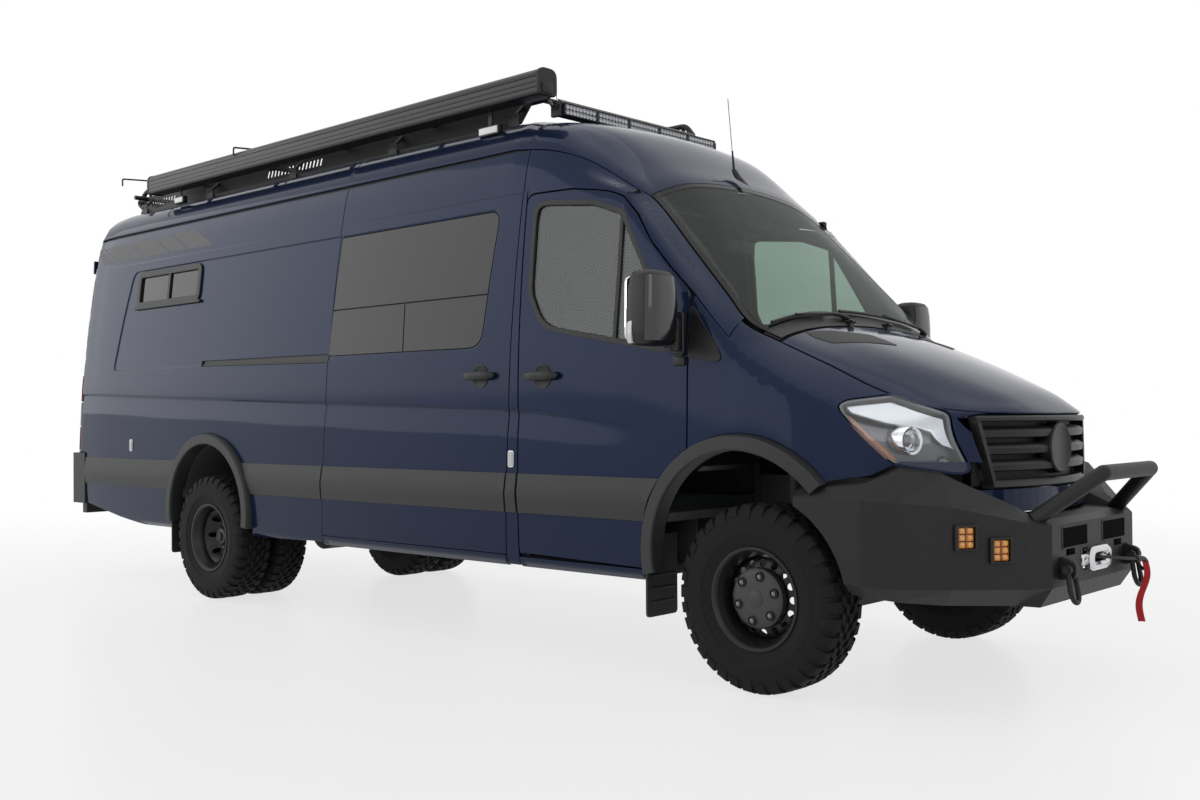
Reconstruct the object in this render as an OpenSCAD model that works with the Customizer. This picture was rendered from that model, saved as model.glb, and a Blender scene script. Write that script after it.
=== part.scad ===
// High roof camper van with dual rear wheels, winch bumper, roof rack and side awning.
// Built with the front axle at x = 0 and moved to the middle of its length by the last step.

/* [Overall] */
// Distance from the front axle to the rear axle
wheelbase = 4325; // [3900:5:4700]
// Rear axle to the rear edge of the step bumper
rear_overhang = 2040; // [1900:5:2200]
// Half of the body width
half_w = 990; // [960:1:1020]
// Height of the roof skin over the ground
roof_z = 2790; // [2700:5:2900]
// Front axle to the sliding door's front edge
cab_len = 1450; // [1400:5:1500]
// Front axle to the tip of the nose
nose_len = 930; // [900:1:960]

/* [Body] */
// Underside of the body sides
bottom_z = 430; // [410:1:450]
// Sill edge
sill_z = 470; // [455:1:490]
// Lower edge of the side cladding
clad_low_z = 700; // [660:5:740]
// Upper edge of the side cladding
clad_high_z = 900; // [860:5:940]
// How far the cladding stands off the panels
clad_t = 14; // [6:1:20]
// Thickness of the body walls
wall_t = 50; // [40:1:60]
// Thickness of the roof
roof_t = 40; // [30:1:50]
// Thickness of the hood
hood_t = 25; // [15:1:30]
// Thickness of the panes
glass_t = 6; // [4:1:8]
// Depth of the panes behind the outer skin
glass_set = 8; // [4:1:12]
// Gap round moving panels
gap = 7; // [6:0.5:9]
// Gap between fixed panels
seam = 0.3; // [0.2:0.1:0.5]
// Forward lean of the rear end, from cladding to roof
rear_lean = 130; // [80:1:160]
// Rear axle to the rear edge of the side walls
wall_overhang = 2005; // [1880:5:2100]
// Load floor underside
floor_z = 700; // [680:1:720]
// Load floor thickness
floor_t = 40; // [30:1:50]
// Corner radius of the window openings
win_r = 60; // [30:1:80]

/* [Wheels] */
// Tyre diameter
tyre_d = 806; // [780:1:820]
// Tyre width
tyre_w = 240; // [220:1:250]
// Rim diameter at the bead
rim_d = 416; // [400:1:430]
// Front wheel centre inside the body side
front_track_in = 135; // [125:1:145]
// Middle of the rear twin wheels inside the body side
rear_track_in = 235; // [225:1:245]
// Distance between the centres of twin tyres
twin_pitch = 275; // [265:1:285]
// Steering pivot inside the body side
pivot_in = 190; // [185:1:200]
// Spindle radius
spindle_r = 30; // [25:1:35]
// Running clearance of the spindles and pins
run_gap = 0.05; // [0.03:0.01:0.08]
// Steering pivot pin radius
pivot_r = 14; // [10:1:16]

/* [Arches] */
// Front arch centre behind the front axle
front_arch_back = 63; // [50:1:75]
// Front arch centre height
front_arch_z = 583; // [570:1:600]
// Rear arch centre behind the rear axle
rear_arch_back = 20; // [10:1:30]
// Rear arch centre height
rear_arch_z = 567; // [555:1:580]
// Radius of the arch openings
arch_r = 445; // [440:1:450]
// Width of the flare round the opening
flare_w = 72; // [55:1:80]
// How far the flares stand out of the body
flare_out = 38; // [20:1:45]
// Depth of the flares
flare_deep = 95; // [60:1:120]

/* [Front gear] */
// Tip of the nose to the front face of the bumper
box_ahead = 132; // [110:1:150]
// Bumper face to the front of the hoop bar
hoop_ahead = 170; // [140:1:200]
// Plate thickness of the bumper
plate_t = 22; // [12:1:30]
// Hoop bar tube radius
hoop_r = 32; // [28:1:36]
// Rise of the hoop bar over its feet
hoop_rise = 187; // [160:1:210]
// Half width of the straight top of the hoop
hoop_half = 262; // [240:1:290]

/* [Roof gear] */
// Rise of the rack side tubes over the roof
rack_rise = 68; // [50:1:90]
// Rack tube radius
rack_r = 20; // [15:1:25]
// Awning case length
awning_len = 4040; // [3600:5:4200]
// Middle of the awning case inside the body side
awning_in = 190; // [170:1:210]
// Awning case height and depth
awning_d = 140; // [110:1:150]
// Rise of the awning case's middle over the roof
awning_rise = 85; // [76:1:90]

/* [Joint places] */
// Half of the post between the front door and the sliding door
pillar_w = 50; // [40:1:60]
// Rear arch flare to the sliding door's rear edge
slide_post = 788; // [740:1:840]
// Roof skin to the sliding door's top
slide_drop = 260; // [250:1:290]
// Bottom of the side doors
door_low_z = 490; // [480:1:500]
// Bottom of the rear doors
rear_door_z = 568; // [562:1:590]
// Radius of the hinge pins
hinge_r = 4; // [3:0.5:6]

/* [Hidden] */
$fn = 64;
// Over-cut length
far = 3000;
box_front = nose_len + box_ahead;
front_overhang = box_front + hoop_ahead;
axle_x = (wheelbase + rear_overhang - front_overhang) / 2;
tail_x = -wheelbase - wall_overhang;
front_arch_x = -front_arch_back;
rear_arch_x = -wheelbase - rear_arch_back;
front_track_y = half_w - front_track_in;
rear_track_y = half_w - rear_track_in;
pivot_y = half_w - pivot_in;
rack_z = roof_z + rack_rise;
rack_y_share = 0.62121;
rack_y = rack_y_share * half_w;
awning_y = half_w - awning_in;
awning_z = roof_z + awning_rise;
door_rear_x = pillar_w - cab_len;
frame_in = 590;
frame_w = 70;
frame_y = half_w - frame_in;
seat_in = 550;
seat_y = half_w - seat_in;
slide_rear_x = rear_arch_x + arch_r + flare_w + slide_post;
slide_top_z = roof_z - slide_drop;
wheel_z = tyre_d / 2;
hood_axis_z_share = 0.5775;
hood_axis_z = hood_axis_z_share * roof_z;
hood_axis_share = 0.016;
lean_angle = atan(rear_lean / (roof_z - clad_high_z));
nose_power_share = 2.2;
seam_rail_share = 8.25;
RAILS = 11;

// Body stations. x: shares of the tail (-2 to -1), cab (-1 to 0) or nose (0 to 1).
// y columns are shares of half_w, z columns shares of roof_z.
// x, width, belt z, waist y z, mid y z, drip y z, crease y z, shoulder y z, upper y z, ridge z
station_shares = [
  [-2, 0.945, 0.491, 0.93, 0.541, 0.9, 0.68, 0.86, 0.81, 0.82, 0.875, 0.75, 0.918, 0.57, 0.945, 0.955],
  [-1.988, 0.975, 0.491, 0.962, 0.541, 0.934, 0.681, 0.892, 0.816, 0.855, 0.889, 0.785, 0.94, 0.59, 0.97, 0.982],
  [-1.963, 0.99, 0.491, 0.977, 0.541, 0.949, 0.681, 0.907, 0.817, 0.871, 0.896, 0.802, 0.953, 0.6, 0.985, 0.998],
  [-1.789, 1, 0.481, 0.987, 0.541, 0.959, 0.681, 0.917, 0.817, 0.881, 0.896, 0.812, 0.954, 0.609, 0.987, 1],
  [-1.12, 1, 0.444, 0.987, 0.541, 0.959, 0.681, 0.917, 0.817, 0.881, 0.896, 0.812, 0.953, 0.609, 0.985, 0.997],
  [-1, 1, 0.438, 0.987, 0.541, 0.959, 0.681, 0.917, 0.817, 0.881, 0.893, 0.812, 0.945, 0.609, 0.973, 0.982],
  [-0.759, 1, 0.427, 0.987, 0.538, 0.956, 0.674, 0.91, 0.81, 0.856, 0.866, 0.765, 0.906, 0.558, 0.94, 0.952],
  [-0.552, 1, 0.414, 0.985, 0.534, 0.949, 0.656, 0.898, 0.794, 0.812, 0.81, 0.735, 0.83, 0.457, 0.857, 0.866],
  [-0.476, 1, 0.409, 0.985, 0.53, 0.949, 0.645, 0.912, 0.758, 0.774, 0.779, 0.66, 0.797, 0.406, 0.821, 0.83],
  [-0.31, 1, 0.394, 0.983, 0.523, 0.959, 0.595, 0.934, 0.664, 0.805, 0.688, 0.69, 0.708, 0.426, 0.731, 0.74],
  [-0.172, 1, 0.387, 0.982, 0.513, 0.969, 0.548, 0.952, 0.585, 0.832, 0.612, 0.711, 0.633, 0.437, 0.656, 0.666],
  [-0.083, 0.998, 0.38, 0.98, 0.495, 0.97, 0.515, 0.939, 0.536, 0.85, 0.564, 0.711, 0.584, 0.437, 0.609, 0.617],
  [0, 0.995, 0.376, 0.979, 0.47, 0.964, 0.488, 0.924, 0.509, 0.797, 0.538, 0.66, 0.554, 0.406, 0.568, 0.574],
  [0.269, 0.97, 0.358, 0.955, 0.423, 0.94, 0.448, 0.888, 0.466, 0.761, 0.495, 0.629, 0.514, 0.386, 0.534, 0.541],
  [0.504, 0.892, 0.341, 0.883, 0.387, 0.863, 0.412, 0.812, 0.43, 0.711, 0.455, 0.589, 0.477, 0.366, 0.502, 0.511],
  [0.731, 0.728, 0.333, 0.725, 0.376, 0.711, 0.394, 0.68, 0.412, 0.63, 0.43, 0.508, 0.448, 0.305, 0.47, 0.478],
  [0.86, 0.562, 0.33, 0.561, 0.376, 0.553, 0.394, 0.538, 0.409, 0.508, 0.423, 0.406, 0.436, 0.254, 0.45, 0.455],
  [0.946, 0.375, 0.33, 0.373, 0.376, 0.368, 0.394, 0.355, 0.408, 0.335, 0.42, 0.27, 0.427, 0.16, 0.431, 0.432],
  [0.995, 0.134, 0.33, 0.133, 0.376, 0.131, 0.392, 0.125, 0.402, 0.115, 0.41, 0.09, 0.412, 0.055, 0.414, 0.415]];
ROWS = len(station_shares) - 1;
low_y_shares = [0.955, 0.988, 1, 1, 0.994];

function station_x(s) =
  s > 0 ? s * nose_len : s >= -1 ? s * cab_len : -cab_len + (s + 1) * (-cab_len - tail_x);
function low_z(i, t) = i == 0 ? bottom_z : i == 1 ? sill_z : i == 2 ? clad_low_z : i == 3 ? clad_high_z : t[2] * roof_z;
function side_y(i, t) = half_w * (i < 5 ? low_y_shares[i] * t[1] : i < RAILS ? t[3 + 2 * (i - 5)] : 0);
function side_z(i, t) = i < 5 ? low_z(i, t) : i < RAILS ? t[4 + 2 * (i - 5)] * roof_z : t[15] * roof_z;
function lean(z, j) = j < 3 ? rear_lean * (z - clad_high_z) / (roof_z - clad_high_z) : 0;
function net_point(j, i) =
  let (r = i <= RAILS ? i : 2 * RAILS - i, t = station_shares[j], z = side_z(r, t))
  [station_x(t[0]) + lean(z, j), (i <= RAILS ? -1 : 1) * side_y(r, t), z];
NET = [for (j = [0:ROWS]) [for (i = [0:2 * RAILS]) net_point(j, i)]];

// Smooth curve through four points, and a surface point at station u and rail s
function curve(a, b, c, d, t) =
  (2 * b + (c - a) * t + (2 * a - 5 * b + 4 * c - d) * t * t + (3 * b - a - 3 * c + d) * t * t * t) / 2;
function limit(v, top) = max(0, min(top, v));
function rail_point(j, s) =
  let (i = limit(floor(s), 2 * RAILS - 1), r = NET[limit(j, ROWS)])
  curve(r[limit(i - 1, 2 * RAILS)], r[i], r[i + 1], r[limit(i + 2, 2 * RAILS)], s - i);
function body_point(u, s) =
  let (j = limit(floor(u), ROWS - 1))
  curve(rail_point(j - 1, s), rail_point(j, s), rail_point(j + 1, s), rail_point(j + 2, s), u - j);
step_share = 0.02;
join_share = 0.003;
screen_edge_share = 0.045;
function body_normal(u, s) =
  let (
    a = body_point(min(u + step_share, ROWS), s) - body_point(max(u - step_share, 0), s),
    b = body_point(u, min(s + step_share, 2 * RAILS)) - body_point(u, max(s - step_share, 0)),
    n = cross(a, b))
  n / norm(n);

// Closed sheet between two grids of points with the same count
module sheet(outer, inner) {
  nu = len(outer);
  nv = len(outer[0]);
  n = nu * nv;
  pts = concat([for (r = outer) each r], [for (r = inner) each r]);
  skins = [for (a = [0:nu - 2]) for (b = [0:nv - 2])
    let (k = a * nv + b)
    each [[k, k + 1, k + nv + 1], [k, k + nv + 1, k + nv],
      [n + k, n + k + nv + 1, n + k + 1], [n + k, n + k + nv, n + k + nv + 1]]];
  low = [for (a = [0:nu - 2])
    let (k = a * nv, m = a * nv + nv - 1)
    each [[k, k + nv, n + k + nv], [k, n + k + nv, n + k], [m, n + m, n + m + nv], [m, n + m + nv, m + nv]]];
  ends = [for (b = [0:nv - 2])
    let (k = b, m = (nu - 1) * nv + b)
    each [[k, n + k, n + k + 1], [k, n + k + 1, k + 1], [m, m + 1, n + m + 1], [m, n + m + 1, n + m]]];
  polyhedron(points = pts, faces = concat(skins, low, ends));
}

// Steps from a to b that also stop at every whole number between, each cut in k
function stops(a, b, k) =
  let (w = concat([a], [for (i = [floor(a) + 1:1:ceil(b) - 1]) i], [b]))
  concat([for (i = [0:len(w) - 2]) each [for (q = [0:k - 1]) w[i] + (w[i + 1] - w[i]) * q / k]], [b]);

// Piece of the body surface from station u0 to u1 and rail s0 to s1, between two depths
module skin(u0, u1, s0, s1, out, deep, ku, ks) {
  us = stops(u0, u1, ku);
  ss = stops(s0, s1, ks);
  outer = [for (u = us) [for (s = ss) body_point(u, s) + out * body_normal(u, s)]];
  inner = [for (u = us) [for (s = ss) body_point(u, s) - deep * body_normal(u, s)]];
  sheet(outer, inner);
}

// Both sides of the van
module both_sides() {
  children();
  mirror([0, 1, 0])
    children();
}

// The right side, or the left one
module on_side(right) {
  if (right)
    children();
  else
    mirror([0, 1, 0])
      children();
}

// Prism across the right side with an outline of x and z
module side_prism(pts, grow = 0, r = 0) {
  rotate([90, 0, 0])
    linear_extrude(far)
      if (r > 0)
        offset(r = r + grow)
          offset(delta = -r)
            polygon(pts);
      else
        offset(delta = grow)
          polygon(pts);
}

// Box from one corner to another
module span(a, b) {
  translate([min(a[0], b[0]), min(a[1], b[1]), min(a[2], b[2])])
    cube([abs(b[0] - a[0]), abs(b[1] - a[1]), abs(b[2] - a[2])]);
}

// Round bar between two points
module bar(a, b, r) {
  d = b - a;
  h = norm(d);
  translate(a)
    rotate([0, acos(d[2] / h), atan2(d[1], d[0])])
      cylinder(h = h, r = r);
}

// Cylinder across the van at x and z from y0 to y1
module cross_pin(x, z, r, y0, y1) {
  translate([x, y0, z])
    rotate([-90, 0, 0])
      cylinder(h = y1 - y0, r = r);
}

// Outlines of x and z, as shares of cab_len and roof_z
door_shares = [[-0.760, 0.818], [-0.661, 0.810], [-0.600, 0.804], [-0.534, 0.791], [-0.470, 0.757],
  [-0.400, 0.706], [-0.320, 0.662], [-0.244, 0.624], [-0.2325, 0.600]];
window_shares = [[-0.925, 0.805], [-0.660, 0.790], [-0.527, 0.764], [-0.300, 0.560], [-0.310, 0.526],
  [-0.860, 0.578], [-0.925, 0.640]];
door_front_x = door_shares[len(door_shares) - 1][0] * cab_len;
function shares(t) = [for (p = t) [p[0] * cab_len, p[1] * roof_z]];
door_top_share = 0.8205;
door_outline = concat([[door_rear_x, door_low_z], [door_rear_x, door_top_share * roof_z]], shares(door_shares),
  [[door_front_x, door_low_z]]);
window_outline = shares(window_shares);
slide_front_x = -cab_len - pillar_w;
slide_front_slant = 70;
slide_rear_slant = 80;
slide_rear_low = 40;
slide_outline = [[slide_front_x, door_low_z], [slide_front_x + slide_front_slant, slide_top_z],
  [slide_rear_x + slide_rear_slant, slide_top_z], [slide_rear_x - slide_rear_low, door_low_z]];
// Margins of the sliding door's pane: front low and high, rear high and low
pane_front_low = 170;
pane_front_high = 80;
pane_rear_high = 100;
pane_rear_low = 60;
slide_glass_z_shares = [0.541, 0.808];
slide_glass_outline = [
  [slide_front_x - pane_front_low, slide_glass_z_shares[0] * roof_z],
  [slide_front_x - pane_front_high, slide_glass_z_shares[1] * roof_z],
  [slide_rear_x + pane_rear_high, slide_glass_z_shares[1] * roof_z],
  [slide_rear_x + pane_rear_low, slide_glass_z_shares[0] * roof_z]];
// Places along the load space wall, as shares of its length behind the cab
function wall_x(s) = -cab_len + s * (tail_x + cab_len);
vent_x_shares = [0.6354, 0.8092];
vent_z_shares = [0.712, 0.796];
vent_outline = [
  [wall_x(vent_x_shares[1]), vent_z_shares[0] * roof_z],
  [wall_x(vent_x_shares[1]), vent_z_shares[1] * roof_z],
  [wall_x(vent_x_shares[0]), vent_z_shares[1] * roof_z],
  [wall_x(vent_x_shares[0]), vent_z_shares[0] * roof_z]];
lamp_x_shares = [0.411, 0.554, 0.774, 0.839, 0.628];
lamp_z_shares = [0.4415, 0.4515, 0.423, 0.335, 0.3495];
lamp_outline = [for (i = [0:4]) [lamp_x_shares[i] * nose_len, lamp_z_shares[i] * roof_z]];

// Cuts
module front_arch(r) {
  cross_pin(front_arch_x, front_arch_z, r, -far, far);
}
module rear_arch(r) {
  cross_pin(rear_arch_x, rear_arch_z, r, -far, far);
}

// Body panels

wheelhouse_deep = 520;
wheelhouse_in = half_w - wheelhouse_deep;
wheelhouse_t = 20;
floor_play = 20;
floor_half = half_w - wall_t - floor_play;
floor_rear = 120;
firewall_t = 30;
firewall_share = 0.235;
firewall_x = -firewall_share * cab_len;
cab_floor_x = firewall_x + firewall_t;

// Load floor with rear wheelhouses and the cab floor
module floor() {
  color("dimgray")
    framed()
      difference() {
        union() {
          span([tail_x + floor_rear, -floor_half, floor_z], [cab_floor_x, floor_half, floor_z + floor_t]);
          both_sides()
            intersection() {
              cross_pin(rear_arch_x, rear_arch_z, arch_r + wheelhouse_t, -floor_half, -wheelhouse_in + wheelhouse_t);
              span([tail_x, -half_w, floor_z], [0, 0, roof_z]);
            }
        }
        both_sides()
          cross_pin(rear_arch_x, rear_arch_z, arch_r, -far, -wheelhouse_in);
        both_sides()
          cross_pin(front_arch_x, front_arch_z, arch_r, -far, -wheelhouse_in);
      }
}

corner_len = 190;
corner_x = tail_x + corner_len;
bumper_top_rise = 30;
bumper_top_z = clad_high_z + bumper_top_rise;
tail_lamp_rise = 15;
tail_lamp_low_z = bumper_top_z + tail_lamp_rise;
tail_lamp_top_share = 0.5448;
tail_lamp_high_z = tail_lamp_top_share * roof_z;
tail_lamp_w = 75;

// Notch at the rear corner that the tail lamp fills
module tail_lamp_zone(grow) {
  translate([tail_x, 0, clad_high_z])
    rotate([0, lean_angle, 0])
      span([-far, -far, tail_lamp_low_z - clad_high_z - grow],
        [tail_lamp_w + grow, far, tail_lamp_high_z - clad_high_z + grow]);
}

module side_wall(right) {
  on_side(right)
    difference() {
      intersection() {
        skin(0, 6, 0, seam_rail_share - 5 * join_share, 0, wall_t, 1, 2);
        span([tail_x - rear_lean, -far, 0], [door_rear_x - gap, 0, roof_z]);
      }
      rear_arch(arch_r + flare_w);
      if (right)
        side_prism(slide_outline, grow = seam);
      side_prism(vent_outline, r = win_r);
      span([-far * 3, -far, 0], [corner_x, 0, bumper_top_z + seam]);
      tail_lamp_zone(seam);
    }
  on_side(right)
    at_rear_hinge()
      eye(leaf_len, 1);
}

// Right side from the rear corner to the pillar behind the front door
module side_wall_right() {
  color("midnightblue")
    framed()
      side_wall(true);
}

// Left side, without a sliding door
module side_wall_left() {
  color("midnightblue")
    framed()
      side_wall(false);
}

screen_top_share = 7.72;
screen_low_share = 11.62;

// Roof skin from the rear doors to the windscreen
module roof() {
  color("midnightblue")
    framed()
      skin(0, screen_top_share, seam_rail_share, 2 * RAILS - seam_rail_share, 0, roof_t, 1, 2);
}

// Windscreen pillars with the roof edge over the front doors
module cab_frame() {
  color("midnightblue")
    framed()
      both_sides()
        difference() {
          skin(5, pillar_row_share - 2 * join_share, 7 + 10 * join_share, seam_rail_share - join_share, 0, wall_t, 1, 2);
          span([-far, -far, 0], [door_rear_x - gap + seam, 0, roof_z]);
          side_prism(door_outline, grow = gap);
        }
}

cowl_share = 12.05;
firewall_half = floor_half - floor_play;
firewall_top_share = 0.545;
tower_out = 36;
tower_y = frame_y + tower_out;
tower_r = 70;

// Wall between engine and cab, with the cowl under the windscreen and the strut towers
module firewall() {
  color("black")
    framed() {
      skin(screen_low_share + join_share, cowl_share, seam_rail_share + screen_edge_share,
        2 * RAILS - seam_rail_share - screen_edge_share, 0, firewall_t, 2, 2);
      difference() {
        span([firewall_x, -firewall_half, floor_z + floor_t + seam],
          [firewall_x + firewall_t, firewall_half, firewall_top_share * roof_z]);
        both_sides()
          cross_pin(front_arch_x, front_arch_z, arch_r, -far, -wheelhouse_in);
      }
      both_sides()
        span([firewall_x + firewall_t, -tower_y - firewall_t, floor_z + floor_t], [nose_len / 2, -tower_y, clad_high_z]);
      at_hood_hinge()
        eye(leaf_len, -1);
    }
}

// Windscreen, sliding door pane and rear quarter panes
module fixed_glass() {
  color("darkslategray")
    framed() {
      skin(screen_top_share + join_share, screen_low_share, seam_rail_share + screen_edge_share,
        2 * RAILS - seam_rail_share - screen_edge_share, 0, glass_t, 2, 2);
      intersection() {
        skin(3, 5, 4, 8, -glass_set, glass_set + glass_t, 1, 2);
        side_prism(slide_glass_outline, grow = -seam / 2, r = win_r);
      }
      both_sides()
        intersection() {
          skin(2, 4, 5, 8, -glass_set, glass_set + glass_t, 1, 2);
          side_prism(vent_outline, grow = -seam / 2, r = win_r);
        }
    }
}

grille_z_shares = [0.31254, 0.41935];
grille_y_shares = [0.4747, 0.5606];
grille_low_z = grille_z_shares[0] * roof_z;
grille_top_z = grille_z_shares[1] * roof_z;
grille_low_half = grille_y_shares[0] * half_w;
grille_top_half = grille_y_shares[1] * half_w;
grille_deep = 45;
grille_back_share = 0.62;
grille_back = grille_back_share * nose_len;

// Outline of the grille opening, seen from the front
module grille_zone(grow) {
  translate([grille_back, 0, 0])
    rotate([90, 0, 90])
      linear_extrude(far)
        offset(delta = grow)
          polygon([[-grille_low_half, grille_low_z], [grille_low_half, grille_low_z], [grille_top_half, grille_top_z],
            [-grille_top_half, grille_top_z]]);
}

panel_drop = 4;
fender_low_z = grille_low_z - panel_drop;
flare_low_share = 0.3269;
flare_low_z = flare_low_share * roof_z;
fender_t = 28;
fender_foot_x_shares = [0.30, 0.545, 0.642];
fender_foot_z_shares = [0.319, 0.3315, 0.3495];
fender_rail_share = 7.86;
fender_row_share = 16.5;

pillar_row_share = 11.9;
fender_us = concat(stops(9, pillar_row_share, 1), stops(12, fender_row_share, 1));
fender_ss = stops(2, fender_rail_share, 2);
function fender_rail(u, s) = u > pillar_row_share ? s : 2 + (s - 2) * 5 / (fender_rail_share - 2);

// Wing skin that ends under the windscreen pillar at the rear and along the hood further on
module fender_sheet() {
  outer = [for (u = fender_us) [for (s = fender_ss) body_point(u, fender_rail(u, s))]];
  inner = [for (u = fender_us) [for (s = fender_ss)
    body_point(u, fender_rail(u, s)) - fender_t * body_normal(u, fender_rail(u, s))]];
  sheet(outer, inner);
}

module fender() {
  difference() {
    fender_sheet();
    side_prism(door_outline, grow = gap);
    span([-far, -far, 0], [door_front_x - gap, far, roof_z]);
    front_arch(arch_r + flare_w + fender_play);
    side_prism(lamp_outline, grow = seam);
    grille_zone(seam);
    side_prism(concat([[0, 0], [0, fender_foot_z_shares[0] * roof_z]],
      [for (i = [0:2]) [fender_foot_x_shares[i] * nose_len, fender_foot_z_shares[i] * roof_z]],
      [[far, fender_foot_z_shares[2] * roof_z], [far, 0]]));
  }
  at_door_hinge()
    eye(leaf_len, 1);
}

// Right front wing
module fender_right() {
  color("midnightblue")
    framed()
      fender();
}

// Left front wing
module fender_left() {
  color("midnightblue")
    framed()
      mirror([0, 1, 0])
        fender();
}

// Nose line in plan: x over y
function nose_x(y) = nose_len * pow(1 - pow(min(1, abs(y) / half_w), nose_power_share), 1 / nose_power_share);
band_steps = 12;
module nose_band(half, out, deep) {
  polygon(concat(
    [for (i = [-band_steps:band_steps]) let (y = half * i / band_steps) [nose_x(y) + out, y]],
    [for (i = [band_steps:-1:-band_steps]) let (y = half * i / band_steps) [nose_x(y) - deep, y]]));
}

panel_h = 93;
panel_low_z = fender_low_z - panel_h;
panel_half_share = 0.6465;
panel_half = panel_half_share * half_w;

// Body panel under the grille
module front_panel() {
  color("midnightblue")
    framed()
      translate([0, 0, panel_low_z])
        linear_extrude(fender_low_z - panel_low_z - seam)
          nose_band(panel_half, 0, wall_t);
}

slat_h = 46;
slat_z_shares = [0.18, 0.50, 0.82];
rim_h = 26;
mesh_back = 30;
mesh_t = 12;
cap_r = 92;
cap_t = 22;

// Grille: frame, three slats, backing plate and a plain round cap
module grille() {
  color("black")
    framed() {
      intersection() {
        union() {
          translate([0, 0, grille_low_z])
            linear_extrude(grille_top_z - grille_low_z)
              nose_band(grille_top_half, -mesh_back, mesh_back + mesh_t);
          difference() {
            translate([0, 0, grille_low_z])
              linear_extrude(grille_top_z - grille_low_z)
                nose_band(grille_top_half, 0, grille_deep);
            grille_zone(-rim_h);
          }
          for (s = slat_z_shares)
            translate([0, 0, grille_low_z + s * (grille_top_z - grille_low_z) - slat_h / 2])
              linear_extrude(slat_h)
                nose_band(grille_top_half, 0, grille_deep);
          translate([nose_len - grille_deep, 0, (grille_low_z + grille_top_z) / 2])
            rotate([0, 90, 0])
              cylinder(h = grille_deep + cap_t, r = cap_r);
        }
        grille_zone(-seam / 2);
      }
    }
}

lamp_deep = 60;

// Head lamps at the corners of the nose
module headlights() {
  color("lightgray")
    framed()
      both_sides()
        difference() {
          intersection() {
            skin(12, fender_row_share, 3, fender_rail_share, 0, lamp_deep, 1, 2);
            side_prism(lamp_outline);
          }
          grille_zone(2 * seam);
        }
}

pod_w = 76;
pod_h = 86;
pod_deep = 60;
pod_out = 24;
pod_place_shares = [0.18, 0.615];
pod_z_shares = [0.2491, 0.2312];
marker_w = 56;
marker_h = 34;
marker_t = 10;
marker_rise = 80;
marker_rear = 928;
marker_z = clad_high_z + marker_rise;
marker_xs = [(door_rear_x + slide_front_x) / 2, tail_x + marker_rear];

// Places the square lamps on the slanting face of the right bumper wing
module at_pods() {
  d = bumper_plan(4) - bumper_plan(3);
  for (i = [0:1])
    let (p = bumper_plan(3) + pod_place_shares[i] * d)
      translate([p[0], p[1], pod_z_shares[i] * roof_z])
        rotate([0, 0, atan2(d[1], d[0]) - 90])
          children();
}

// Square lamp, or its hole when grown
module pod(grow) {
  span([-pod_deep, -pod_w / 2 - grow, -pod_h / 2 - grow], [pod_out, pod_w / 2 + grow, pod_h / 2 + grow]);
}

// Tail lamps at the rear corners, marker lamps on the sides and square lamps in the bumper
module lamps() {
  color("orangered")
    framed()
      both_sides() {
        intersection() {
          skin(0, 3, 3, 7, 0, wall_t, 1, 2);
          tail_lamp_zone(0);
        }
        for (x = marker_xs)
          intersection() {
            skin(1, 6, 3, 4, marker_t, -seam / 2, 1, 2);
            side_prism([[x - marker_w / 2, marker_z - marker_h / 2], [x + marker_w / 2, marker_z - marker_h / 2],
              [x + marker_w / 2, marker_z + marker_h / 2], [x - marker_w / 2, marker_z + marker_h / 2]]);
          }
        at_pods()
          pod(0);
      }
}

// Moves a piece from the front axle to the middle of the van's length
module framed() {
  translate([axle_x, 0, 0])
    children();
}

// Front bumper. Stations from the right wing to the left one.
// x share of box_front, y share of half_w, then z shares of roof_z: bottom, lower edge, upper edge, top;
// last, the share of the top's set-back and the share of the back edge's set-back
bumper_shares = [
  [0.207, 1.000, 0.180, 0.190, 0.302, 0.3125, 0.3, 0.9],
  [0.490, 0.985, 0.163, 0.180, 0.300, 0.3240, 0.5, 1.2],
  [0.622, 0.930, 0.157, 0.178, 0.298, 0.3420, 0.7, 1.4],
  [0.772, 0.808, 0.152, 0.178, 0.292, 0.3360, 1.0, 1.6],
  [0.946, 0.540, 0.147, 0.174, 0.268, 0.2900, 1.0, 2.0],
  [1.000, 0.441, 0.145, 0.174, 0.2625, 0.2690, 0.6, 2.4],
  [1.000, 0.000, 0.145, 0.174, 0.2625, 0.2690, 0.6, 2.4]];
set_back = 90;
bumper_full = concat(bumper_shares,
  [for (i = [5:-1:0]) let (t = bumper_shares[i]) [for (c = [0:7]) c == 1 ? -t[c] : t[c]]]);
function bumper_plan(k) = [bumper_full[k][0] * box_front, -bumper_full[k][1] * half_w];
function bumper_out(k) =
  let (a = bumper_plan(max(0, k - 1)), b = bumper_plan(min(12, k + 1)), d = (b - a) / norm(b - a))
  [d[1], -d[0]];
function bumper_at(k, inset, zs) =
  let (p = bumper_plan(k) - bumper_out(k) * inset) [p[0], p[1], zs * roof_z];
function bumper_row(k, deep) =
  let (t = bumper_full[k])
  [bumper_at(k, set_back * t[6] + deep, t[2] + deep * 2 / roof_z / 3),
    bumper_at(k, deep, t[3]),
    bumper_at(k, deep, t[4]),
    bumper_at(k, set_back * t[6] + deep / 2, t[5] - deep / roof_z),
    bumper_at(k, set_back * t[7], t[5] + ((deep == 0 ? edge_rise : 0) - deep) / roof_z)];
edge_rise = 12;
tyre_play = 57;
tyre_clear = tyre_d / 2 + tyre_play;
box_mid_z = (bumper_shares[6][3] + bumper_shares[6][4]) * roof_z / 2;
slot_w = 90;
slot_h = 46;
slot_y = 255;
slot_rise = 16;
slot_z = box_mid_z + slot_rise;
hoop_foot_back = 77;
hoop_foot_x = box_front - hoop_foot_back;
hoop_foot_share = 0.4444;
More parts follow.
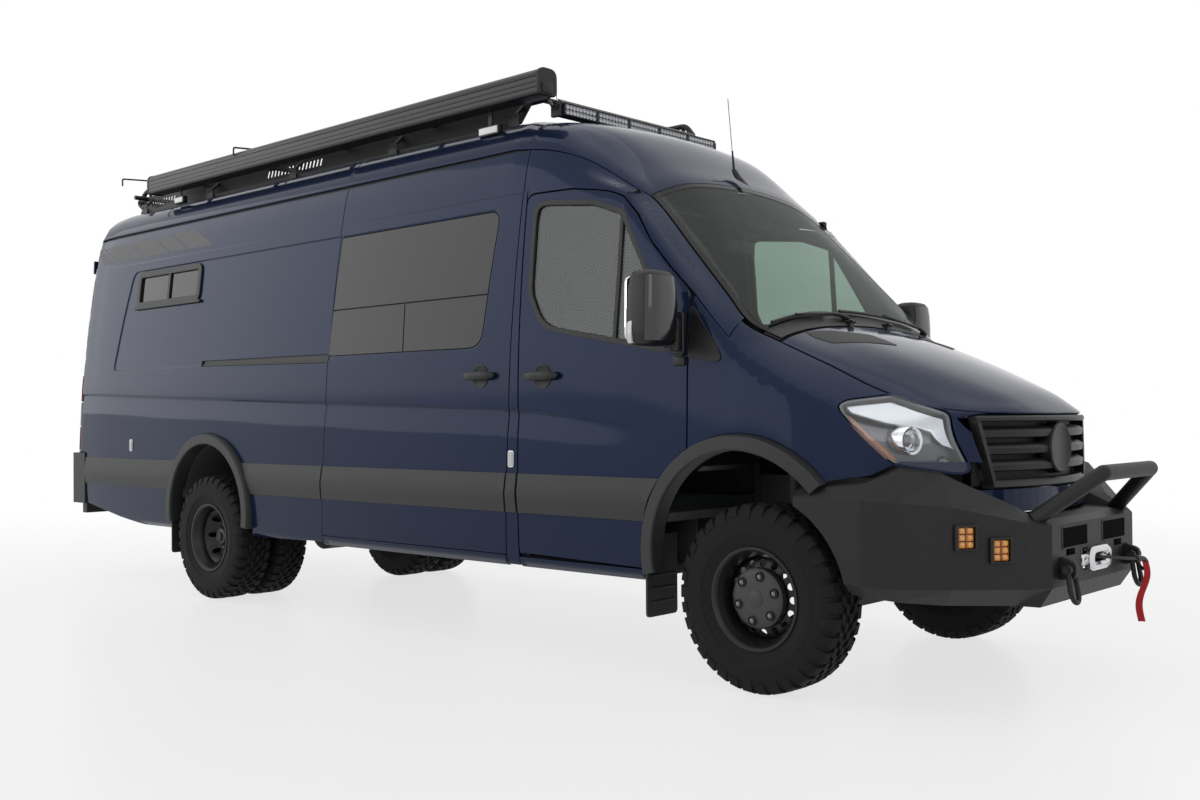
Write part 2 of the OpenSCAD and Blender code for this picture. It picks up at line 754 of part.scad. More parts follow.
hoop_foot_y = hoop_foot_share * half_w;
hoop_foot_z = bumper_shares[6][5] * roof_z;
hoop_z = hoop_foot_z + hoop_rise;

// Plate bumper with wings and the hoop bar
module front_bumper() {
  color("dimgray")
    framed() {
      difference() {
        sheet([for (k = [0:12]) bumper_row(k, 0)], [for (k = [0:12]) bumper_row(k, plate_t)]);
        cross_pin(0, wheel_z, tyre_clear, -far, far);
        translate([0, 0, panel_low_z - seam])
          linear_extrude(far)
            nose_band(panel_half + seam, seam, far / 3);
        for (y = [-slot_y, slot_y])
          span([0, y - slot_w / 2, slot_z - slot_h / 2], [far, y + slot_w / 2, slot_z + slot_h / 2]);
        span([box_front - 2 * plate_t, -fairlead_w / 2 - seam, fairlead_z - fairlead_h / 2 - seam],
          [far, fairlead_w / 2 + seam, fairlead_z + fairlead_h / 2 + seam]);
        both_sides()
          at_pods()
            pod(seam);
      }
      hoop();
      both_sides()
        span([nose_len / 2, -frame_y - frame_w / 2 - seam - bracket_t, bracket_z],
          [box_front - plate_t + seam, -frame_y - frame_w / 2 - seam, bracket_z + bracket_h]);
    }
}
bracket_rise = 11;
bracket_z = box_mid_z + bracket_rise;
bracket_h = 90;
bracket_t = 30;
fender_play = 0.8;

module hoop() {
  top = front_overhang - hoop_r;
  union() {
    cross_pin(top, hoop_z, hoop_r, -hoop_half, hoop_half);
    both_sides() {
      translate([top, -hoop_half, hoop_z])
        sphere(r = hoop_r);
      bar([top, -hoop_half, hoop_z], [hoop_foot_x, -hoop_foot_y, hoop_foot_z], hoop_r);
    }
  }
}

fairlead_w = 260;
fairlead_h = 90;
fairlead_drop = 34;
fairlead_z = box_mid_z - fairlead_drop;
fairlead_t = 45;
fairlead_slot_w = 150;
fairlead_slot_h = 26;
shackle_in = 90;
shackle_y = bumper_shares[5][1] * half_w - shackle_in;
shackle_drop = 71;
shackle_z = box_mid_z - shackle_drop;
shackle_r = 34;
shackle_wire_r = 10;
winch_deep = 190;

// Fairlead, winch drum behind it and two shackles
module winch() {
  color("silver")
    framed() {
      difference() {
        span([box_front - plate_t, -fairlead_w / 2, fairlead_z - fairlead_h / 2],
          [box_front + fairlead_t - plate_t, fairlead_w / 2, fairlead_z + fairlead_h / 2]);
        span([0, -fairlead_slot_w / 2, fairlead_z - fairlead_slot_h / 2],
          [far, fairlead_slot_w / 2, fairlead_z + fairlead_slot_h / 2]);
      }
      cross_pin(box_front - winch_deep, fairlead_z, fairlead_h / 2, -fairlead_w, fairlead_w);
      both_sides()
        span([box_front - winch_deep, -fairlead_w, fairlead_z - fairlead_h / 2],
          [box_front - plate_t - seam, -fairlead_w + plate_t, fairlead_z + fairlead_h / 2]);
      both_sides()
        translate([box_front + shackle_wire_r + seam, -shackle_y, shackle_z]) {
          rotate([90, 90, 0])
            rotate_extrude(angle = 180)
              translate([shackle_r, 0])
                circle(r = shackle_wire_r);
          translate([0, 0, -shackle_r])
            cylinder(h = 2 * shackle_r, r = shackle_wire_r);
        }
    }
}

step_low_z = 470;
step_high_z = 552;
step_deep = 130;
corner_low_z = 550;
corner_t = 60;
receiver_w = 64;
receiver_len = 220;
receiver_hole = 52;
receiver_pin_r = 8;
receiver_z = 425;
frame_low_z = 575;

// Rear corners, step and hitch receiver
module rear_bumper() {
  color("dimgray")
    framed() {
      both_sides()
        difference() {
          span([tail_x + seam, -half_w, corner_low_z], [corner_x - seam, -half_w + 1.5 * corner_t, bumper_top_z]);
          span([tail_x + corner_t, -half_w + corner_t, 0], [corner_x, 0, roof_z]);
        }
      span([-wheelbase - rear_overhang, -half_w + 2 * corner_t, step_low_z],
        [-wheelbase - rear_overhang + step_deep, half_w - 2 * corner_t, step_high_z]);
      both_sides()
        span([-wheelbase - rear_overhang + step_deep / 2, -half_w + corner_t, step_low_z],
          [-wheelbase - rear_overhang + step_deep, -half_w + 2 * corner_t, step_high_z]);
      both_sides()
        span([tail_x + corner_t, -frame_y - frame_w / 2, step_low_z],
          [-wheelbase - rear_overhang + step_deep, -frame_y + frame_w / 2, frame_low_z - seam]);
      difference() {
        span([-wheelbase - rear_overhang + step_deep / 4, -receiver_w / 2, receiver_z - receiver_w / 2],
          [-wheelbase - rear_overhang + receiver_len, receiver_w / 2, step_low_z]);
        span([-far * 3, -receiver_hole / 2, receiver_z - receiver_hole / 2],
          [-wheelbase - rear_overhang + receiver_len, receiver_hole / 2, receiver_z + receiver_hole / 2]);
        cross_pin(-wheelbase - rear_overhang + step_deep / 2, receiver_z, receiver_pin_r, -receiver_w, receiver_w);
      }
    }
}

// Sliding door in the right side
module sliding_door() {
  color("midnightblue")
    framed() {
      difference() {
        intersection() {
          skin(3, 6, 0, seam_rail_share, 0, wall_t, 1, 2);
          side_prism(slide_outline);
        }
        side_prism(slide_glass_outline, r = win_r);
      }
      intersection() {
        skin(3, 6, 2, 3, clad_t, seam, 1, 2);
        side_prism(slide_outline, grow = -seam);
      }
    }
}

flap_t = 8;
flap_low_z = 265;
flap_high_z = 640;
front_flap_back = 64;
front_flap_x = front_arch_x - arch_r - front_flap_back;
front_flap_w = 220;
rear_flap_x = rear_arch_x - arch_r - flare_w / 2;
rear_flap_w = 500;
clad_step = 1;

// Flares, side strips and mud flaps on the fixed body
module cladding() {
  color("darkslategray")
    framed()
      both_sides() {
        difference() {
          intersection() {
            union() {
              flare(front_arch_x, front_arch_z);
              flare(rear_arch_x, rear_arch_z);
            }
            span([tail_x, -far, sill_z], [far, 0, roof_z]);
          }
          span([0, -far, 0], [far, 0, flare_low_z]);
        }
        span([front_flap_x, -half_w + flap_t, flap_low_z], [front_flap_x + flap_t, -half_w + front_flap_w, flap_high_z]);
        span([rear_flap_x, -half_w, flap_low_z], [rear_flap_x + flap_t, -half_w + rear_flap_w, flap_high_z]);
      }
  color("darkslategray")
    framed() {
      wall_strip(true);
      wall_strip(false);
    }
}

// Side strip along a load space wall, broken by the rear flare and the sliding door
module wall_strip(right) {
  on_side(right)
    difference() {
      intersection() {
        skin(0, 6, 2, 3, clad_t, -seam / 2, 1, 2);
        span([corner_x + seam, -far, 0], [door_rear_x - gap, 0, roof_z]);
      }
      rear_arch(arch_r + flare_w + seam);
      if (right)
        side_prism(slide_outline, grow = seam);
    }
}

module flare(x, z) {
  difference() {
    cross_pin(x, z, arch_r + flare_w - seam / 2, -half_w - flare_out, -half_w - flare_out + flare_deep);
    cross_pin(x, z, arch_r, -far, far);
  }
}

rack_behind = 135;
rack_front_x = door_rear_x - rack_behind;
rack_ahead = 426;
rack_rear_x = tail_x + rack_ahead;
rack_bars = 6;
rack_foot = 50;
rack_foot_z_share = 0.98739;
cross_thin_share = 0.9;
plate_h = 78;
plate_thin = 6;
plate_slots = 9;
plate_slot_share = 0.7;
plate_slot_h = 34;
hoop_back = 110;
hoop_drop = 30;

// Roof rack: side tubes, cross tubes, feet and awning brackets
module roof_rack() {
  color("black")
    framed() {
      difference() {
        union() {
          for (y = [-rack_y, rack_y])
            bar([rack_rear_x, y, rack_z], [rack_front_x, y, rack_z], rack_r);
          for (k = [0:rack_bars - 1])
            let (x = rack_rear_x + rack_foot + (rack_front_x - rack_rear_x - 2 * rack_foot) * k / (rack_bars - 1)) {
              cross_pin(x, rack_z, rack_r * cross_thin_share, -awning_y + awning_d / 2 + seam, rack_y + rack_foot / 2);
              for (y = [-rack_y, rack_y])
                span([x - rack_foot / 2, y - rack_foot / 2, rack_foot_z_share * roof_z],
                  [x + rack_foot / 2, y + rack_foot / 2, rack_z]);
            }
        }
        for (k = [1:2]) for (y = [-rack_y / 2, rack_y / 2])
          let (x = rack_rear_x + rack_foot + (rack_front_x - rack_rear_x - 2 * rack_foot) * k / (rack_bars - 1))
            translate([x, y, rack_z - 2 * rack_r])
              cylinder(h = 4 * rack_r, r = rack_bolt_r);
      }
      rack_plate();
      rack_hoop();
    }
}
rack_bolt_r = 4.2;

// Slotted plate that closes the rack's right side under its tube
module rack_plate() {
  pitch = (rack_front_x - rack_rear_x) / plate_slots;
  difference() {
    span([rack_rear_x + rack_r, -rack_y - plate_thin / 2, rack_z - plate_h],
      [rack_front_x - rack_r, -rack_y + plate_thin / 2, rack_z]);
    for (k = [0:plate_slots - 1])
      span([rack_rear_x + (k + (1 - plate_slot_share) / 2) * pitch, -far, rack_z - plate_h / 2 - plate_slot_h / 2],
        [rack_rear_x + (k + (1 + plate_slot_share) / 2) * pitch, 0, rack_z - plate_h / 2 + plate_slot_h / 2]);
  }
}

// Bow that joins the side tubes behind the last cross tube
module rack_hoop() {
  for (y = [-rack_y, rack_y]) {
    translate([rack_rear_x, y, rack_z])
      sphere(r = rack_r + seam);
    bar([rack_rear_x, y, rack_z], [rack_rear_x - hoop_back, y, rack_z - hoop_drop], rack_r * cross_thin_share);
    translate([rack_rear_x - hoop_back, y, rack_z - hoop_drop])
      sphere(r = rack_r);
  }
  cross_pin(rack_rear_x - hoop_back, rack_z - hoop_drop, rack_r * cross_thin_share, -rack_y, rack_y);
}

awning_ahead = 40;
awning_front_x = door_rear_x + awning_ahead;

// Awning case along the right roof edge
module awning() {
  color("black")
    framed()
      translate([awning_front_x - awning_len, -awning_y, awning_z])
        rotate([90, 0, 90])
          linear_extrude(awning_len)
            polygon([for (p = awning_shares) p * awning_d / 2]);
}
awning_shares = [[-1, -0.6], [-0.7, -1], [0.7, -1], [1, -0.8], [1, 0.8], [0.8, 1], [-0.3, 1], [-0.8, 0.7], [-1, 0.3]];

bar_x = door_rear_x;
bar_z_share = 0.9946;
bar_z = bar_z_share * roof_z;
bar_half = 640;
bar_h = 66;
bar_deep = 70;
visor_rise = 110;
lens_count = 5;
lens_gap = 16;
lens_rim = 12;
lens_out = 8;
visor_t = 6;
antenna_share = 7.22;
antenna_len = 440;
antenna_sink = 1;
antenna_r = 4;

// Lamp bar with its visor plate, and the antenna
module roof_fittings() {
  color("black")
    framed() {
      span([bar_x - bar_deep, -bar_half, bar_z - bar_h / 2], [bar_x, bar_half, bar_z + bar_h / 2]);
      for (k = [0:lens_count - 1])
        let (w = 2 * bar_half / lens_count, y = -bar_half + k * w)
          span([bar_x - lens_out, y + lens_gap / 2, bar_z - bar_h / 2 + lens_rim],
            [bar_x + lens_out, y + w - lens_gap / 2, bar_z + bar_h / 2 - lens_rim]);
      translate([bar_x - bar_deep, -bar_half, bar_z + bar_h / 2])
        rotate([0, -90 + visor_angle, 0])
          cube([visor_rise, 2 * bar_half, visor_t]);
      translate(body_point(antenna_share, RAILS) + [0, 0, antenna_r + seam])
        cylinder(h = antenna_len, r = antenna_r);
      translate(body_point(antenna_share, RAILS) + (antenna_r - antenna_sink) * body_normal(antenna_share, RAILS))
        sphere(r = antenna_r - seam);
    }
}
visor_angle = 50;

// Under the floor

frame_high_z = floor_z;
frame_front_back = 150;
frame_front_x = nose_len - frame_front_back;
cross_w = 70;
mid_cross_shares = [-0.82, -0.52, -0.2];
nose_cross_share = 0.6045;
tail_cross = 145;
spring_cross = 735;
nose_cross_x = nose_cross_share * nose_len;
cross_xs = concat([tail_x + tail_cross, -wheelbase - spring_cross], mid_cross_shares * wheelbase, [nose_cross_x]);

// Two long members with cross members
module chassis_frame() {
  color("black")
    framed() {
      both_sides()
        span([tail_x + corner_t, -frame_y - frame_w / 2, frame_low_z], [frame_front_x, -frame_y + frame_w / 2, frame_high_z]);
      for (x = cross_xs)
        span([x - cross_w / 2, -frame_y + frame_w / 2, frame_low_z + frame_w / 2],
          [x + cross_w / 2, frame_y - frame_w / 2, frame_high_z]);
    }
}

beam_low_z = 300;
beam_high_z = 380;
beam_out = 30;
beam_half = frame_y + beam_out;
beam_deep = 180;
arm_r = 22;
arm_low_z = 262;
arm_high_z = 545;
lug_r = 32;
lug_h = 34;
strut_r = 30;
strut_in = 160;
strut_y = pivot_y - strut_in;
link_share = 0.7;
strut_top_z = 1040;

// Front beam, lower arms, struts and steering pivot pins
module front_suspension() {
  color("dimgray")
    framed() {
      span([-beam_deep / 2, -beam_half, beam_low_z], [beam_deep / 2, beam_half, beam_high_z]);
      both_sides() {
        span([-beam_deep / 2, -frame_y - frame_w / 2, beam_high_z], [beam_deep / 2, -frame_y + frame_w / 2, frame_low_z]);
        bar([0, -beam_half + arm_r, (beam_low_z + beam_high_z) / 2], [0, -pivot_y, arm_low_z - lug_h / 2], arm_r);
        translate([0, -pivot_y, arm_low_z - lug_h])
          cylinder(h = lug_h, r = lug_r);
        translate([0, -pivot_y, arm_low_z - lug_h / 2])
          cylinder(h = arm_high_z - arm_low_z + lug_h, r = pivot_r);
        translate([0, -pivot_y, arm_high_z])
          cylinder(h = lug_h, r = lug_r);
        bar([0, -pivot_y, arm_high_z + lug_h / 2], [0, -strut_y, arm_high_z + lug_h / 2], arm_r * link_share);
        translate([0, -strut_y, arm_high_z])
          cylinder(h = strut_top_z - arm_high_z, r = strut_r);
      }
    }
}

knuckle_r = 34;
knuckle_gap = 25;
stub_out = 85;
stub_y = front_track_y + stub_out;

module knuckle(right) {
  on_side(right)
    difference() {
      union() {
        translate([0, -pivot_y, arm_low_z + knuckle_gap])
          cylinder(h = arm_high_z - arm_low_z - 2 * knuckle_gap, r = knuckle_r);
        cross_pin(0, wheel_z, spindle_r, -stub_y, -pivot_y);
      }
      translate([0, -pivot_y, 0])
        cylinder(h = roof_z, r = pivot_r + run_gap);
    }
}

// Right steering knuckle with its stub axle
module knuckle_right() {
  color("gray")
    framed()
      knuckle(true);
}

// Left steering knuckle with its stub axle
module knuckle_left() {
  color("gray")
    framed()
      knuckle(false);
}

axle_r = 58;
axle_tube_half = wheelhouse_in;
diff_r = 150;
diff_half = 110;
rear_stub_out = 175;
rear_stub_y = rear_track_y + rear_stub_out;
leaf_w = 70;
leaf_t = 14;
leaf_x_shares = [0.148, 0.115, 0.075];
hanger_w = 40;

// Rear axle with its wheel stubs and the leaf springs
module rear_axle() {
  color("dimgray")
    framed() {
      cross_pin(-wheelbase, wheel_z, axle_r, -axle_tube_half, axle_tube_half);
      cross_pin(-wheelbase, wheel_z, spindle_r, -rear_stub_y, rear_stub_y);
      cross_pin(-wheelbase, wheel_z, diff_r, -diff_half, diff_half);
      both_sides() {
        for (k = [0:2])
          span([-wheelbase * (1 + leaf_x_shares[k]), -frame_y - leaf_w / 2, wheel_z + axle_r - leaf_t / 2 + k * leaf_t],
            [-wheelbase * (1 - leaf_x_shares[k]), -frame_y + leaf_w / 2, wheel_z + axle_r - leaf_t / 2 + (k + 1) * leaf_t]);
        for (s = [-1, 1])
          translate([-wheelbase + s * (wheelbase * leaf_x_shares[0] - hanger_w), -frame_y - leaf_w / 2, wheel_z + axle_r])
            cube([hanger_w, leaf_w, frame_low_z - wheel_z - axle_r]);
      }
    }
}

block_play = 10;
engine_in = 100;
engine_half = frame_y - engine_in;
engine_top_share = 0.405;
engine_top_z = engine_top_share * roof_z;
engine_front_back = 310;
engine_front_x = nose_len - engine_front_back;
engine_ahead = 80;
engine_rear_x = firewall_x + firewall_t + engine_ahead;
gearbox_half = 170;
gearbox_low_z = 400;
gearbox_len = 920;
gearbox_rear_x = engine_rear_x - gearbox_len;
shaft_r = 38;
shaft_z = 470;
tank_x_shares = [0.42, 0.66];
tank_half = 175;
tank_low_z = 440;
tank_in = 40;
pipe_r = 35;
silencer_x_shares = [0.42, 0.58];

// Engine and gearbox as plain blocks, propeller shaft, fuel tank and silencer
module drivetrain() {
  color("gray")
    framed() {
      difference() {
        span([engine_rear_x, -engine_half, beam_high_z + block_play], [engine_front_x, engine_half, engine_top_z]);
        span([nose_cross_x - cross_w, -far, 0], [far, far, frame_high_z + block_play]);
      }
      span([gearbox_rear_x, -gearbox_half, gearbox_low_z], [engine_rear_x, gearbox_half, frame_low_z + block_play]);
      bar([gearbox_rear_x, 0, shaft_z], [-wheelbase + diff_r, 0, wheel_z + block_play], shaft_r);
      span([-wheelbase * tank_x_shares[1], half_w - wall_t - tank_in - 2 * tank_half, tank_low_z],
        [-wheelbase * tank_x_shares[0], half_w - wall_t - tank_in, floor_z]);
      span([-wheelbase * silencer_x_shares[1], -half_w + wall_t + tank_in, tank_low_z],
        [-wheelbase * silencer_x_shares[0], -half_w + wall_t + tank_in + 2 * tank_half, floor_z]);
    }
}

// Cab inside

dash_z_shares = [0.36, 0.515];
dash_shares = [[-0.31, 0.513], [-0.45, 0.480], [-0.50, 0.43], [-0.44, 0.37], [-0.36, 0.33]];
wheel_stand = 35;
wheel_rise = 100;
wheel_hub_x = dash_shares[2][0] * cab_len - wheel_stand;
wheel_hub_y = seat_y;
wheel_hub_z = dash_shares[2][1] * roof_z + wheel_rise;
spoke_share = 0.8;
wheel_rim_r = 190;
wheel_wire_r = 15;
wheel_tilt = 60;
column_r = 25;

// Dashboard with the steering wheel and its column
module dashboard() {
  color("black")
    framed() {
      rotate([90, 0, 0])
        translate([0, 0, -floor_half + wall_t])
          linear_extrude(2 * floor_half - 2 * wall_t)
            polygon(concat([for (z = dash_z_shares) [firewall_x - seam, z * roof_z]], shares(dash_shares)));
      translate([wheel_hub_x, wheel_hub_y, wheel_hub_z])
        rotate([0, -wheel_tilt, 0]) {
          rotate_extrude()
            translate([wheel_rim_r, 0])
              circle(r = wheel_wire_r);
          for (a = [90, 210, 330])
            rotate([0, 90, a])
              cylinder(h = wheel_rim_r, r = wheel_wire_r * spoke_share);
          translate([0, 0, -column_len])
            cylinder(h = column_len + column_r, r = column_r);
        }
    }
}
column_len = 230;

seat_half = 250;
seat_len = 430;
seat_ahead = 70;
seat_rear_x = door_rear_x + seat_ahead;
seat_front_x = seat_rear_x + seat_len;
seat_box_h = 260;
cushion_t = 120;
back_h = 600;
head_h = 210;
seat_base_z = floor_z + floor_t + seat_box_h;
seat_top_z = seat_base_z + cushion_t;
back_t = 130;
back_top_z = seat_top_z + back_h;
head_top_z = back_top_z + head_h;
head_half = 130;
recline = 105;

// Two front seats on their boxes
module seats() {
  color("darkgray")
    framed()
      both_sides() {
        span([seat_front_x - back_t / 2, -seat_y - seat_half + back_t / 2, floor_z + floor_t + seam],
          [seat_rear_x, -seat_y + seat_half - back_t / 2, seat_base_z - seam]);
        translate([0, -seat_y + seat_half, 0])
          rotate([90, 0, 0])
            linear_extrude(2 * seat_half)
              polygon([[seat_front_x, seat_base_z], [seat_front_x, seat_top_z], [seat_rear_x + back_t / 2, seat_top_z],
                [seat_rear_x + back_t / 2 - recline, back_top_z], [seat_rear_x - back_t / 2 - recline, back_top_z],
                [seat_rear_x - back_t / 2, seat_base_z]]);
        span([seat_rear_x - recline - back_t / 3, -seat_y - head_half, back_top_z + seam],
          [seat_rear_x - recline + back_t / 3, -seat_y + head_half, head_top_z]);
      }
}

// Hinges

hinge_out = 8.5;
leaf_start = 4.2;
door_hinge_x = door_front_x + gap / 2;
eye_t = 4;
eye_h = 34;
leaf_len = 34;
door_hinge_shares = [0.39606, 0.48925];
door_hinge_zs = door_hinge_shares * roof_z;
hinge_y = half_w + hinge_out;
rear_hinge_in = 11.7;
rear_hinge_y = -NET[0][5][1] - wall_t - rear_hinge_in;
rear_hinge_shares = [0.56093, 0.59319];
rear_hinge_zs = rear_hinge_shares * roof_z;
hood_hinge_y = 170;
hood_axis_x = hood_axis_share * nose_len;

// Fixed eye about z with a leaf towards d
module eye(deep, d) {
  difference() {
    union() {
      cylinder(h = eye_h, r = hinge_r + eye_t, center = true);
      span([d * leaf_start, -hinge_r, -eye_h / 2], [d * leaf_len, deep, eye_h / 2]);
    }
    cylinder(h = far, r = hinge_r + run_gap, center = true);
  }
}

// Moving pin about z with a lug at each end and leaves towards d
module pin(deep, d) {
  cylinder(h = 2 * eye_h, r = hinge_r, center = true);
  for (s = [-1, 1])
    translate([0, 0, s * eye_h * 3 / 4]) {
      cylinder(h = eye_h / 2 - 2 * seam, r = hinge_r + eye_t, center = true);
      span([d * leaf_start, -hinge_r, -eye_h / 4 + seam], [d * leaf_len, deep, eye_h / 4 - seam]);
    }
}

// Places a hinge of the right front door
module at_door_hinge() {
  for (z = door_hinge_zs)
    translate([door_hinge_x, -hinge_y, z])
      children();
}

// Places a hinge of the right rear door, on the leaning rear end
module at_rear_hinge() {
  for (z = rear_hinge_zs)
    translate([tail_x - gap / 2, 0, clad_high_z])
      rotate([0, lean_angle, 0])
        translate([-hinge_out, -rear_hinge_y, z - clad_high_z])
          rotate([0, 0, -90])
            children();
}

// Places a hinge of the hood
module at_hood_hinge() {
  for (y = [-hood_hinge_y, hood_hinge_y])
    translate([hood_axis_x, y, hood_axis_z])
      rotate([-90, 0, 0])
        children();
}

// Moving panels

hood_row_share = 12.12;
hood_front_share = 17.55;
hood_rail_share = 8.09;

// Hood, hinged along its rear edge
module hood() {
  color("midnightblue")
    framed() {
      difference() {
        skin(hood_row_share, hood_front_share, hood_rail_share, 2 * RAILS - hood_rail_share, 0, hood_t, 2, 2);
        grille_zone(gap);
      }
      at_hood_hinge()
        pin(leaf_len, 1);
      both_sides()
        intersection() {
          skin(hood_row_share, vent_row_share, hood_rail_share, vent_rail_share, hood_vent_t, seam, 2, 2);
          linear_extrude(far)
            polygon([for (p = hood_vent_shares) [p[0] * nose_len, p[1] * half_w]]);
        }
    }
}
hood_vent_t = 4;
vent_row_share = 14;
vent_rail_share = 10.6;
hood_vent_shares = [[0.091, -0.611], [0.172, -0.586], [0.323, -0.265], [0.151, -0.237], [0.085, -0.434]];

module door(right) {
  on_side(right)
    difference() {
      intersection() {
        skin(5, 11, 0, 7 - step_share, 0, wall_t, 1, 2);
        side_prism(door_outline);
      }
      side_prism(window_outline, r = win_r);
      front_arch(arch_r + flare_w + gap);
    }
  on_side(right)
    at_door_hinge()
      pin(leaf_len, -1);
}

// Right front door
module door_right() {
  color("midnightblue")
    framed()
      door(true);
}

// Left front door
module door_left() {
  color("midnightblue")
    framed()
      door(false);
}

mirror_back = 103;
mirror_x = door_front_x - mirror_back;
mirror_deep = 110;
mirror_stand = 50;
mirror_w = 175;
mirror_h = 330;
mirror_r = 34;
mirror_arm_share = 0.5448;
mirror_arm_drop = 50;
mirror_arm_z = mirror_arm_share * roof_z;
mirror_in = half_w + mirror_stand;
mirror_out = mirror_in + mirror_w;
mirror_low_z = mirror_arm_z - mirror_arm_drop;
mirror_high_z = mirror_low_z + mirror_h;
mirror_seat_share = 0.97717;
handle_seat_share = 0.9922;
handle_grip_share = 0.6;
mirror_arm_h = 70;
mirror_arm_deep = 60;
handle_ahead = 170;
handle_x = door_rear_x + handle_ahead;
handle_z_share = 0.49176;
handle_z = handle_z_share * roof_z;
handle_len = 190;
handle_h = 34;
handle_out = 45;

module door_trim(right) {
  on_side(right) {
    translate([mirror_x, 0, 0])
      rotate([90, 0, 90])
        linear_extrude(mirror_deep)
          offset(r = mirror_r)
            offset(delta = -mirror_r)
              polygon([[-mirror_out, mirror_low_z], [-mirror_in, mirror_low_z], [-mirror_in, mirror_high_z],
                [-mirror_out, mirror_high_z]]);
    span([mirror_x, -mirror_in, mirror_arm_z], [mirror_x + mirror_arm_deep, -half_w * mirror_seat_share, mirror_arm_z + mirror_arm_h]);
    span([handle_x - handle_len / 2, -half_w - handle_out * handle_grip_share, handle_z - handle_h / 2],
      [handle_x + handle_len / 2, -half_w * handle_seat_share, handle_z + handle_h / 2]);
    difference() {
      intersection() {
        skin(5, 10, 2, 3, clad_t, -clad_step, 1, 2);
        side_prism(door_outline, grow = -clad_step);
      }
      front_arch(arch_r + flare_w + gap);
    }
  }
}

// Mirror, handle and side strip of the right front door
module door_right_trim() {
  color("black")
    framed()
      door_trim(true);
}

// Mirror, handle and side strip of the left front door
module door_left_trim() {
  color("black")
    framed()
      door_trim(false);
}

module door_glass(right) {
  on_side(right)
    intersection() {
      skin(5, 11, 4, 7, -glass_set, glass_set + glass_t, 1, 2);
      side_prism(window_outline, grow = -seam / 2, r = win_r);
    }
}

// Panes of the right front door
module door_right_glass() {
  color("darkslategray")
    framed()
      door_glass(true);
}

// Panes of the left front door
module door_left_glass() {
  color("darkslategray")
    framed()
      door_glass(false);
}

rear_glass_y_shares = [0.12, 0.76];
rear_glass_z_shares = [0.555, 0.80];

// Lays an outline of y and z on the leaning rear end, as thick as t and set back by s
module on_rear(t, s) {
  translate([tail_x - gap / 2, 0, clad_high_z])
    rotate([0, lean_angle, 0])
      translate([s, 0, -clad_high_z])
        rotate([90, 0, 90])
          linear_extrude(t)
            children();
}

module rear_door_outline() {
  inset = wall_t + gap;
  polygon(concat(
    [[-gap / 2, rear_door_z], [NET[0][1][1] + inset, rear_door_z]],
    [for (i = [2:7]) [NET[0][i][1] + inset, NET[0][i][2]]],
    [for (i = [8:10]) [NET[0][i][1] + inset, NET[0][i][2] - inset]],
    [[-gap / 2, NET[0][RAILS][2] - inset]]));
}

module rear_glass_outline() {
  offset(r = win_r)
    offset(delta = -win_r)
      polygon([for (k = [[0, 0], [1, 0], [1, 1], [0, 1]])
        [-rear_glass_y_shares[k[0]] * half_w, rear_glass_z_shares[k[1]] * roof_z]]);
}

module rear_door(right) {
  on_side(right)
    difference() {
      on_rear(wall_t, 0)
        rear_door_outline();
      on_rear(far, -far / 2)
        rear_glass_outline();
    }
  on_side(right)
    at_rear_hinge()
      pin(leaf_len, -1);
}

// Right rear door
module rear_door_right() {
  color("midnightblue")
    framed()
      rear_door(true);
}

// Left rear door
module rear_door_left() {
  color("midnightblue")
    framed()
      rear_door(false);
}

module rear_door_glass(right) {
  on_side(right)
    on_rear(glass_t, glass_set)
      offset(delta = -seam / 2)
        rear_glass_outline();
}

// Pane of the right rear door
module rear_door_right_glass() {
  color("darkslategray")
    framed()
      rear_door_glass(true);
}

// Pane of the left rear door
module rear_door_left_glass() {
  color("darkslategray")
    framed()
      rear_door_glass(false);
}

// Wheels

disc_t = 14;
barrel_t = 14;
flange_t = 12;
hub_r = 85;
hub_len = 60;
nut_count = 6;
nut_r = 13;
nut_ring_r = 65;
front_disc_out = 60;
rim_w_share = 0.8;
twin_hub_share = 1.5;
twin_cap_share = 0.72;
tread_h = 11;
tread_root = 3;
lug_count = 18;
tyre_fn = 32;
lug_share = 0.62;
lug_w_share = 0.9;
lug_in_share = 0.85;

// Half section of a tyre, from shares of its half width and its height
tyre_shares = [[-0.80, 0.0], [-1.0, 0.45], [-0.95, 0.80], [-0.78, 1.0],
  [0.78, 1.0], [0.95, 0.80], [1.0, 0.45], [0.80, 0.0]];

// Tyre about the y axis, its middle at y
module tyre(x, y) {
  h = (tyre_d - rim_d) / 2 - tread_h;
  root = tyre_d / 2 - tread_h - tread_root;
  pitch = 360 / lug_count;
  translate([x, y, wheel_z])
    rotate([90, 0, 0]) {
      rotate_extrude($fn = tyre_fn)
        polygon([for (p = tyre_shares) [rim_d / 2 + p[1] * h, p[0] * tyre_w / 2]]);
      linear_extrude(tyre_w * lug_w_share, center = true)
        difference() {
          polygon([for (k = [0:lug_count - 1])
            for (c = [[0, root], [0, tyre_d / 2], [lug_share, tyre_d / 2], [lug_share, root]])
            c[1] * [cos((k + c[0]) * pitch - 90), sin((k + c[0]) * pitch - 90)]]);
          circle(r = rim_d / 2 + h * lug_in_share, $fn = tyre_fn);
        }
    }
}

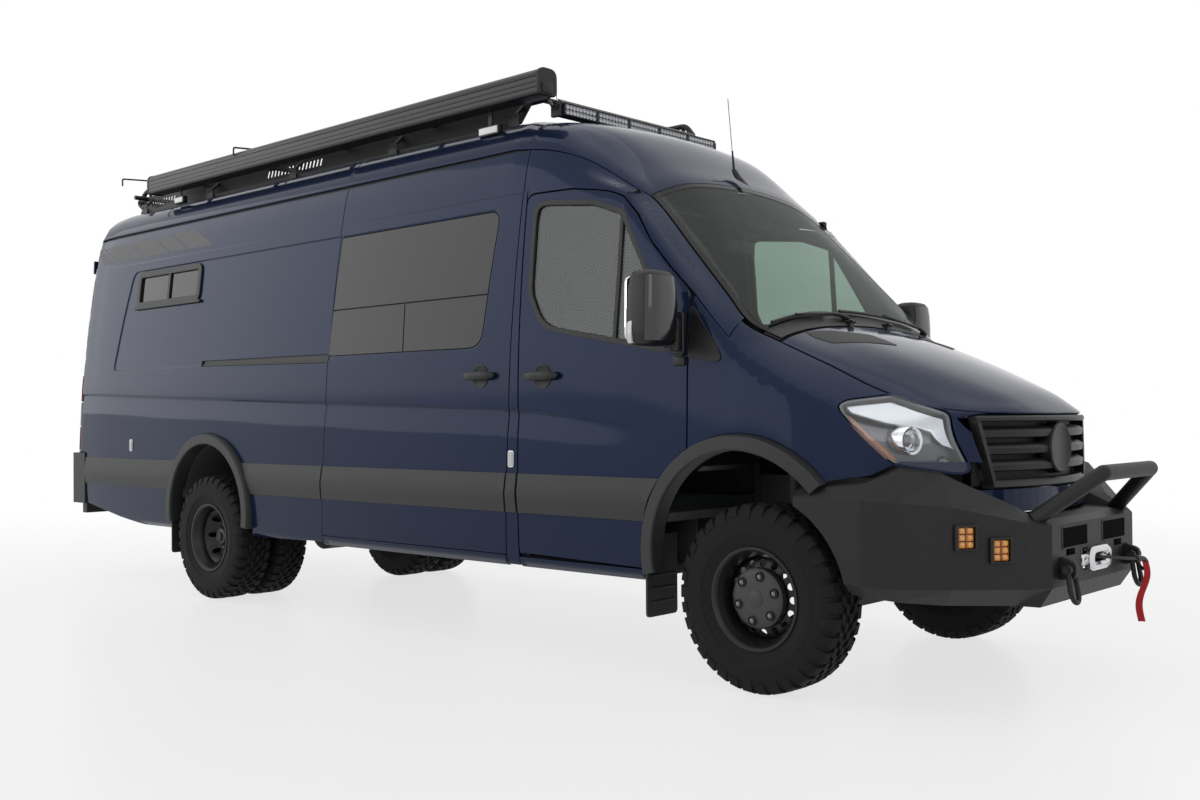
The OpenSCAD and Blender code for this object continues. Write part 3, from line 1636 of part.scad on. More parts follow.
// Rim about the y axis: barrel, disc at out (towards negative y), hub with bore
module rim(x, y, out, nuts) {
  w = tyre_w * rim_w_share;
  r = rim_d / 2 - seam / 4;
  translate([x, y, wheel_z])
    rotate([90, 0, 0])
      difference() {
        union() {
          rotate_extrude()
            polygon([[r - barrel_t, -w / 2], [r, -w / 2], [r, w / 2], [r - barrel_t, w / 2]]);
          translate([0, 0, out - disc_t])
            cylinder(h = disc_t, r = r - barrel_t / 2);
          translate([0, 0, out - hub_len])
            cylinder(h = hub_len, r = hub_r);
          if (nuts)
            for (k = [0:nut_count - 1])
              rotate([0, 0, 360 * k / nut_count])
                translate([nut_ring_r, 0, out])
                  cylinder(h = 2 * nut_r, r = nut_r, $fn = 6);
        }
        translate([0, 0, -far])
          cylinder(h = far + stub_y - front_track_y + run_gap, r = spindle_r + run_gap);
      }
}

// Right front rim
module front_rim_right() {
  color("black")
    framed()
      rim(0, -front_track_y, front_disc_out + disc_t + hub_len / 3, true);
}

// Right front tyre
module front_tyre_right() {
  color("black")
    framed()
      tyre(0, -front_track_y);
}

// Left front rim
module front_rim_left() {
  color("black")
    framed()
      mirror([0, 1, 0])
        rim(0, -front_track_y, front_disc_out + disc_t + hub_len / 3, true);
}

// Left front tyre
module front_tyre_left() {
  color("black")
    framed()
      mirror([0, 1, 0])
        tyre(0, -front_track_y);
}

module twin_rims() {
  outer_y = -rear_track_y - twin_pitch / 2;
  inner_y = -rear_track_y + twin_pitch / 2;
  w = tyre_w * rim_w_share;
  r = rim_d / 2 - seam / 4;
  translate([-wheelbase, -rear_track_y, wheel_z])
    rotate([90, 0, 0])
      difference() {
        union() {
          for (s = [-1, 1])
            translate([0, 0, s * twin_pitch / 2 - w / 2])
              difference() {
                cylinder(h = w, r = r);
                translate([0, 0, -w])
                  cylinder(h = 3 * w, r = r - barrel_t);
              }
          translate([0, 0, -twin_pitch / 2 + w / 2 - disc_t])
            cylinder(h = twin_pitch - w + 2 * disc_t, r = hub_r * twin_hub_share);
          for (s = [-1, 1])
            translate([0, 0, s * (twin_pitch / 2 - w / 2 + disc_t / 2) - disc_t / 2])
              cylinder(h = disc_t, r = r - barrel_t / 2);
          translate([0, 0, twin_pitch / 2 - w / 2])
            cylinder(h = w * twin_cap_share, r = hub_r);
        }
        translate([0, 0, -far])
          cylinder(h = far + rear_stub_y - rear_track_y + run_gap, r = spindle_r + run_gap);
      }
}

// Right rear twin rims on one hub
module rear_rims_right() {
  color("black")
    framed()
      twin_rims();
}

module twin_tyres() {
  for (s = [-1, 1])
    tyre(-wheelbase, -rear_track_y + s * twin_pitch / 2);
}

// Right rear twin tyres
module rear_tyres_right() {
  color("black")
    framed()
      twin_tyres();
}

// Left rear twin rims on one hub
module rear_rims_left() {
  color("black")
    framed()
      mirror([0, 1, 0])
        twin_rims();
}

// Left rear twin tyres
module rear_tyres_left() {
  color("black")
    framed()
      mirror([0, 1, 0])
        twin_tyres();
}

floor();
side_wall_right();
side_wall_left();
roof();
cab_frame();
firewall();
fixed_glass();
fender_right();
fender_left();
front_panel();
grille();
headlights();
lamps();
front_bumper();
winch();
rear_bumper();
sliding_door();
cladding();
roof_rack();
awning();
roof_fittings();
chassis_frame();
front_suspension();
rear_axle();
drivetrain();
dashboard();
seats();
hood();
door_right();
door_right_trim();
door_right_glass();
door_left();
door_left_trim();
door_left_glass();
rear_door_right();
rear_door_right_glass();
rear_door_left();
rear_door_left_glass();
knuckle_right();
knuckle_left();
front_rim_right();
front_tyre_right();
front_rim_left();
front_tyre_left();
rear_rims_right();
rear_tyres_right();
rear_rims_left();
rear_tyres_left();
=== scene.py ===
"""Looks of a high roof camper van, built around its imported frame. Lengths are metres."""
import math

import bpy
import bmesh
import numpy as np
from mathutils import Matrix, Vector
from mathutils.geometry import delaunay_2d_cdt
from mathutils.kdtree import KDTree


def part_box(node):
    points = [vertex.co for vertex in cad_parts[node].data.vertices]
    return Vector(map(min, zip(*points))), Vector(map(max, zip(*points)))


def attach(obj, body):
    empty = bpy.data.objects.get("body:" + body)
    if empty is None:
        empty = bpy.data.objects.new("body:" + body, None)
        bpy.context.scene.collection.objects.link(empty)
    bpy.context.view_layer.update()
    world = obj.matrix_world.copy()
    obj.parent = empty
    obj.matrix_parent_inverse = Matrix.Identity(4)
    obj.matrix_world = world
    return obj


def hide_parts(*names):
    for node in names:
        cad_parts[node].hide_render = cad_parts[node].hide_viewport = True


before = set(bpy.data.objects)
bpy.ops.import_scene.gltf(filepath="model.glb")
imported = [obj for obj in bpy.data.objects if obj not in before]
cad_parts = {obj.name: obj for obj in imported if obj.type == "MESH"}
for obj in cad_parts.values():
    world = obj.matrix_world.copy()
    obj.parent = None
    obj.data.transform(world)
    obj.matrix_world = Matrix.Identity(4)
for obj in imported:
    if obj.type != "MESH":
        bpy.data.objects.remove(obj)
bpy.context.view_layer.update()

# Driving sizes, with x measured forward from the front axle
tyre_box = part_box("front_tyre_right")
AXLE_X = (tyre_box[0][0] + tyre_box[1][0]) / 2
NOSE, CAB, TAIL = 0.930, 1.450, 6.330
HALF_W, ROOF_Z = 0.990, 2.790
LOW_ZS = (0.430, 0.470, 0.700, 0.900)
LOW_Y_SHARES = (0.955, 0.988, 1, 1, 0.994)
REAR_LEAN = 0.130
WHEELBASE = 4.325
GAP = 0.007
ARCH_R, FLARE_W = 0.445, 0.072
FRONT_ARCH, REAR_ARCH = (-0.063, 0.583), (-4.345, 0.567)
SEAM_RAIL = 8.25
RAILS = 11
LAST_RAIL = 2 * RAILS
SIDES = (("right", False), ("left", True))
SIGNS = (("right", -1), ("left", 1))

# Body stations from tail to nose: x as a share of the nose, cab or tail length, then shares of half width
# and roof height in this order:
# x, width, belt z, waist y z, mid y z, drip y z, crease y z, shoulder y z, upper y z, ridge z
STATIONS = (
    (-2.000, 0.945, 0.491, 0.930, 0.541, 0.900, 0.680, 0.860, 0.810, 0.820, 0.875, 0.750, 0.918, 0.570,
     0.945, 0.955),
    (-1.988, 0.975, 0.491, 0.962, 0.541, 0.934, 0.681, 0.892, 0.816, 0.855, 0.889, 0.785, 0.940, 0.590,
     0.970, 0.982),
    (-1.963, 0.990, 0.491, 0.977, 0.541, 0.949, 0.681, 0.907, 0.817, 0.871, 0.896, 0.802, 0.953, 0.600,
     0.985, 0.998),
    (-1.789, 1.000, 0.481, 0.987, 0.541, 0.959, 0.681, 0.917, 0.817, 0.881, 0.896, 0.812, 0.954, 0.609,
     0.987, 1.000),
    (-1.120, 1.000, 0.444, 0.987, 0.541, 0.959, 0.681, 0.917, 0.817, 0.881, 0.896, 0.812, 0.953, 0.609,
     0.985, 0.997),
    (-1.000, 1.000, 0.438, 0.987, 0.541, 0.959, 0.681, 0.917, 0.817, 0.881, 0.893, 0.812, 0.945, 0.609,
     0.973, 0.982),
    (-0.759, 1.000, 0.427, 0.987, 0.538, 0.956, 0.674, 0.910, 0.810, 0.856, 0.866, 0.765, 0.906, 0.558,
     0.940, 0.952),
    (-0.552, 1.000, 0.414, 0.985, 0.534, 0.949, 0.656, 0.898, 0.794, 0.812, 0.810, 0.735, 0.830, 0.457,
     0.857, 0.866),
    (-0.476, 1.000, 0.409, 0.985, 0.530, 0.949, 0.645, 0.912, 0.758, 0.774, 0.779, 0.660, 0.797, 0.406,
     0.821, 0.830),
    (-0.310, 1.000, 0.394, 0.983, 0.523, 0.959, 0.595, 0.934, 0.664, 0.805, 0.688, 0.690, 0.708, 0.426,
     0.731, 0.740),
    (-0.172, 1.000, 0.387, 0.982, 0.513, 0.969, 0.548, 0.952, 0.585, 0.832, 0.612, 0.711, 0.633, 0.437,
     0.656, 0.666),
    (-0.083, 0.998, 0.380, 0.980, 0.495, 0.970, 0.515, 0.939, 0.536, 0.850, 0.564, 0.711, 0.584, 0.437,
     0.609, 0.617),
    (0.000, 0.995, 0.376, 0.979, 0.470, 0.964, 0.488, 0.924, 0.509, 0.797, 0.538, 0.660, 0.554, 0.406,
     0.568, 0.574),
    (0.269, 0.970, 0.358, 0.955, 0.423, 0.940, 0.448, 0.888, 0.466, 0.761, 0.495, 0.629, 0.514, 0.386,
     0.534, 0.541),
    (0.504, 0.892, 0.341, 0.883, 0.387, 0.863, 0.412, 0.812, 0.430, 0.711, 0.455, 0.589, 0.477, 0.366,
     0.502, 0.511),
    (0.731, 0.728, 0.333, 0.725, 0.376, 0.711, 0.394, 0.680, 0.412, 0.630, 0.430, 0.508, 0.448, 0.305,
     0.470, 0.478),
    (0.860, 0.562, 0.330, 0.561, 0.376, 0.553, 0.394, 0.538, 0.409, 0.508, 0.423, 0.406, 0.436, 0.254,
     0.450, 0.455),
    (0.946, 0.375, 0.330, 0.373, 0.376, 0.368, 0.394, 0.355, 0.408, 0.335, 0.420, 0.270, 0.427, 0.160,
     0.431, 0.432),
    (0.995, 0.134, 0.330, 0.133, 0.376, 0.131, 0.392, 0.125, 0.402, 0.115, 0.410, 0.090, 0.412, 0.055,
     0.414, 0.415))
ROWS = len(STATIONS) - 1


def body_net():
    """Control points of the body skin: rows from tail to nose, rails from right sill to left sill."""
    net = np.zeros((ROWS + 1, LAST_RAIL + 1, 3))
    for j, t in enumerate(STATIONS):
        share = t[0]
        x = share * NOSE if share > 0 else share * CAB if share >= -1 else -CAB + (share + 1) * (TAIL - CAB)
        for i in range(RAILS + 1):
            if i < 5:
                y, z = LOW_Y_SHARES[i] * t[1], LOW_ZS[i] if i < 4 else t[2] * ROOF_Z
            elif i < RAILS:
                y, z = t[3 + 2 * (i - 5)], t[4 + 2 * (i - 5)] * ROOF_Z
            else:
                y, z = 0, t[15] * ROOF_Z
            lean = REAR_LEAN * (z - LOW_ZS[3]) / (ROOF_Z - LOW_ZS[3]) if j < 3 else 0
            net[j, i] = x + lean, -y * HALF_W, z
            net[j, LAST_RAIL - i] = x + lean, y * HALF_W, z
    return net


NET = body_net()


def catmull(a, b, c, d, t):
    """Smooth curve through four points."""
    return (2 * b + (c - a) * t + (2 * a - 5 * b + 4 * c - d) * t ** 2 + (3 * b - a - 3 * c + d) * t ** 3) / 2


def body_point(u, s):
    """Points of the body skin at rows u and rails s."""
    j = np.clip(np.floor(u), 0, ROWS - 1).astype(int)
    i = np.clip(np.floor(s), 0, LAST_RAIL - 1).astype(int)

    def rail(row):
        row = np.clip(row, 0, ROWS)
        near, far = np.maximum(i - 1, 0), np.minimum(i + 2, LAST_RAIL)
        return catmull(NET[row, near], NET[row, i], NET[row, i + 1], NET[row, far], (s - i)[:, None])
    return catmull(rail(j - 1), rail(j), rail(j + 1), rail(j + 2), (u - j)[:, None])


def search_tree(points):
    """Tree that finds the nearest of some flat points."""
    tree = KDTree(len(points))
    for k, p in enumerate(points):
        tree.insert((*p, 0), k)
    tree.balance()
    return tree


class View:
    """The skin as a height over a plane, side (x, z) or top (x, y), between some rows and rails."""

    def __init__(self, axes, out, rows, rails):
        self.axes, self.out, self.rows, self.rails = axes, out, rows, rails
        self.up = 3 - sum(axes)
        us, ss = np.meshgrid(np.linspace(*rows, 121), np.linspace(*rails, 91))
        self.grid = np.stack([us.ravel(), ss.ravel()], 1)
        self.tree = search_tree(body_point(*self.grid.T)[:, axes])

    def lift(self, flat):
        """Skin points over flat ones, and the slopes of the height there."""
        us = self.grid[[self.tree.find((*p, 0))[1] for p in flat]]
        step = 1e-3
        for _ in range(12):
            p = body_point(us[:, 0], us[:, 1])
            du = (body_point(us[:, 0] + step, us[:, 1]) - p) / step
            ds = (body_point(us[:, 0], us[:, 1] + step) - p) / step
            a, b = self.axes
            miss = flat - p[:, self.axes]
            det = du[:, a] * ds[:, b] - du[:, b] * ds[:, a]
            det = np.where(np.abs(det) < 1e-9, 1e-9, det)
            move = np.stack([(miss[:, 0] * ds[:, b] - miss[:, 1] * ds[:, a]) / det,
                             (miss[:, 1] * du[:, a] - miss[:, 0] * du[:, b]) / det], 1)
            us = us + np.clip(move, -0.4, 0.4)
            us[:, 0] = np.clip(us[:, 0], max(self.rows[0] - 0.5, 0), min(self.rows[1] + 0.5, ROWS))
            us[:, 1] = np.clip(us[:, 1], max(self.rails[0] - 0.5, 0), min(self.rails[1] + 0.5, LAST_RAIL))
        normal = np.cross(du, ds)
        height = p[:, self.up]
        slope = -normal[:, self.axes] / normal[:, [self.up]]
        return height, slope


SIDE = View([0, 2], -1, (0, 17.5), (0, 10))
TOP = View([0, 1], 1, (0, 18), (7, 15))


def resample(loop, cell):
    """Closed outline with no stretch longer than a cell."""
    loop = np.asarray(loop, float)
    out = []
    for a, b in zip(loop, np.roll(loop, -1, 0)):
        n = max(1, math.ceil(np.linalg.norm(b - a) / cell))
        out += [a + (b - a) * k / n for k in range(n)]
    return np.array(out)


def area(loop):
    """Signed area of a closed outline."""
    x, y = np.asarray(loop).T
    return (x * np.roll(y, -1) - y * np.roll(x, -1)).sum() / 2


def inset(loop, d):
    """Closed outline moved to its left by d."""
    before, after = np.roll(loop, 1, 0), np.roll(loop, -1, 0)

    def left(v):
        v = v / np.maximum(np.linalg.norm(v, axis=1, keepdims=True), 1e-9)
        return np.stack([-v[:, 1], v[:, 0]], 1)
    a, b = left(loop - before), left(after - loop)
    mid = a + b
    return loop + mid * d / np.maximum((mid * mid).sum(1, keepdims=True) / 2, 0.35)


def rounded(points, radius, steps=6):
    """Outline with its corners rounded, by one radius or one for each corner."""
    points = [np.asarray(p, float) for p in points]
    out = []
    for k, p in enumerate(points):
        r = radius[k] if hasattr(radius, "__len__") else radius
        a, b = points[k - 1] - p, points[(k + 1) % len(points)] - p
        la, lb = np.linalg.norm(a), np.linalg.norm(b)
        a, b = a / la, b / lb
        half = math.acos(np.clip(a @ b, -1, 1)) / 2
        cut = min(r / math.tan(half), la * 0.49, lb * 0.49) if r > 0 else 0
        if cut < 1e-5:
            out.append(p)
            continue
        for q in np.linspace(0, 1, steps):
            out.append((1 - q) ** 2 * (p + a * cut) + 2 * q * (1 - q) * p + q * q * (p + b * cut))
    return np.array(out)


def arc(centre, r, a0, a1, steps=24):
    """Points on a circle between two angles in degrees."""
    t = np.radians(np.linspace(a0, a1, steps))
    return np.stack([centre[0] + r * np.cos(t), centre[1] + r * np.sin(t)], 1)


def inside(points, loops):
    """Whether points lie inside an odd number of outlines."""
    odd = np.zeros(len(points), bool)
    for loop in loops:
        a, b = loop, np.roll(loop, -1, 0)
        for p, q in zip(a, b):
            cross = (p[1] > points[:, 1]) != (q[1] > points[:, 1])
            at = p[0] + (points[:, 1] - p[1]) / (q[1] - p[1] + 1e-15) * (q[0] - p[0])
            odd ^= cross & (points[:, 0] < at)
    return odd


def ordered(loop):
    """Outline turned counterclockwise."""
    return loop if area(loop) > 0 else loop[::-1]


def oriented(loops):
    """First outline counterclockwise and its holes clockwise."""
    return [lp if (area(lp) > 0) == (k == 0) else lp[::-1] for k, lp in enumerate(loops)]


def rectangle(low, high, radius=0, steps=6):
    """Outline of a rectangle with rounded corners, from its lower left one."""
    return rounded([low, (high[0], low[1]), high, (low[0], high[1])], radius, steps)


def fill(loops, extra=(), merge=1e-7):
    """Flat mesh inside outlines and through extra points, with the number that each outline point got."""
    flat = np.concatenate(loops + ([np.array(extra)] if len(extra) else []))
    edges, start = [], 0
    for lp in loops:
        n = len(lp)
        edges += [(start + k, start + (k + 1) % n) for k in range(n)]
        start += n
    out = delaunay_2d_cdt([Vector(p) for p in flat], edges, [], 1, merge)
    flat = np.array([tuple(v) for v in out[0]])
    tris = np.array([f for f in out[2] if len(f) == 3])
    origin = {k: n for n, ks in enumerate(out[3]) for k in ks}
    return flat, tris[inside(flat[tris].mean(1), loops)], origin


def area_sign(flat, tris):
    """Turn of each triangle of a flat mesh."""
    a, b, c = flat[tris[:, 0]], flat[tris[:, 1]], flat[tris[:, 2]]
    return (b[:, 0] - a[:, 0]) * (c[:, 1] - a[:, 1]) - (b[:, 1] - a[:, 1]) * (c[:, 0] - a[:, 0])


def new_object(name, verts, faces, materials, normals=None, slots=None, smooth=True):
    """Mesh object from arrays, with normals at its corners if given."""
    mesh = bpy.data.meshes.new(name)
    mesh.from_pydata([tuple(v) for v in verts], [], [tuple(f) for f in faces])
    for m in materials:
        mesh.materials.append(m)
    if slots is not None:
        mesh.polygons.foreach_set("material_index", np.asarray(slots, np.int32))
    mesh.polygons.foreach_set("use_smooth", np.full(len(mesh.polygons), smooth))
    mesh.update()
    if normals is not None:
        mesh.normals_split_custom_set_from_vertices([tuple(n) for n in normals])
    obj = bpy.data.objects.new(name, mesh)
    bpy.context.collection.objects.link(obj)
    return obj


def panel(name, view, loops, materials, body, height=None, cell=0.045, thick=0.022, edge=0.0025, lines=(),
          left=False, node=None, proud=0.0):
    """Sheet of the body skin inside an outline with holes, with rounded edges and a lining."""
    loops = oriented([resample(lp, cell * 0.6) for lp in loops])
    inner = [inset(lp, edge) for lp in loops]
    lo, hi = loops[0].min(0), loops[0].max(0)
    gx, gy = np.meshgrid(np.arange(lo[0], hi[0], cell), np.arange(lo[1], hi[1], cell))
    gx = gx + (np.arange(gx.shape[0]) % 2)[:, None] * cell / 2
    extra = [np.stack([gx.ravel(), gy.ravel()], 1)] + [np.asarray(ln, float) for ln in lines]
    keep = []
    guard = search_tree(np.concatenate(inner))
    line_tree = search_tree(np.concatenate(extra[1:])) if lines else None
    for group, pts in enumerate(extra):
        ok = inside(pts, inner)
        room = cell * (0.45 if group == 0 else 0.2)
        for p in pts[ok]:
            if guard.find((*p, 0))[2] < room:
                continue
            if group == 0 and line_tree and line_tree.find((*p, 0))[2] < cell * 0.4:
                continue
            keep.append(p)
    flat, tris = fill(inner, keep)[:2]
    turn = area_sign(flat, tris)
    tris[turn < 0] = tris[turn < 0][:, ::-1]

    def surface(points):
        h, slope = view.lift(points)
        if height is not None:
            step = 5e-4
            rise = [height(points + d) - height(points - d) for d in step * np.eye(2)]
            h = h + view.out * height(points)
            slope = slope + view.out * np.stack(rise, 1) / (2 * step)
        p = np.zeros((len(points), 3))
        p[:, view.axes] = points
        p[:, view.up] = h
        n = np.zeros_like(p)
        n[:, view.axes] = -slope * view.out
        n[:, view.up] = view.out
        n /= np.linalg.norm(n, axis=1, keepdims=True)
        return p + proud * n, n
    top, normal = surface(flat)
    count = len(flat)
    verts, normals = [top, top - thick * normal], [normal, -normal]
    faces = list(tris) + [t[::-1] + count for t in tris]
    slots = [0] * len(tris) + [1] * len(tris)
    lookup = search_tree(flat)
    base = 2 * count
    for lp, ring in zip(loops, inner):
        ids = [lookup.find((*p, 0))[1] for p in ring]
        n = len(ids)
        p, nn = surface(lp)
        ring_p = top[ids]
        away = p - ring_p
        away -= (away * nn).sum(1, keepdims=True) * nn
        away /= np.maximum(np.linalg.norm(away, axis=1, keepdims=True), 1e-9)
        bend = [(p - away * edge * 0.3 - nn * edge * 0.3, (away + nn) / math.sqrt(2)),
                (p - nn * edge, away),
                (p - nn * (thick - edge), away)]
        chain = [np.array(ids)]
        for bp, bn in bend:
            verts.append(bp)
            normals.append(bn)
            chain.append(base + np.arange(n))
            base += n
        chain.append(np.array(ids) + count)
        for a, b in zip(chain, chain[1:]):
            for k in range(n):
                m = (k + 1) % n
                faces.append((a[m], a[k], b[k], b[m]))
                slots.append(0)
    verts, normals = np.concatenate(verts), np.concatenate(normals)
    flip = view.out * (-1 if view.axes == [0, 2] else 1) < 0
    if left:
        verts[:, 1] *= -1
        normals[:, 1] *= -1
        flip = not flip
    if flip:
        faces = [tuple(f)[::-1] for f in faces]
    verts[:, 0] += AXLE_X
    obj = new_object(name, verts, faces, materials, normals, slots)
    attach(obj, body)
    if node:
        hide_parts(node)
    return obj


# Materials
def shader(name):
    """New node material: its tree, its surface shader and object coordinates."""
    mat = bpy.data.materials.new(name)
    mat.use_nodes = True
    tree = mat.node_tree
    bsdf = tree.nodes["Principled BSDF"]
    coords = tree.nodes.new("ShaderNodeTexCoord").outputs["Object"]
    return mat, tree, bsdf, coords


def noise(tree, coords, scale, detail=3.0, stretch=None):
    """Noise value over object coordinates, stretched along an axis if asked."""
    node = tree.nodes.new("ShaderNodeTexNoise")
    node.inputs["Scale"].default_value = scale
    node.inputs["Detail"].default_value = detail
    if stretch:
        mapping = tree.nodes.new("ShaderNodeMapping")
        mapping.inputs["Scale"].default_value = stretch
        tree.links.new(coords, mapping.inputs["Vector"])
        coords = mapping.outputs["Vector"]
    tree.links.new(coords, node.inputs["Vector"])
    return node.outputs["Fac"]


def between(tree, fac, low, high):
    """A number that runs from low to high with a factor."""
    node = tree.nodes.new("ShaderNodeMapRange")
    tree.links.new(fac, node.inputs["Value"])
    node.inputs["To Min"].default_value = low
    node.inputs["To Max"].default_value = high
    return node.outputs["Result"]


def blend_colors(tree, fac, low, high):
    """A colour between two by a factor."""
    node = tree.nodes.new("ShaderNodeMix")
    node.data_type = "RGBA"
    tree.links.new(fac, node.inputs["Factor"])
    node.inputs["A"].default_value = (*low, 1)
    node.inputs["B"].default_value = (*high, 1)
    return node.outputs["Result"]


def add_bump(tree, bsdf, fac, strength, distance):
    """Bump from a factor on the surface shader."""
    node = tree.nodes.new("ShaderNodeBump")
    node.inputs["Strength"].default_value = strength
    node.inputs["Distance"].default_value = distance
    tree.links.new(fac, node.inputs["Height"])
    tree.links.new(node.outputs["Normal"], bsdf.inputs["Normal"])


def solid_material(name, color, rough, metal=0.0, spread=0.12, scale=9.0, grain=0.0, grain_scale=900.0,
                   coat=0.0, specular=0.5, stretch=None):
    """Opaque finish with drifting colour and gloss, and a fine grain."""
    mat, tree, bsdf, coords = shader(name)
    drift = noise(tree, coords, scale, stretch=stretch)
    low, high = [[c * (1 + k * spread) for c in color] for k in (-1, 1)]
    tree.links.new(blend_colors(tree, drift, low, high), bsdf.inputs["Base Color"])
    speck = noise(tree, coords, scale * 7, stretch=stretch)
    tree.links.new(between(tree, speck, rough * 0.85, min(1, rough * 1.15)), bsdf.inputs["Roughness"])
    bsdf.inputs["Metallic"].default_value = metal
    bsdf.inputs["Specular IOR Level"].default_value = specular
    bsdf.inputs["Coat Weight"].default_value = coat
    bsdf.inputs["Coat Roughness"].default_value = 0.04
    if grain:
        add_bump(tree, bsdf, noise(tree, coords, grain_scale, 2), grain, 0.0006)
    return mat


def paint_material(name, color, flake_color):
    """Metallic lacquer: dark base, fine flakes, faint orange peel under a clear coat."""
    mat, tree, bsdf, coords = shader(name)
    flakes = tree.nodes.new("ShaderNodeTexVoronoi")
    flakes.inputs["Scale"].default_value = 1800
    tree.links.new(coords, flakes.inputs["Vector"])
    split = tree.nodes.new("ShaderNodeSeparateColor")
    tree.links.new(flakes.outputs["Color"], split.inputs["Color"])
    tree.links.new(blend_colors(tree, split.outputs["Red"], color, flake_color), bsdf.inputs["Base Color"])
    tree.links.new(between(tree, noise(tree, coords, 1.5), 0.36, 0.42), bsdf.inputs["Roughness"])
    bsdf.inputs["Metallic"].default_value = 0.35
    bsdf.inputs["Specular IOR Level"].default_value = 0.0
    bsdf.inputs["Coat Weight"].default_value = 1.0
    bsdf.inputs["Coat Roughness"].default_value = 0.06
    bsdf.inputs["Coat IOR"].default_value = 1.22
    add_bump(tree, bsdf, noise(tree, coords, 260, 1), 0.02, 0.0003)
    return mat


PAINT = paint_material("navy_paint", (0.0066, 0.0131, 0.038), (0.0135, 0.0240, 0.065))
TRIM = solid_material("charcoal_trim", (0.020, 0.0205, 0.022), 0.5, grain=0.25, grain_scale=1400,
                      specular=0.4)
BLACK = solid_material("black_plastic", (0.008, 0.008, 0.0085), 0.45, grain=0.2, specular=0.35)
RUBBER = solid_material("rubber_seal", (0.009, 0.009, 0.009), 0.62, spread=0.2)
LINING = solid_material("grey_lining", (0.055, 0.055, 0.058), 0.8, grain=0.3, grain_scale=500)
POWDER = solid_material("powder_coat", (0.011, 0.011, 0.0115), 0.5, grain=0.5, grain_scale=1100,
                        specular=0.3)
STEEL = solid_material("steel", (0.45, 0.45, 0.46), 0.3, metal=1.0, spread=0.06, scale=20)
DARK_STEEL = solid_material("underbody_steel", (0.035, 0.034, 0.033), 0.6, metal=0.4, spread=0.35, scale=14,
                            grain=0.3)
TYRE = solid_material("tyre_rubber", (0.0085, 0.0085, 0.0083), 0.75, spread=0.3, scale=25, grain=0.35,
                      grain_scale=700, specular=0.2)
RIM = solid_material("black_rim", (0.007, 0.007, 0.0075), 0.4, spread=0.2, scale=18, specular=0.35)
PRIVACY = solid_material("privacy_glass", (0.008, 0.0085, 0.009), 0.03, spread=0.3, scale=1.2,
                         specular=0.35)
FRIT = solid_material("screen_frit", (0.006, 0.006, 0.0065), 0.10, specular=0.18)


HUB = solid_material("grey_hub", (0.030, 0.031, 0.033), 0.5, spread=0.2, scale=18, grain=0.3)
NUT = solid_material("worn_nut", (0.16, 0.16, 0.165), 0.4, metal=0.7, spread=0.3, scale=30)
CHROME = solid_material("chrome", (0.78, 0.78, 0.80), 0.08, metal=1.0, spread=0.04, scale=30)
SILVER = solid_material("silver_reflector", (0.72, 0.73, 0.75), 0.22, metal=0.9, spread=0.08, scale=60,
                        stretch=(1, 1, 6))
POLISHED = solid_material("polished_alloy", (0.62, 0.62, 0.64), 0.18, metal=1.0, spread=0.06, scale=40)
BOWL = solid_material("lamp_bowl", (0.14, 0.145, 0.155), 0.3, metal=0.3, spread=0.2, scale=20)
AMBER = solid_material("amber_lens", (0.62, 0.17, 0.012), 0.18, spread=0.25, scale=90, coat=0.6)
AMBER_GLOW = solid_material("amber_cell", (0.85, 0.36, 0.03), 0.12, spread=0.3, scale=160, coat=1.0)
ROPE = solid_material("grey_rope", (0.05, 0.05, 0.052), 0.8, spread=0.5, scale=160, grain=0.6,
                      grain_scale=500)
WEBBING = solid_material("red_webbing", (0.42, 0.008, 0.014), 0.75, spread=0.3, scale=240, grain=0.5,
                         grain_scale=900)
MESH = solid_material("black_mesh", (0.006, 0.006, 0.0062), 0.6, spread=0.7, scale=420, grain=0.8,
                      grain_scale=420)
LENS_DARK = solid_material("projector_lens", (0.03, 0.032, 0.036), 0.05, spread=0.3, scale=20, coat=1.0)


def pane_material(name, tint, share, gloss):
    """Thin tinted pane: a share of the light meets its gloss and the rest goes straight through."""
    mat, tree, bsdf, coords = shader(name)
    drift = noise(tree, coords, 2.0)
    tree.links.new(blend_colors(tree, drift, [gloss * 0.96] * 3, [gloss * 1.04] * 3),
                   bsdf.inputs["Base Color"])
    tree.links.new(between(tree, drift, 0.01, 0.03), bsdf.inputs["Roughness"])
    bsdf.inputs["Metallic"].default_value = 1.0
    clear = tree.nodes.new("ShaderNodeBsdfTransparent")
    tree.links.new(blend_colors(tree, drift, [c * 0.96 for c in tint], [c * 1.04 for c in tint]),
                   clear.inputs["Color"])
    mix = tree.nodes.new("ShaderNodeMixShader")
    mix.inputs["Fac"].default_value = share
    tree.links.new(clear.outputs[0], mix.inputs[1])
    tree.links.new(bsdf.outputs[0], mix.inputs[2])
    tree.links.new(mix.outputs[0], tree.nodes["Material Output"].inputs["Surface"])
    return mat


SCREEN = pane_material("screen_glass", (0.80, 0.895, 0.85), 0.22, 0.13)
DOOR_GLASS = pane_material("door_glass", (0.81, 0.885, 0.85), 0.25, 0.18)
LENS = pane_material("lamp_lens", (0.97, 0.98, 0.99), 0.08, 0.40)


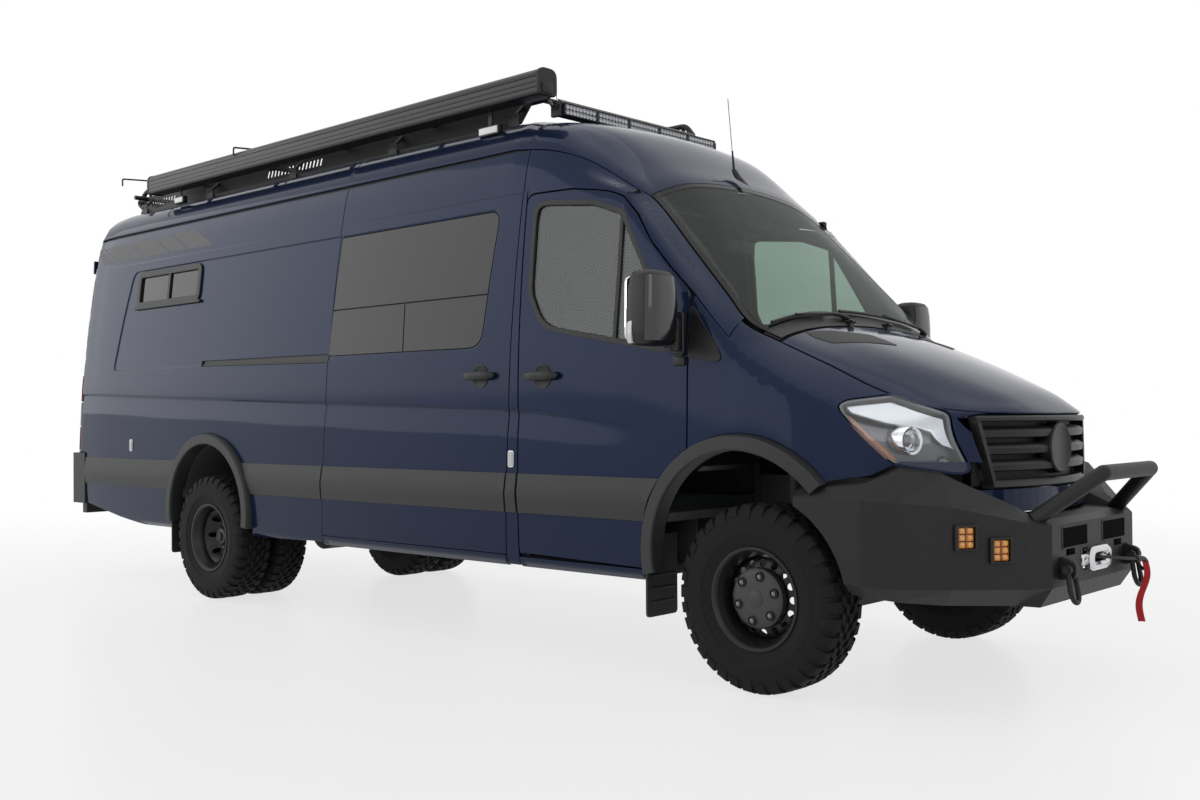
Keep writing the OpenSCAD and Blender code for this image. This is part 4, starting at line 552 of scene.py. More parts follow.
GLOSS_BLACK = solid_material("gloss_black", (0.006, 0.006, 0.0065), 0.12, spread=0.2, scale=8, specular=0.5,
                             coat=0.5)
BLACK_SATIN = solid_material("satin_black", (0.010, 0.010, 0.0105), 0.36, spread=0.15, scale=6, grain=0.1,
                             specular=0.4, stretch=(0.05, 1, 1))
MIRROR_GLASS = solid_material("mirror_glass", (0.70, 0.72, 0.74), 0.03, metal=1.0, spread=0.04, scale=6)
LAMP_CLEAR = solid_material("clear_lamp", (0.62, 0.63, 0.64), 0.12, spread=0.12, scale=140, coat=0.8)
DECAL = solid_material("grey_decal", (0.030, 0.030, 0.032), 0.45, spread=0.15, scale=30)
LAMP_WHITE = solid_material("white_lamp", (0.86, 0.86, 0.85), 0.25, spread=0.08, scale=120, coat=0.5)
LED_BOWL = solid_material("led_bowl", (0.88, 0.88, 0.89), 0.20, metal=0.15, spread=0.08, scale=60)
RED_LENS = solid_material("red_lens", (0.36, 0.010, 0.012), 0.14, spread=0.2, scale=110, coat=0.8)
SEAT_CLOTH = solid_material("seat_cloth", (0.035, 0.036, 0.040), 0.85, spread=0.3, scale=160, grain=0.5,
                            grain_scale=420)
SEAT_SIDE = solid_material("seat_side", (0.022, 0.022, 0.024), 0.62, spread=0.2, scale=60, grain=0.3,
                           grain_scale=300)
# Near-black, nearly matt fill: painted shade standing in for the dark inside of the bumper's openings
SHADE_FILL = solid_material("painted_shade_fill", (0.0025, 0.0025, 0.0026), 0.9, spread=0.3, scale=40, specular=0.05)


def soft_step(t):
    """Smooth rise from 0 to 1."""
    t = np.clip(t, 0, 1)
    return t * t * (3 - 2 * t)


# Outlines of the right side, x and z
BELT_X, BELT_Z = zip(*[(NET[j, 4, 0], NET[j, 4, 2]) for j in range(ROWS + 1)])
BELT_DEEP, BELT_LIP, BELT_FADE = 0.008, 0.011, 0.15
PRESS_DEEP, PRESS_LIP = 0.007, 0.010
PRESS = rounded([(-5.705, 1.535), (-1.684, 1.528), (-1.590, 2.243), (-5.497, 2.243)], (0.03, 0.12, 0.07,
                                                                                       0.09))
DRIP_Z, DRIP_DEEP = 2.305, 0.0025
FLARE_CUT = ARCH_R + FLARE_W + 0.002
SILL_Z, DOOR_LOW_Z, SEAM_Z = 0.432, 0.490, 2.530
DOOR_REAR_X, DOOR_FRONT_X = -1.400, -0.337
REAR_X = -6.329


def rear_edge(z):
    """x of the leaning rear end at height z."""
    return REAR_X + REAR_LEAN * (z - LOW_ZS[3]) / (ROOF_Z - LOW_ZS[3])


def edge_distance(points, loop):
    """Distance of points inside an outline to that outline, negative outside."""
    best = np.full(len(points), 9.0)
    for a, b in zip(loop, np.roll(loop, -1, 0)):
        ab = b - a
        t = np.clip(((points - a) @ ab) / max(ab @ ab, 1e-12), 0, 1)
        best = np.minimum(best, np.linalg.norm(points - a - t[:, None] * ab, axis=1))
    return np.where(inside(points, [loop]), best, -best)


def side_height(points):
    """Pressings of the body side: belt step, window field and drip crease."""
    x, z = points.T
    drop = np.interp(x, BELT_X, BELT_Z) - z
    fade = np.clip((-0.50 - x) / 0.85, 0, 1)
    step = np.where(drop < BELT_LIP, soft_step(drop / BELT_LIP),
                    1 - soft_step((drop - BELT_LIP) / BELT_FADE))
    field = soft_step(edge_distance(points, PRESS) / PRESS_LIP + 0.5)
    drip = soft_step((z - DRIP_Z) / 0.008) * np.clip((-1.2 - x) / 0.2, 0, 1) * np.clip((x + 6.30) / 0.1, 0,
                                                                                       1)
    return -BELT_DEEP * fade * step - PRESS_DEEP * field - DRIP_DEEP * drip


def side_lines(x0, x1):
    """Rows of points that follow the pressings of the body side."""
    xs = np.arange(x0, x1, 0.03)
    rows = [np.stack([xs, np.interp(xs, BELT_X, BELT_Z) - d], 1)
            for d in (-0.006, 0.0, 0.004, 0.008, 0.012, 0.022, 0.05, 0.09)]
    rows += [np.stack([xs, np.full_like(xs, DRIP_Z + d)], 1) for d in (-0.004, 0.001, 0.005, 0.010, 0.016)]
    for d in (-0.007, -0.003, 0.001, 0.005, 0.009):
        rows.append(inset(resample(PRESS, 0.025), d))
    return rows


def circle_z(centre, r, x):
    """Upper height of a circle at x."""
    return centre[1] + math.sqrt(r * r - (x - centre[0]) ** 2)


def circle_angle(centre, point):
    """Angle of a point round a centre, in degrees."""
    return math.degrees(math.atan2(point[1] - centre[1], point[0] - centre[0]))


def arch_notch(centre, r, low_z):
    """Arch cut of a lower edge, from its rear foot over the top to its front foot."""
    a = math.degrees(math.asin((low_z - centre[1]) / r))
    return arc(centre, r, 180 - a, a, 48)


SIDE_WALL_FRONT, SLIDE_GAP = -1.407, 0.004
SLIDE = np.array([(-1.500, DOOR_LOW_Z), (-1.430, SEAM_Z), (-2.960, SEAM_Z), (-3.080, DOOR_LOW_Z)])
RAIL = rounded([(-4.462, 1.526), (-3.036, 1.502), (-3.036, 1.553), (-4.462, 1.563)], (0.016, 0.004, 0.004,
                                                                                      0.016), 5)
VENT = rectangle((-5.400, 1.986), (-4.550, 2.221), 0.05)
SLIDE_GLASS = rounded([(-3.022, 1.540), (-1.690, 1.534), (-1.597, 2.237), (-2.965, 2.237)],
                      (0.02, 0.11, 0.065, 0.02))


def rear_wall_outline(door_side):
    """Side wall from the rear corner to the sliding door, or to the front door on the plain side."""
    front = [(SIDE_WALL_FRONT, SILL_Z), (SIDE_WALL_FRONT, SEAM_Z)]
    if door_side:
        front = [(SLIDE[3][0] - SLIDE_GAP, SILL_Z + 0.02), (SLIDE[2][0] - SLIDE_GAP, SEAM_Z)]
    lamp_low, lamp_high, lamp_deep = 0.941, 1.524, 0.079
    corner = [(rear_edge(SEAM_Z) + 0.004, SEAM_Z), (rear_edge(lamp_high) + 0.006, lamp_high),
              (rear_edge(lamp_high) + lamp_deep, lamp_high), (rear_edge(lamp_low) + lamp_deep, lamp_low),
              (-6.136, 0.932), (-6.136, 0.56)]
    skirt = [(-5.6, 0.475), (-5.25, SILL_Z)]
    return np.array(corner + skirt + list(arch_notch(REAR_ARCH, FLARE_CUT, SILL_Z)) + front)


def build_sides():
    """Side walls, the pillar and sill round the sliding door, and the sliding door."""
    lines = side_lines(-6.25, -1.40)
    panel("wall_skin_right", SIDE, [rear_wall_outline(True), VENT, RAIL], [PAINT, LINING], "body",
          side_height, lines=lines,
          node="side_wall_right")
    pillar = [(-1.496, 0.44), (SIDE_WALL_FRONT, 0.44), (SIDE_WALL_FRONT, SEAM_Z), (-1.426, SEAM_Z)]
    panel("pillar_skin", SIDE, [pillar], [PAINT, LINING], "body", side_height, lines=lines, cell=0.03)
    sill = [(-3.078, SILL_Z), (-1.502, SILL_Z), (-1.502, DOOR_LOW_Z - SLIDE_GAP),
            (-3.084, DOOR_LOW_Z - SLIDE_GAP)]
    panel("sill_skin", SIDE, [sill], [PAINT, LINING], "body", cell=0.04)
    step = [(-1.404, SILL_Z), (-0.592, SILL_Z), (-0.588, DOOR_LOW_Z - GAP), (-1.404, DOOR_LOW_Z - GAP)]
    for side, left in SIDES:
        panel(f"door_sill_{side}", SIDE, [np.array(step)], [PAINT, LINING], "body", cell=0.04, left=left)
    panel("wall_skin_left", SIDE, [rear_wall_outline(False), VENT], [PAINT, LINING], "body", side_height,
          lines=lines,
          left=True, node="side_wall_left")
    panel("slide_skin", SIDE, [SLIDE, SLIDE_GLASS], [PAINT, LINING], "body", side_height, lines=lines,
          node="sliding_door")


AXES = {"xy": (0, 1, 2), "xz": (0, 2, 1), "yz": (1, 2, 0)}


def smooth_path(points, radius, steps=6):
    """Open path in space with its corners rounded."""
    pts = [np.asarray(p, float) for p in points]
    out = [pts[0]]
    for a, b, c in zip(pts, pts[1:], pts[2:]):
        la, lc = np.linalg.norm(a - b), np.linalg.norm(c - b)
        cut = min(radius, la * 0.49, lc * 0.49)
        p, q = b + (a - b) * cut / la, b + (c - b) * cut / lc
        out += [(1 - t) ** 2 * p + 2 * t * (1 - t) * b + t * t * q for t in np.linspace(0, 1, steps)]
    return np.array(out + [pts[-1]])


class Bag:
    """Loose shapes gathered into one piece, with x measured from the front axle."""

    def __init__(self):
        self.verts, self.faces, self.slots = [], [], []

    def add(self, verts, faces, slot=0):
        """Shape from points and faces."""
        n = len(self.verts)
        self.verts += [tuple(float(c) for c in v) for v in verts]
        self.faces += [tuple(int(n + i) for i in f) for f in faces]
        self.slots += [slot] * len(faces)

    def box(self, low, high, slot=0, bevel=0.004, turn=None, steps=2):
        """Block with rounded edges, turned about its middle if asked."""
        low, high = Vector(low), Vector(high)
        bm = bmesh.new()
        bmesh.ops.create_cube(bm, size=1)
        for v in bm.verts:
            v.co = Vector(c * s for c, s in zip(v.co, high - low))
        if bevel:
            bmesh.ops.bevel(bm, geom=bm.edges[:], offset=bevel, segments=steps, profile=0.5, affect="EDGES",
                            clamp_overlap=True)
        bm.transform(Matrix.Translation((low + high) / 2) @ (turn.to_4x4() if turn else Matrix()))
        bm.verts.index_update()
        self.add([v.co for v in bm.verts], [[v.index for v in f.verts] for f in bm.faces], slot)
        bm.free()

    def plate(self, loops, axes, low, high, slot=0, bevel=0.002, warp=None):
        """Flat sheet with holes and chamfered edges, across the third axis or bent by warp."""
        loops = oriented([np.asarray(lp, float) for lp in loops])
        flat, tris, origin = fill([inset(lp, bevel) for lp in loops], merge=1e-9)
        places, faces, count = [(flat, high), (flat, low)], [tuple(t) for t in tris], len(flat)
        faces += [tuple(count + i for i in t[::-1]) for t in tris]
        base, first = 2 * count, 0
        for lp in loops:
            n = len(lp)
            ids = [origin[first + k] for k in range(n)]
            first += n
            places += [(lp, high - bevel), (lp, low + bevel)]
            chain = [ids, range(base, base + n), range(base + n, base + 2 * n), [count + i for i in ids]]
            base += 2 * n
            for a, b in zip(chain, chain[1:]):
                faces += [(a[k], b[k], b[(k + 1) % n], a[(k + 1) % n]) for k in range(n)]
        a, b, c = AXES[axes]
        verts = []
        for points, depth in places:
            block = np.zeros((len(points), 3))
            block[:, a], block[:, b], block[:, c] = points[:, 0], points[:, 1], depth
            verts.append(block)
        verts = np.concatenate(verts)
        self.add(warp(verts) if warp else verts, faces, slot)

    def tube(self, path, r, slot=0, segs=14):
        """Round bar along a path; r may run along it."""
        path = np.asarray(path, float)
        rs = np.broadcast_to(np.asarray(r, float), (len(path),))
        ahead = np.gradient(path, axis=0)
        ahead /= np.maximum(np.linalg.norm(ahead, axis=1, keepdims=True), 1e-9)
        side = np.cross(ahead[0], (0, 0, 1) if abs(ahead[0][2]) < 0.9 else (1, 0, 0))
        rings = []
        angles = np.linspace(0, 2 * math.pi, segs, endpoint=False)
        for p, t, rr in zip(path, ahead, rs):
            side = side - (side @ t) * t
            side /= np.linalg.norm(side)
            rings.append(p + rr * (np.cos(angles)[:, None] * side + np.sin(angles)[:, None] * np.cross(t,
                                                                                                       side)))
        self.loft(rings, slot)

    def loft(self, sections, slot=0):
        """Closed skin over stacked closed sections of equal length."""
        m, last = len(sections[0]), len(sections) - 1
        faces = []
        for k in range(last):
            a, b = k * m, k * m + m
            faces += [(a + i, a + (i + 1) % m, b + (i + 1) % m, b + i) for i in range(m)]
        faces += [tuple(range(m))[::-1], tuple(range(last * m, last * m + m))]
        self.add(np.concatenate(sections), faces, slot)

    def lathe(self, profile, centre, axis="y", slot=0, segs=48, closed=True):
        """Profile of radius and length turned about an axis; closed joins its two ends."""
        c = np.asarray(centre, float)
        k = "xyz".index(axis)
        a, b = [(1, 2), (2, 0), (0, 1)][k]
        angles = np.radians(np.linspace(0, 360, segs, endpoint=False))
        m, n = len(profile), len(angles)
        verts = np.zeros((n, m, 3))
        for i, (r, t) in enumerate(profile):
            verts[:, i, a], verts[:, i, b], verts[:, i, k] = r * np.cos(angles), r * np.sin(angles), t
        faces = []
        for j in range(n):
            p, q = j * m, ((j + 1) % n) * m
            faces += [(p + i, q + i, q + (i + 1) % m,
                       p + (i + 1) % m) for i in range(m if closed else m - 1)]
        self.add(verts.reshape(-1, 3) + c, faces, slot)

    def mirrored(self):
        """The same shapes on the other side of the van."""
        other = Bag()
        other.verts = [(x, -y, z) for x, y, z in self.verts]
        other.faces = [f[::-1] for f in self.faces]
        other.slots = list(self.slots)
        return other

    def both(self):
        """The shapes and their mirror image together."""
        return joined(self, self.mirrored())

    def make(self, name, materials, body, *nodes, angle=38):
        """Object of all the shapes, riding on a body."""
        verts = [(x + AXLE_X, y, z) for x, y, z in self.verts]
        obj = new_object(name, verts, self.faces, materials, None, self.slots)
        bm = bmesh.new()
        bm.from_mesh(obj.data)
        bmesh.ops.remove_doubles(bm, verts=bm.verts, dist=1e-6)
        bmesh.ops.recalc_face_normals(bm, faces=bm.faces)
        bm.to_mesh(obj.data)
        bm.free()
        obj.data.set_sharp_from_angle(angle=math.radians(angle))
        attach(obj, body)
        if nodes:
            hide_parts(*nodes)
        return obj


def moved(bag, place):
    """Copy of a bag at another place."""
    other = Bag()
    x, y, z = place
    other.verts = [(a + x, b + y, c + z) for a, b, c in bag.verts]
    other.faces, other.slots = bag.faces, bag.slots
    return other


def placed(bag, matrix):
    """Copy of a bag moved by a matrix."""
    other = Bag()
    other.verts = [tuple(matrix @ Vector(v)) for v in bag.verts]
    other.faces, other.slots = bag.faces, bag.slots
    return other


def joined(*bags):
    """Several bags as one."""
    out = Bag()
    for bag in bags:
        n = len(out.verts)
        out.verts += bag.verts
        out.faces += [tuple(n + i for i in f) for f in bag.faces]
        out.slots += bag.slots
    return out


def facing(profile, out):
    """Profile of radius and length that faces outwards on a side."""
    return [(r, out * t) for r, t in profile]


def round_places(count, r, turn=0):
    """Places spread evenly on a circle, the first at an angle in degrees."""
    angles = [math.radians(turn + 360 / count * k) for k in range(count)]
    return [(r * math.cos(a), r * math.sin(a)) for a in angles]


def square_arc(centre, half, angles, power=2.0):
    """Points at some angles of an oval whose corners a higher power squares."""
    c, s = np.cos(angles), np.sin(angles)
    return np.stack([centre[0] + half[0] * np.sign(c) * np.abs(c) ** (2 / power),
                     centre[1] + half[1] * np.sign(s) * np.abs(s) ** (2 / power)], 1)


def oval(centre, half, steps=16, power=2.0):
    """Closed oval in a plane; a higher power squares its corners."""
    return square_arc(centre, half, np.linspace(0, 2 * math.pi, steps, endpoint=False), power)


def skin_curve(us, ss):
    """Points of the skin along rows us and rails ss."""
    us, ss = np.broadcast_arrays(np.asarray(us, float), np.asarray(ss, float))
    return body_point(us, ss)


def patch_outline(rows, rails, count):
    """Outline of a patch of the skin between rows and rails, seen from above."""
    (u0, u1), (s0, s1) = rows, rails
    u, s = np.linspace(u0, u1, count, endpoint=False), np.linspace(s0, s1, count, endpoint=False)
    edges = [skin_curve(u, s0), skin_curve(u1, s), skin_curve(u[::-1] + (u1 - u0) / count, s1),
             skin_curve(u0, s[::-1] + (s1 - s0) / count)]
    return ordered(np.concatenate(edges)[:, :2])


def soften(loop, rounds=3):
    """Closed outline with its corners cut smooth."""
    for _ in range(rounds):
        after = np.roll(loop, -1, 0)
        loop = np.stack([loop * 0.75 + after * 0.25, loop * 0.25 + after * 0.75], 1).reshape(-1, 2)
    return loop


def across(rail):
    """A rail and its mirror image."""
    return rail, LAST_RAIL - rail


ROOF_END, SCREEN_END, COWL_END, HOOD_START = 7.712, 11.61, 12.05, 12.125
SCREEN_RAIL, HOOD_RAIL = 8.30, 8.095
ROOF_GROOVES = (-2.962, -1.430)


def roof_height(points):
    """Grooves of the roof where the body sections meet."""
    x, y = points.T
    low = np.clip((np.abs(y) - 0.60) / 0.08, 0, 1)
    return -0.004 * low * sum(1 - soft_step(np.abs(x - g) / 0.006) for g in ROOF_GROOVES)


def build_roof():
    """Roof shell with its seam seals, windscreen with its black border, and cowl."""
    outline = patch_outline((0.02, ROOF_END), across(SEAM_RAIL + 0.01), 70)
    ys = np.arange(-0.9, 0.9, 0.02)
    lines = [np.stack([np.full_like(ys, g + d), ys], 1)
             for g in ROOF_GROOVES for d in (-0.007, -0.004, 0, 0.004, 0.007)]
    panel("roof_shell", TOP, [outline], [PAINT, LINING], "body", roof_height, cell=0.05, lines=lines,
          node="roof")
    seam_half = 0.035
    seam = rectangle((-6.16, SEAM_Z - seam_half), (-1.38, SEAM_Z + seam_half))
    for side, left in SIDES:
        panel(f"roof_seal_{side}", SIDE, [seam], [RUBBER, LINING], "body", cell=0.05, thick=0.005,
              left=left,
              proud=-0.016)
    screen = resample(patch_outline((ROOF_END + 0.012, SCREEN_END), across(SCREEN_RAIL), 50), 0.03)
    clear = soften(patch_outline((ROOF_END + 0.19, SCREEN_END - 0.16), across(SCREEN_RAIL + 0.30), 14))
    panel("screen_border", TOP, [screen, clear], [FRIT, RUBBER], "body", thick=0.007, cell=0.03,
          edge=0.0015,
          node="fixed_glass")
    panel("screen_pane", TOP, [inset(clear, 0.0004)], [SCREEN, SCREEN], "body", thick=0.005, cell=0.05,
          edge=0.001)
    cowl = patch_outline((SCREEN_END + 0.01, COWL_END), across(8.2), 40)
    panel("cowl", TOP, [cowl], [BLACK, BLACK], "body", thick=0.012, cell=0.03, proud=-0.006)


DOOR = [(DOOR_REAR_X, DOOR_LOW_Z), (DOOR_REAR_X, 2.289), (-1.102, 2.282), (-0.9585, 2.260), (-0.870, 2.243),
        (-0.774, 2.207), (-0.6815, 2.112), (-0.580, 1.970), (-0.464, 1.847), (-0.354, 1.741),
        (DOOR_FRONT_X, 1.674)]
DOOR_ROUND = (0.02, 0.05, 0.12, 0.1, 0.1, 0.1, 0.1, 0.12, 0.12, 0.06, 0.06, 0.001)
WINDOW = [(-1.341, 2.246), (-0.957, 2.204), (-0.764, 2.132), (-0.435, 1.562), (-0.4495, 1.4675),
          (-1.247, 1.613),
          (-1.341, 1.786)]
WINDOW_ROUND = (0.075, 0.10, 0.07, 0.05, 0.03, 0.20, 0.14)
QUARTER_X, QUARTER_BAR = -0.77, 0.011
DOOR_STOP = np.array([(-1.450, 1.700), (-1.378, 1.700), (-1.378, 2.272), (-0.950, 2.255), (-0.950, 2.335),
                      (-1.450, 2.350)])


def door_outline():
    """Front door outline with its corner cut by the wheel arch."""
    r = FLARE_CUT + GAP
    front_z = circle_z(FRONT_ARCH, r, DOOR_FRONT_X)
    low_x = FRONT_ARCH[0] - math.sqrt(r * r - (DOOR_LOW_Z - FRONT_ARCH[1]) ** 2)
    a0 = circle_angle(FRONT_ARCH, (DOOR_FRONT_X, front_z))
    a1 = circle_angle(FRONT_ARCH, (low_x, DOOR_LOW_Z)) % 360
    top = rounded(DOOR + [(DOOR_FRONT_X, front_z)], DOOR_ROUND, 4)
    return np.concatenate([top, arc(FRONT_ARCH, r, a0, a1, 20)[1:]])


def build_doors():
    """Front doors with seals, panes and quarter divider, and the body's stops behind them."""
    outline = ordered(door_outline())
    glass = ordered(rounded(WINDOW, WINDOW_ROUND, 5))
    lines = side_lines(-1.41, -0.33)
    seal_out, seal_in = inset(resample(glass, 0.02), -0.012), inset(resample(glass, 0.02), 0.016)
    x0, x1 = QUARTER_X - QUARTER_BAR, QUARTER_X + QUARTER_BAR
    z1 = np.interp(QUARTER_X, (-0.957, -0.764), (2.204, 2.132))
    post = np.array([(x0, 1.53), (x1, 1.527), (x1, z1), (x0, z1 + 0.008)])
    for side, left in SIDES:
        body = f"door_{side}"
        panel(f"door_skin_{side}", SIDE, [outline, glass], [PAINT, LINING], body, side_height, cell=0.035,
              lines=lines, left=left, node=body)
        panel(f"door_seal_{side}", SIDE, [seal_out, seal_in], [RUBBER, RUBBER], body, cell=0.02,
              thick=0.026,
              left=left, proud=0.0015, edge=0.004)
        panel(f"door_pane_{side}", SIDE, [inset(seal_in, -0.006)], [DOOR_GLASS, DOOR_GLASS], body,
              cell=0.06,
              thick=0.005, left=left, proud=-0.010, edge=0.001, node=f"door_{side}_glass")
        panel(f"door_post_{side}", SIDE, [post], [RUBBER, RUBBER], body, cell=0.03, thick=0.024, left=left,
              proud=-0.001)
        panel(f"door_stop_{side}", SIDE, [ordered(DOOR_STOP)], [RUBBER, RUBBER], "body", cell=0.04,
              thick=0.006,
              left=left, proud=-0.034)


SAIL = ordered(rounded([(-0.330, 1.690), (-0.127, 1.399), (-0.331, 1.430)], (0.02, 0.03, 0.015), 4))
LAMP = ordered(rounded([(0.350, 1.232), (0.515, 1.260), (0.722, 1.180), (0.796, 0.931), (0.576, 0.978)],
                       (0.03, 0.03, 0.05, 0.03, 0.06), 5))
PILLAR_ROW = 10.86


def front_lip(gap):
    """Points of the skin where the grille's upper edge lies, across the nose."""
    ss = np.linspace(8.1, 13.9, 61)
    us = np.linspace(14, 17.95, 160)
    out = []
    for s in ss:
        p = skin_curve(us, s)
        low = np.argmax(p[:, 2] < 1.17 + gap)
        out.append(p[low if p[low, 2] < 1.17 + gap else -1])
    return np.array(out)


def fender_outline():
    """Front fender between door, pillar, hood, grille and bumper."""
    r = FLARE_CUT
    x0 = DOOR_FRONT_X + GAP
    z0 = circle_z(FRONT_ARCH, r, x0)
    pillar = skin_curve(np.linspace(9.64, PILLAR_ROW, 8), 7.03)[:, [0, 2]]
    joint = skin_curve(PILLAR_ROW, np.linspace(7.1, 8.02, 5))[:, [0, 2]]
    hood = skin_curve(np.linspace(11.0, 16.15, 40), 8.035)[:, [0, 2]]
    nose = [(0.745, 1.160), (0.792, 1.10), (0.818, 0.98)]
    foot = [(0.597, 0.985), (0.507, 0.935)]
    a0 = math.degrees(math.asin((0.905 - FRONT_ARCH[1]) / r))
    a1 = circle_angle(FRONT_ARCH, (x0, z0))
    return np.concatenate([[(x0, 1.4)], pillar, joint, hood, nose, foot, arc(FRONT_ARCH, r, a0, a1, 30)])


def build_front():
    """Pillars, fenders with their black sails, and the hood."""
    roof_side = skin_curve(np.linspace(5.06, PILLAR_ROW - 0.02, 60), SEAM_RAIL - 0.02)[:, [0, 2]]
    low = skin_curve(np.linspace(9.62, PILLAR_ROW - 0.02, 12), 7.06)[:, [0, 2]]
    door_top = inset(ordered(door_outline()), -GAP)
    over = sorted([p for p in door_top if p[1] > 1.735 and -1.403 <= p[0] < -0.36], key=lambda p: p[0])
    frame_loop = np.concatenate([roof_side, low[::-1], np.array(over)[::-1], [(-1.402, 2.297)]])
    fender = fender_outline()
    for side, left in SIDES:
        panel(f"pillar_{side}_frame", SIDE, [frame_loop], [PAINT, LINING], "body", cell=0.014, left=left,
              node="cab_frame" if side == "right" else None)
        panel(f"fender_{side}_skin", SIDE, [fender, inset(LAMP, -0.004)], [PAINT, BLACK], "body",
              side_height,
              cell=0.035, left=left, node=f"fender_{side}", lines=side_lines(-0.34, 0.4))
        panel(f"sail_{side}", SIDE, [SAIL], [BLACK, BLACK], "body", cell=0.03, thick=0.012, left=left,
              proud=0.006)
    edge = skin_curve(np.linspace(HOOD_START, 16.4, 40), HOOD_RAIL)[:, :2]
    lip = front_lip(0.007)[:, :2]
    lip = lip[(lip[:, 1] > -0.545) & (lip[:, 1] < 0.545)]
    rear = skin_curve(HOOD_START, np.linspace(*across(HOOD_RAIL), 40))[:, :2]
    edge = edge[edge[:, 0] < lip[0, 0] - 0.01]
    hood = np.concatenate([edge, lip, edge[::-1] * (1, -1), rear[::-1][1:-1]])
    panel("hood_skin", TOP, [ordered(hood)], [PAINT, LINING], "hood", cell=0.035, node="hood", edge=0.004)


# Wheels: tyres with lugs, steel rims and hub caps
WHEEL_Z = 0.403
LUGS = 34
TWIN_HALF = 0.1375
# Profiles of radius and length along the axle
CARCASS = ((0.206, 0.094), (0.212, 0.104), (0.224, 0.1055), (0.240, 0.1105), (0.262, 0.1165),
           (0.300, 0.1195),
           (0.335, 0.1180), (0.362, 0.1120), (0.380, 0.1030), (0.3885, 0.0900), (0.3915, 0.0600),
           (0.3925, 0.0))
SHOULDER = ((0.4020, 0.0620), (0.4010, 0.0860), (0.3960, 0.1010), (0.3820, 0.1115), (0.3560, 0.1175),
            (0.3360, 0.1185))
SIDE_STEP = ((0.268, 0.1185), (0.274, 0.1200), (0.290, 0.1210), (0.298, 0.1200))


def lug_strip(bag, section, sides, low, spread):
    """Raised block over a section of radius and length, between start and end angles along it."""
    m = len(section)
    verts, faces = [], []
    for depth, grow in ((0.0, 0.0), (low, spread)):
        for k, a in enumerate(sides):
            for (r, t), angle in zip(section, a):
                angle += (grow if k else -grow) / r
                rr = r - depth if abs(t) < 0.1 else r - depth * 0.45
                tt = t - math.copysign(depth * 0.9 * min(1, max(0, (abs(t) - 0.085) / 0.025)), t)
                verts.append((rr * math.cos(angle), tt, rr * math.sin(angle)))
    for i in range(m - 1):
        a, b, c, d = i, m + i, 2 * m + i, 3 * m + i
        faces += [(a, a + 1, b + 1, b), (c + 1, a + 1, a, c), (b + 1, d + 1, d, b), (c + 1, d + 1, d, c)]
    faces += [(0, m, 3 * m, 2 * m), (m - 1, 2 * m - 1, 4 * m - 1, 3 * m - 1)[::-1]]
    bag.add(verts, faces)


def tyre_bag():
    """One tyre about the origin, its axis along y."""
    bag = Bag()
    bag.lathe(facing(CARCASS, -1) + list(CARCASS[::-1][1:]), (0, 0, 0), segs=72)
    for sign in (-1, 1):
        bag.lathe(facing(SIDE_STEP + ((0.296, 0.112), (0.270, 0.112)), sign), (0, 0, 0), segs=72)
    pitch = 2 * math.pi / LUGS
    for k in range(LUGS):
        for sign in (-1, 1):
            a = k * pitch + (pitch / 2 if sign > 0 else 0)
            w = pitch * (0.36 if k % 2 else 0.31)
            section = facing(SHOULDER if k % 2 else SHOULDER[:-1], sign)
            lug_strip(bag, section, ([a - w] * 6, [a + w] * 6), 0.014, 0.002)
            skew = pitch * 0.20
            for t0, t1, shift in ((0.0315, 0.0565, 0.25), (0.0035, 0.0265, 0.75)):
                b = a + pitch * shift
                mid = facing([(0.4025, t0), (0.4030, (t0 + t1) / 2), (0.4025, t1)], sign)
                start = [b - w * 0.98 + s for s in (0, skew * 0.6, skew)]
                end = [b + w * 0.86 + s for s in (0, skew * 0.2, skew)]
                lug_strip(bag, mid, (start, end), 0.012, 0.0015)
    return bag


BARREL = ((0.178, 0.055), (0.190, 0.075), (0.197, 0.092), (0.203, 0.106), (0.209, 0.1115), (0.2195, 0.1115),
          (0.2215, 0.106), (0.2195, 0.100), (0.206, 0.100), (0.198, 0.078), (0.186, 0.058))
FRONT_CAP = ((0.0, 0.092), (0.060, 0.091), (0.100, 0.088), (0.120, 0.084), (0.1275, 0.078), (0.1295, 0.068),
             (0.1300, 0.050), (0.120, 0.046), (0.0, 0.046))
CAP_WELL = ((0.0, 0.0895), (0.0150, 0.0895), (0.0175, 0.0945), (0.0205, 0.0945), (0.0225, 0.085),
            (0.0, 0.084))
CAP_NUT = ((0.0, 0.099), (0.0075, 0.0985), (0.0105, 0.096), (0.0115, 0.086), (0.0, 0.084))
CAP_BOSS = ((0.0, 0.096), (0.030, 0.0955), (0.0345, 0.093), (0.036, 0.086), (0.0, 0.084))
REAR_HUB = ((0.0, 0.028), (0.040, 0.027), (0.052, 0.022), (0.058, 0.008), (0.060, -0.050), (0.072, -0.055),
            (0.0, -0.056))
REAR_NUT = ((0.0, -0.020), (0.0095, -0.021), (0.0125, -0.025), (0.0125, -0.058), (0.0, -0.058))


def rim_barrel(bag, out):
    """Rolled steel rim about the origin; out is the side that shows."""
    bag.lathe(facing(BARREL, out) + facing(BARREL[::-1], -out), (0, 0, 0), segs=64)


def disc(bag, at, loops, thick, dish, out):
    """Round plate with holes, dished along y and facing outwards."""
    def warp(v):
        r = np.hypot(v[:, 0], v[:, 2])
        v = v.copy()
        v[:, 1] = out * (at + v[:, 1] + np.interp(r, *dish))
        return v
    bag.plate(loops, "xz", -thick, 0, warp=warp)


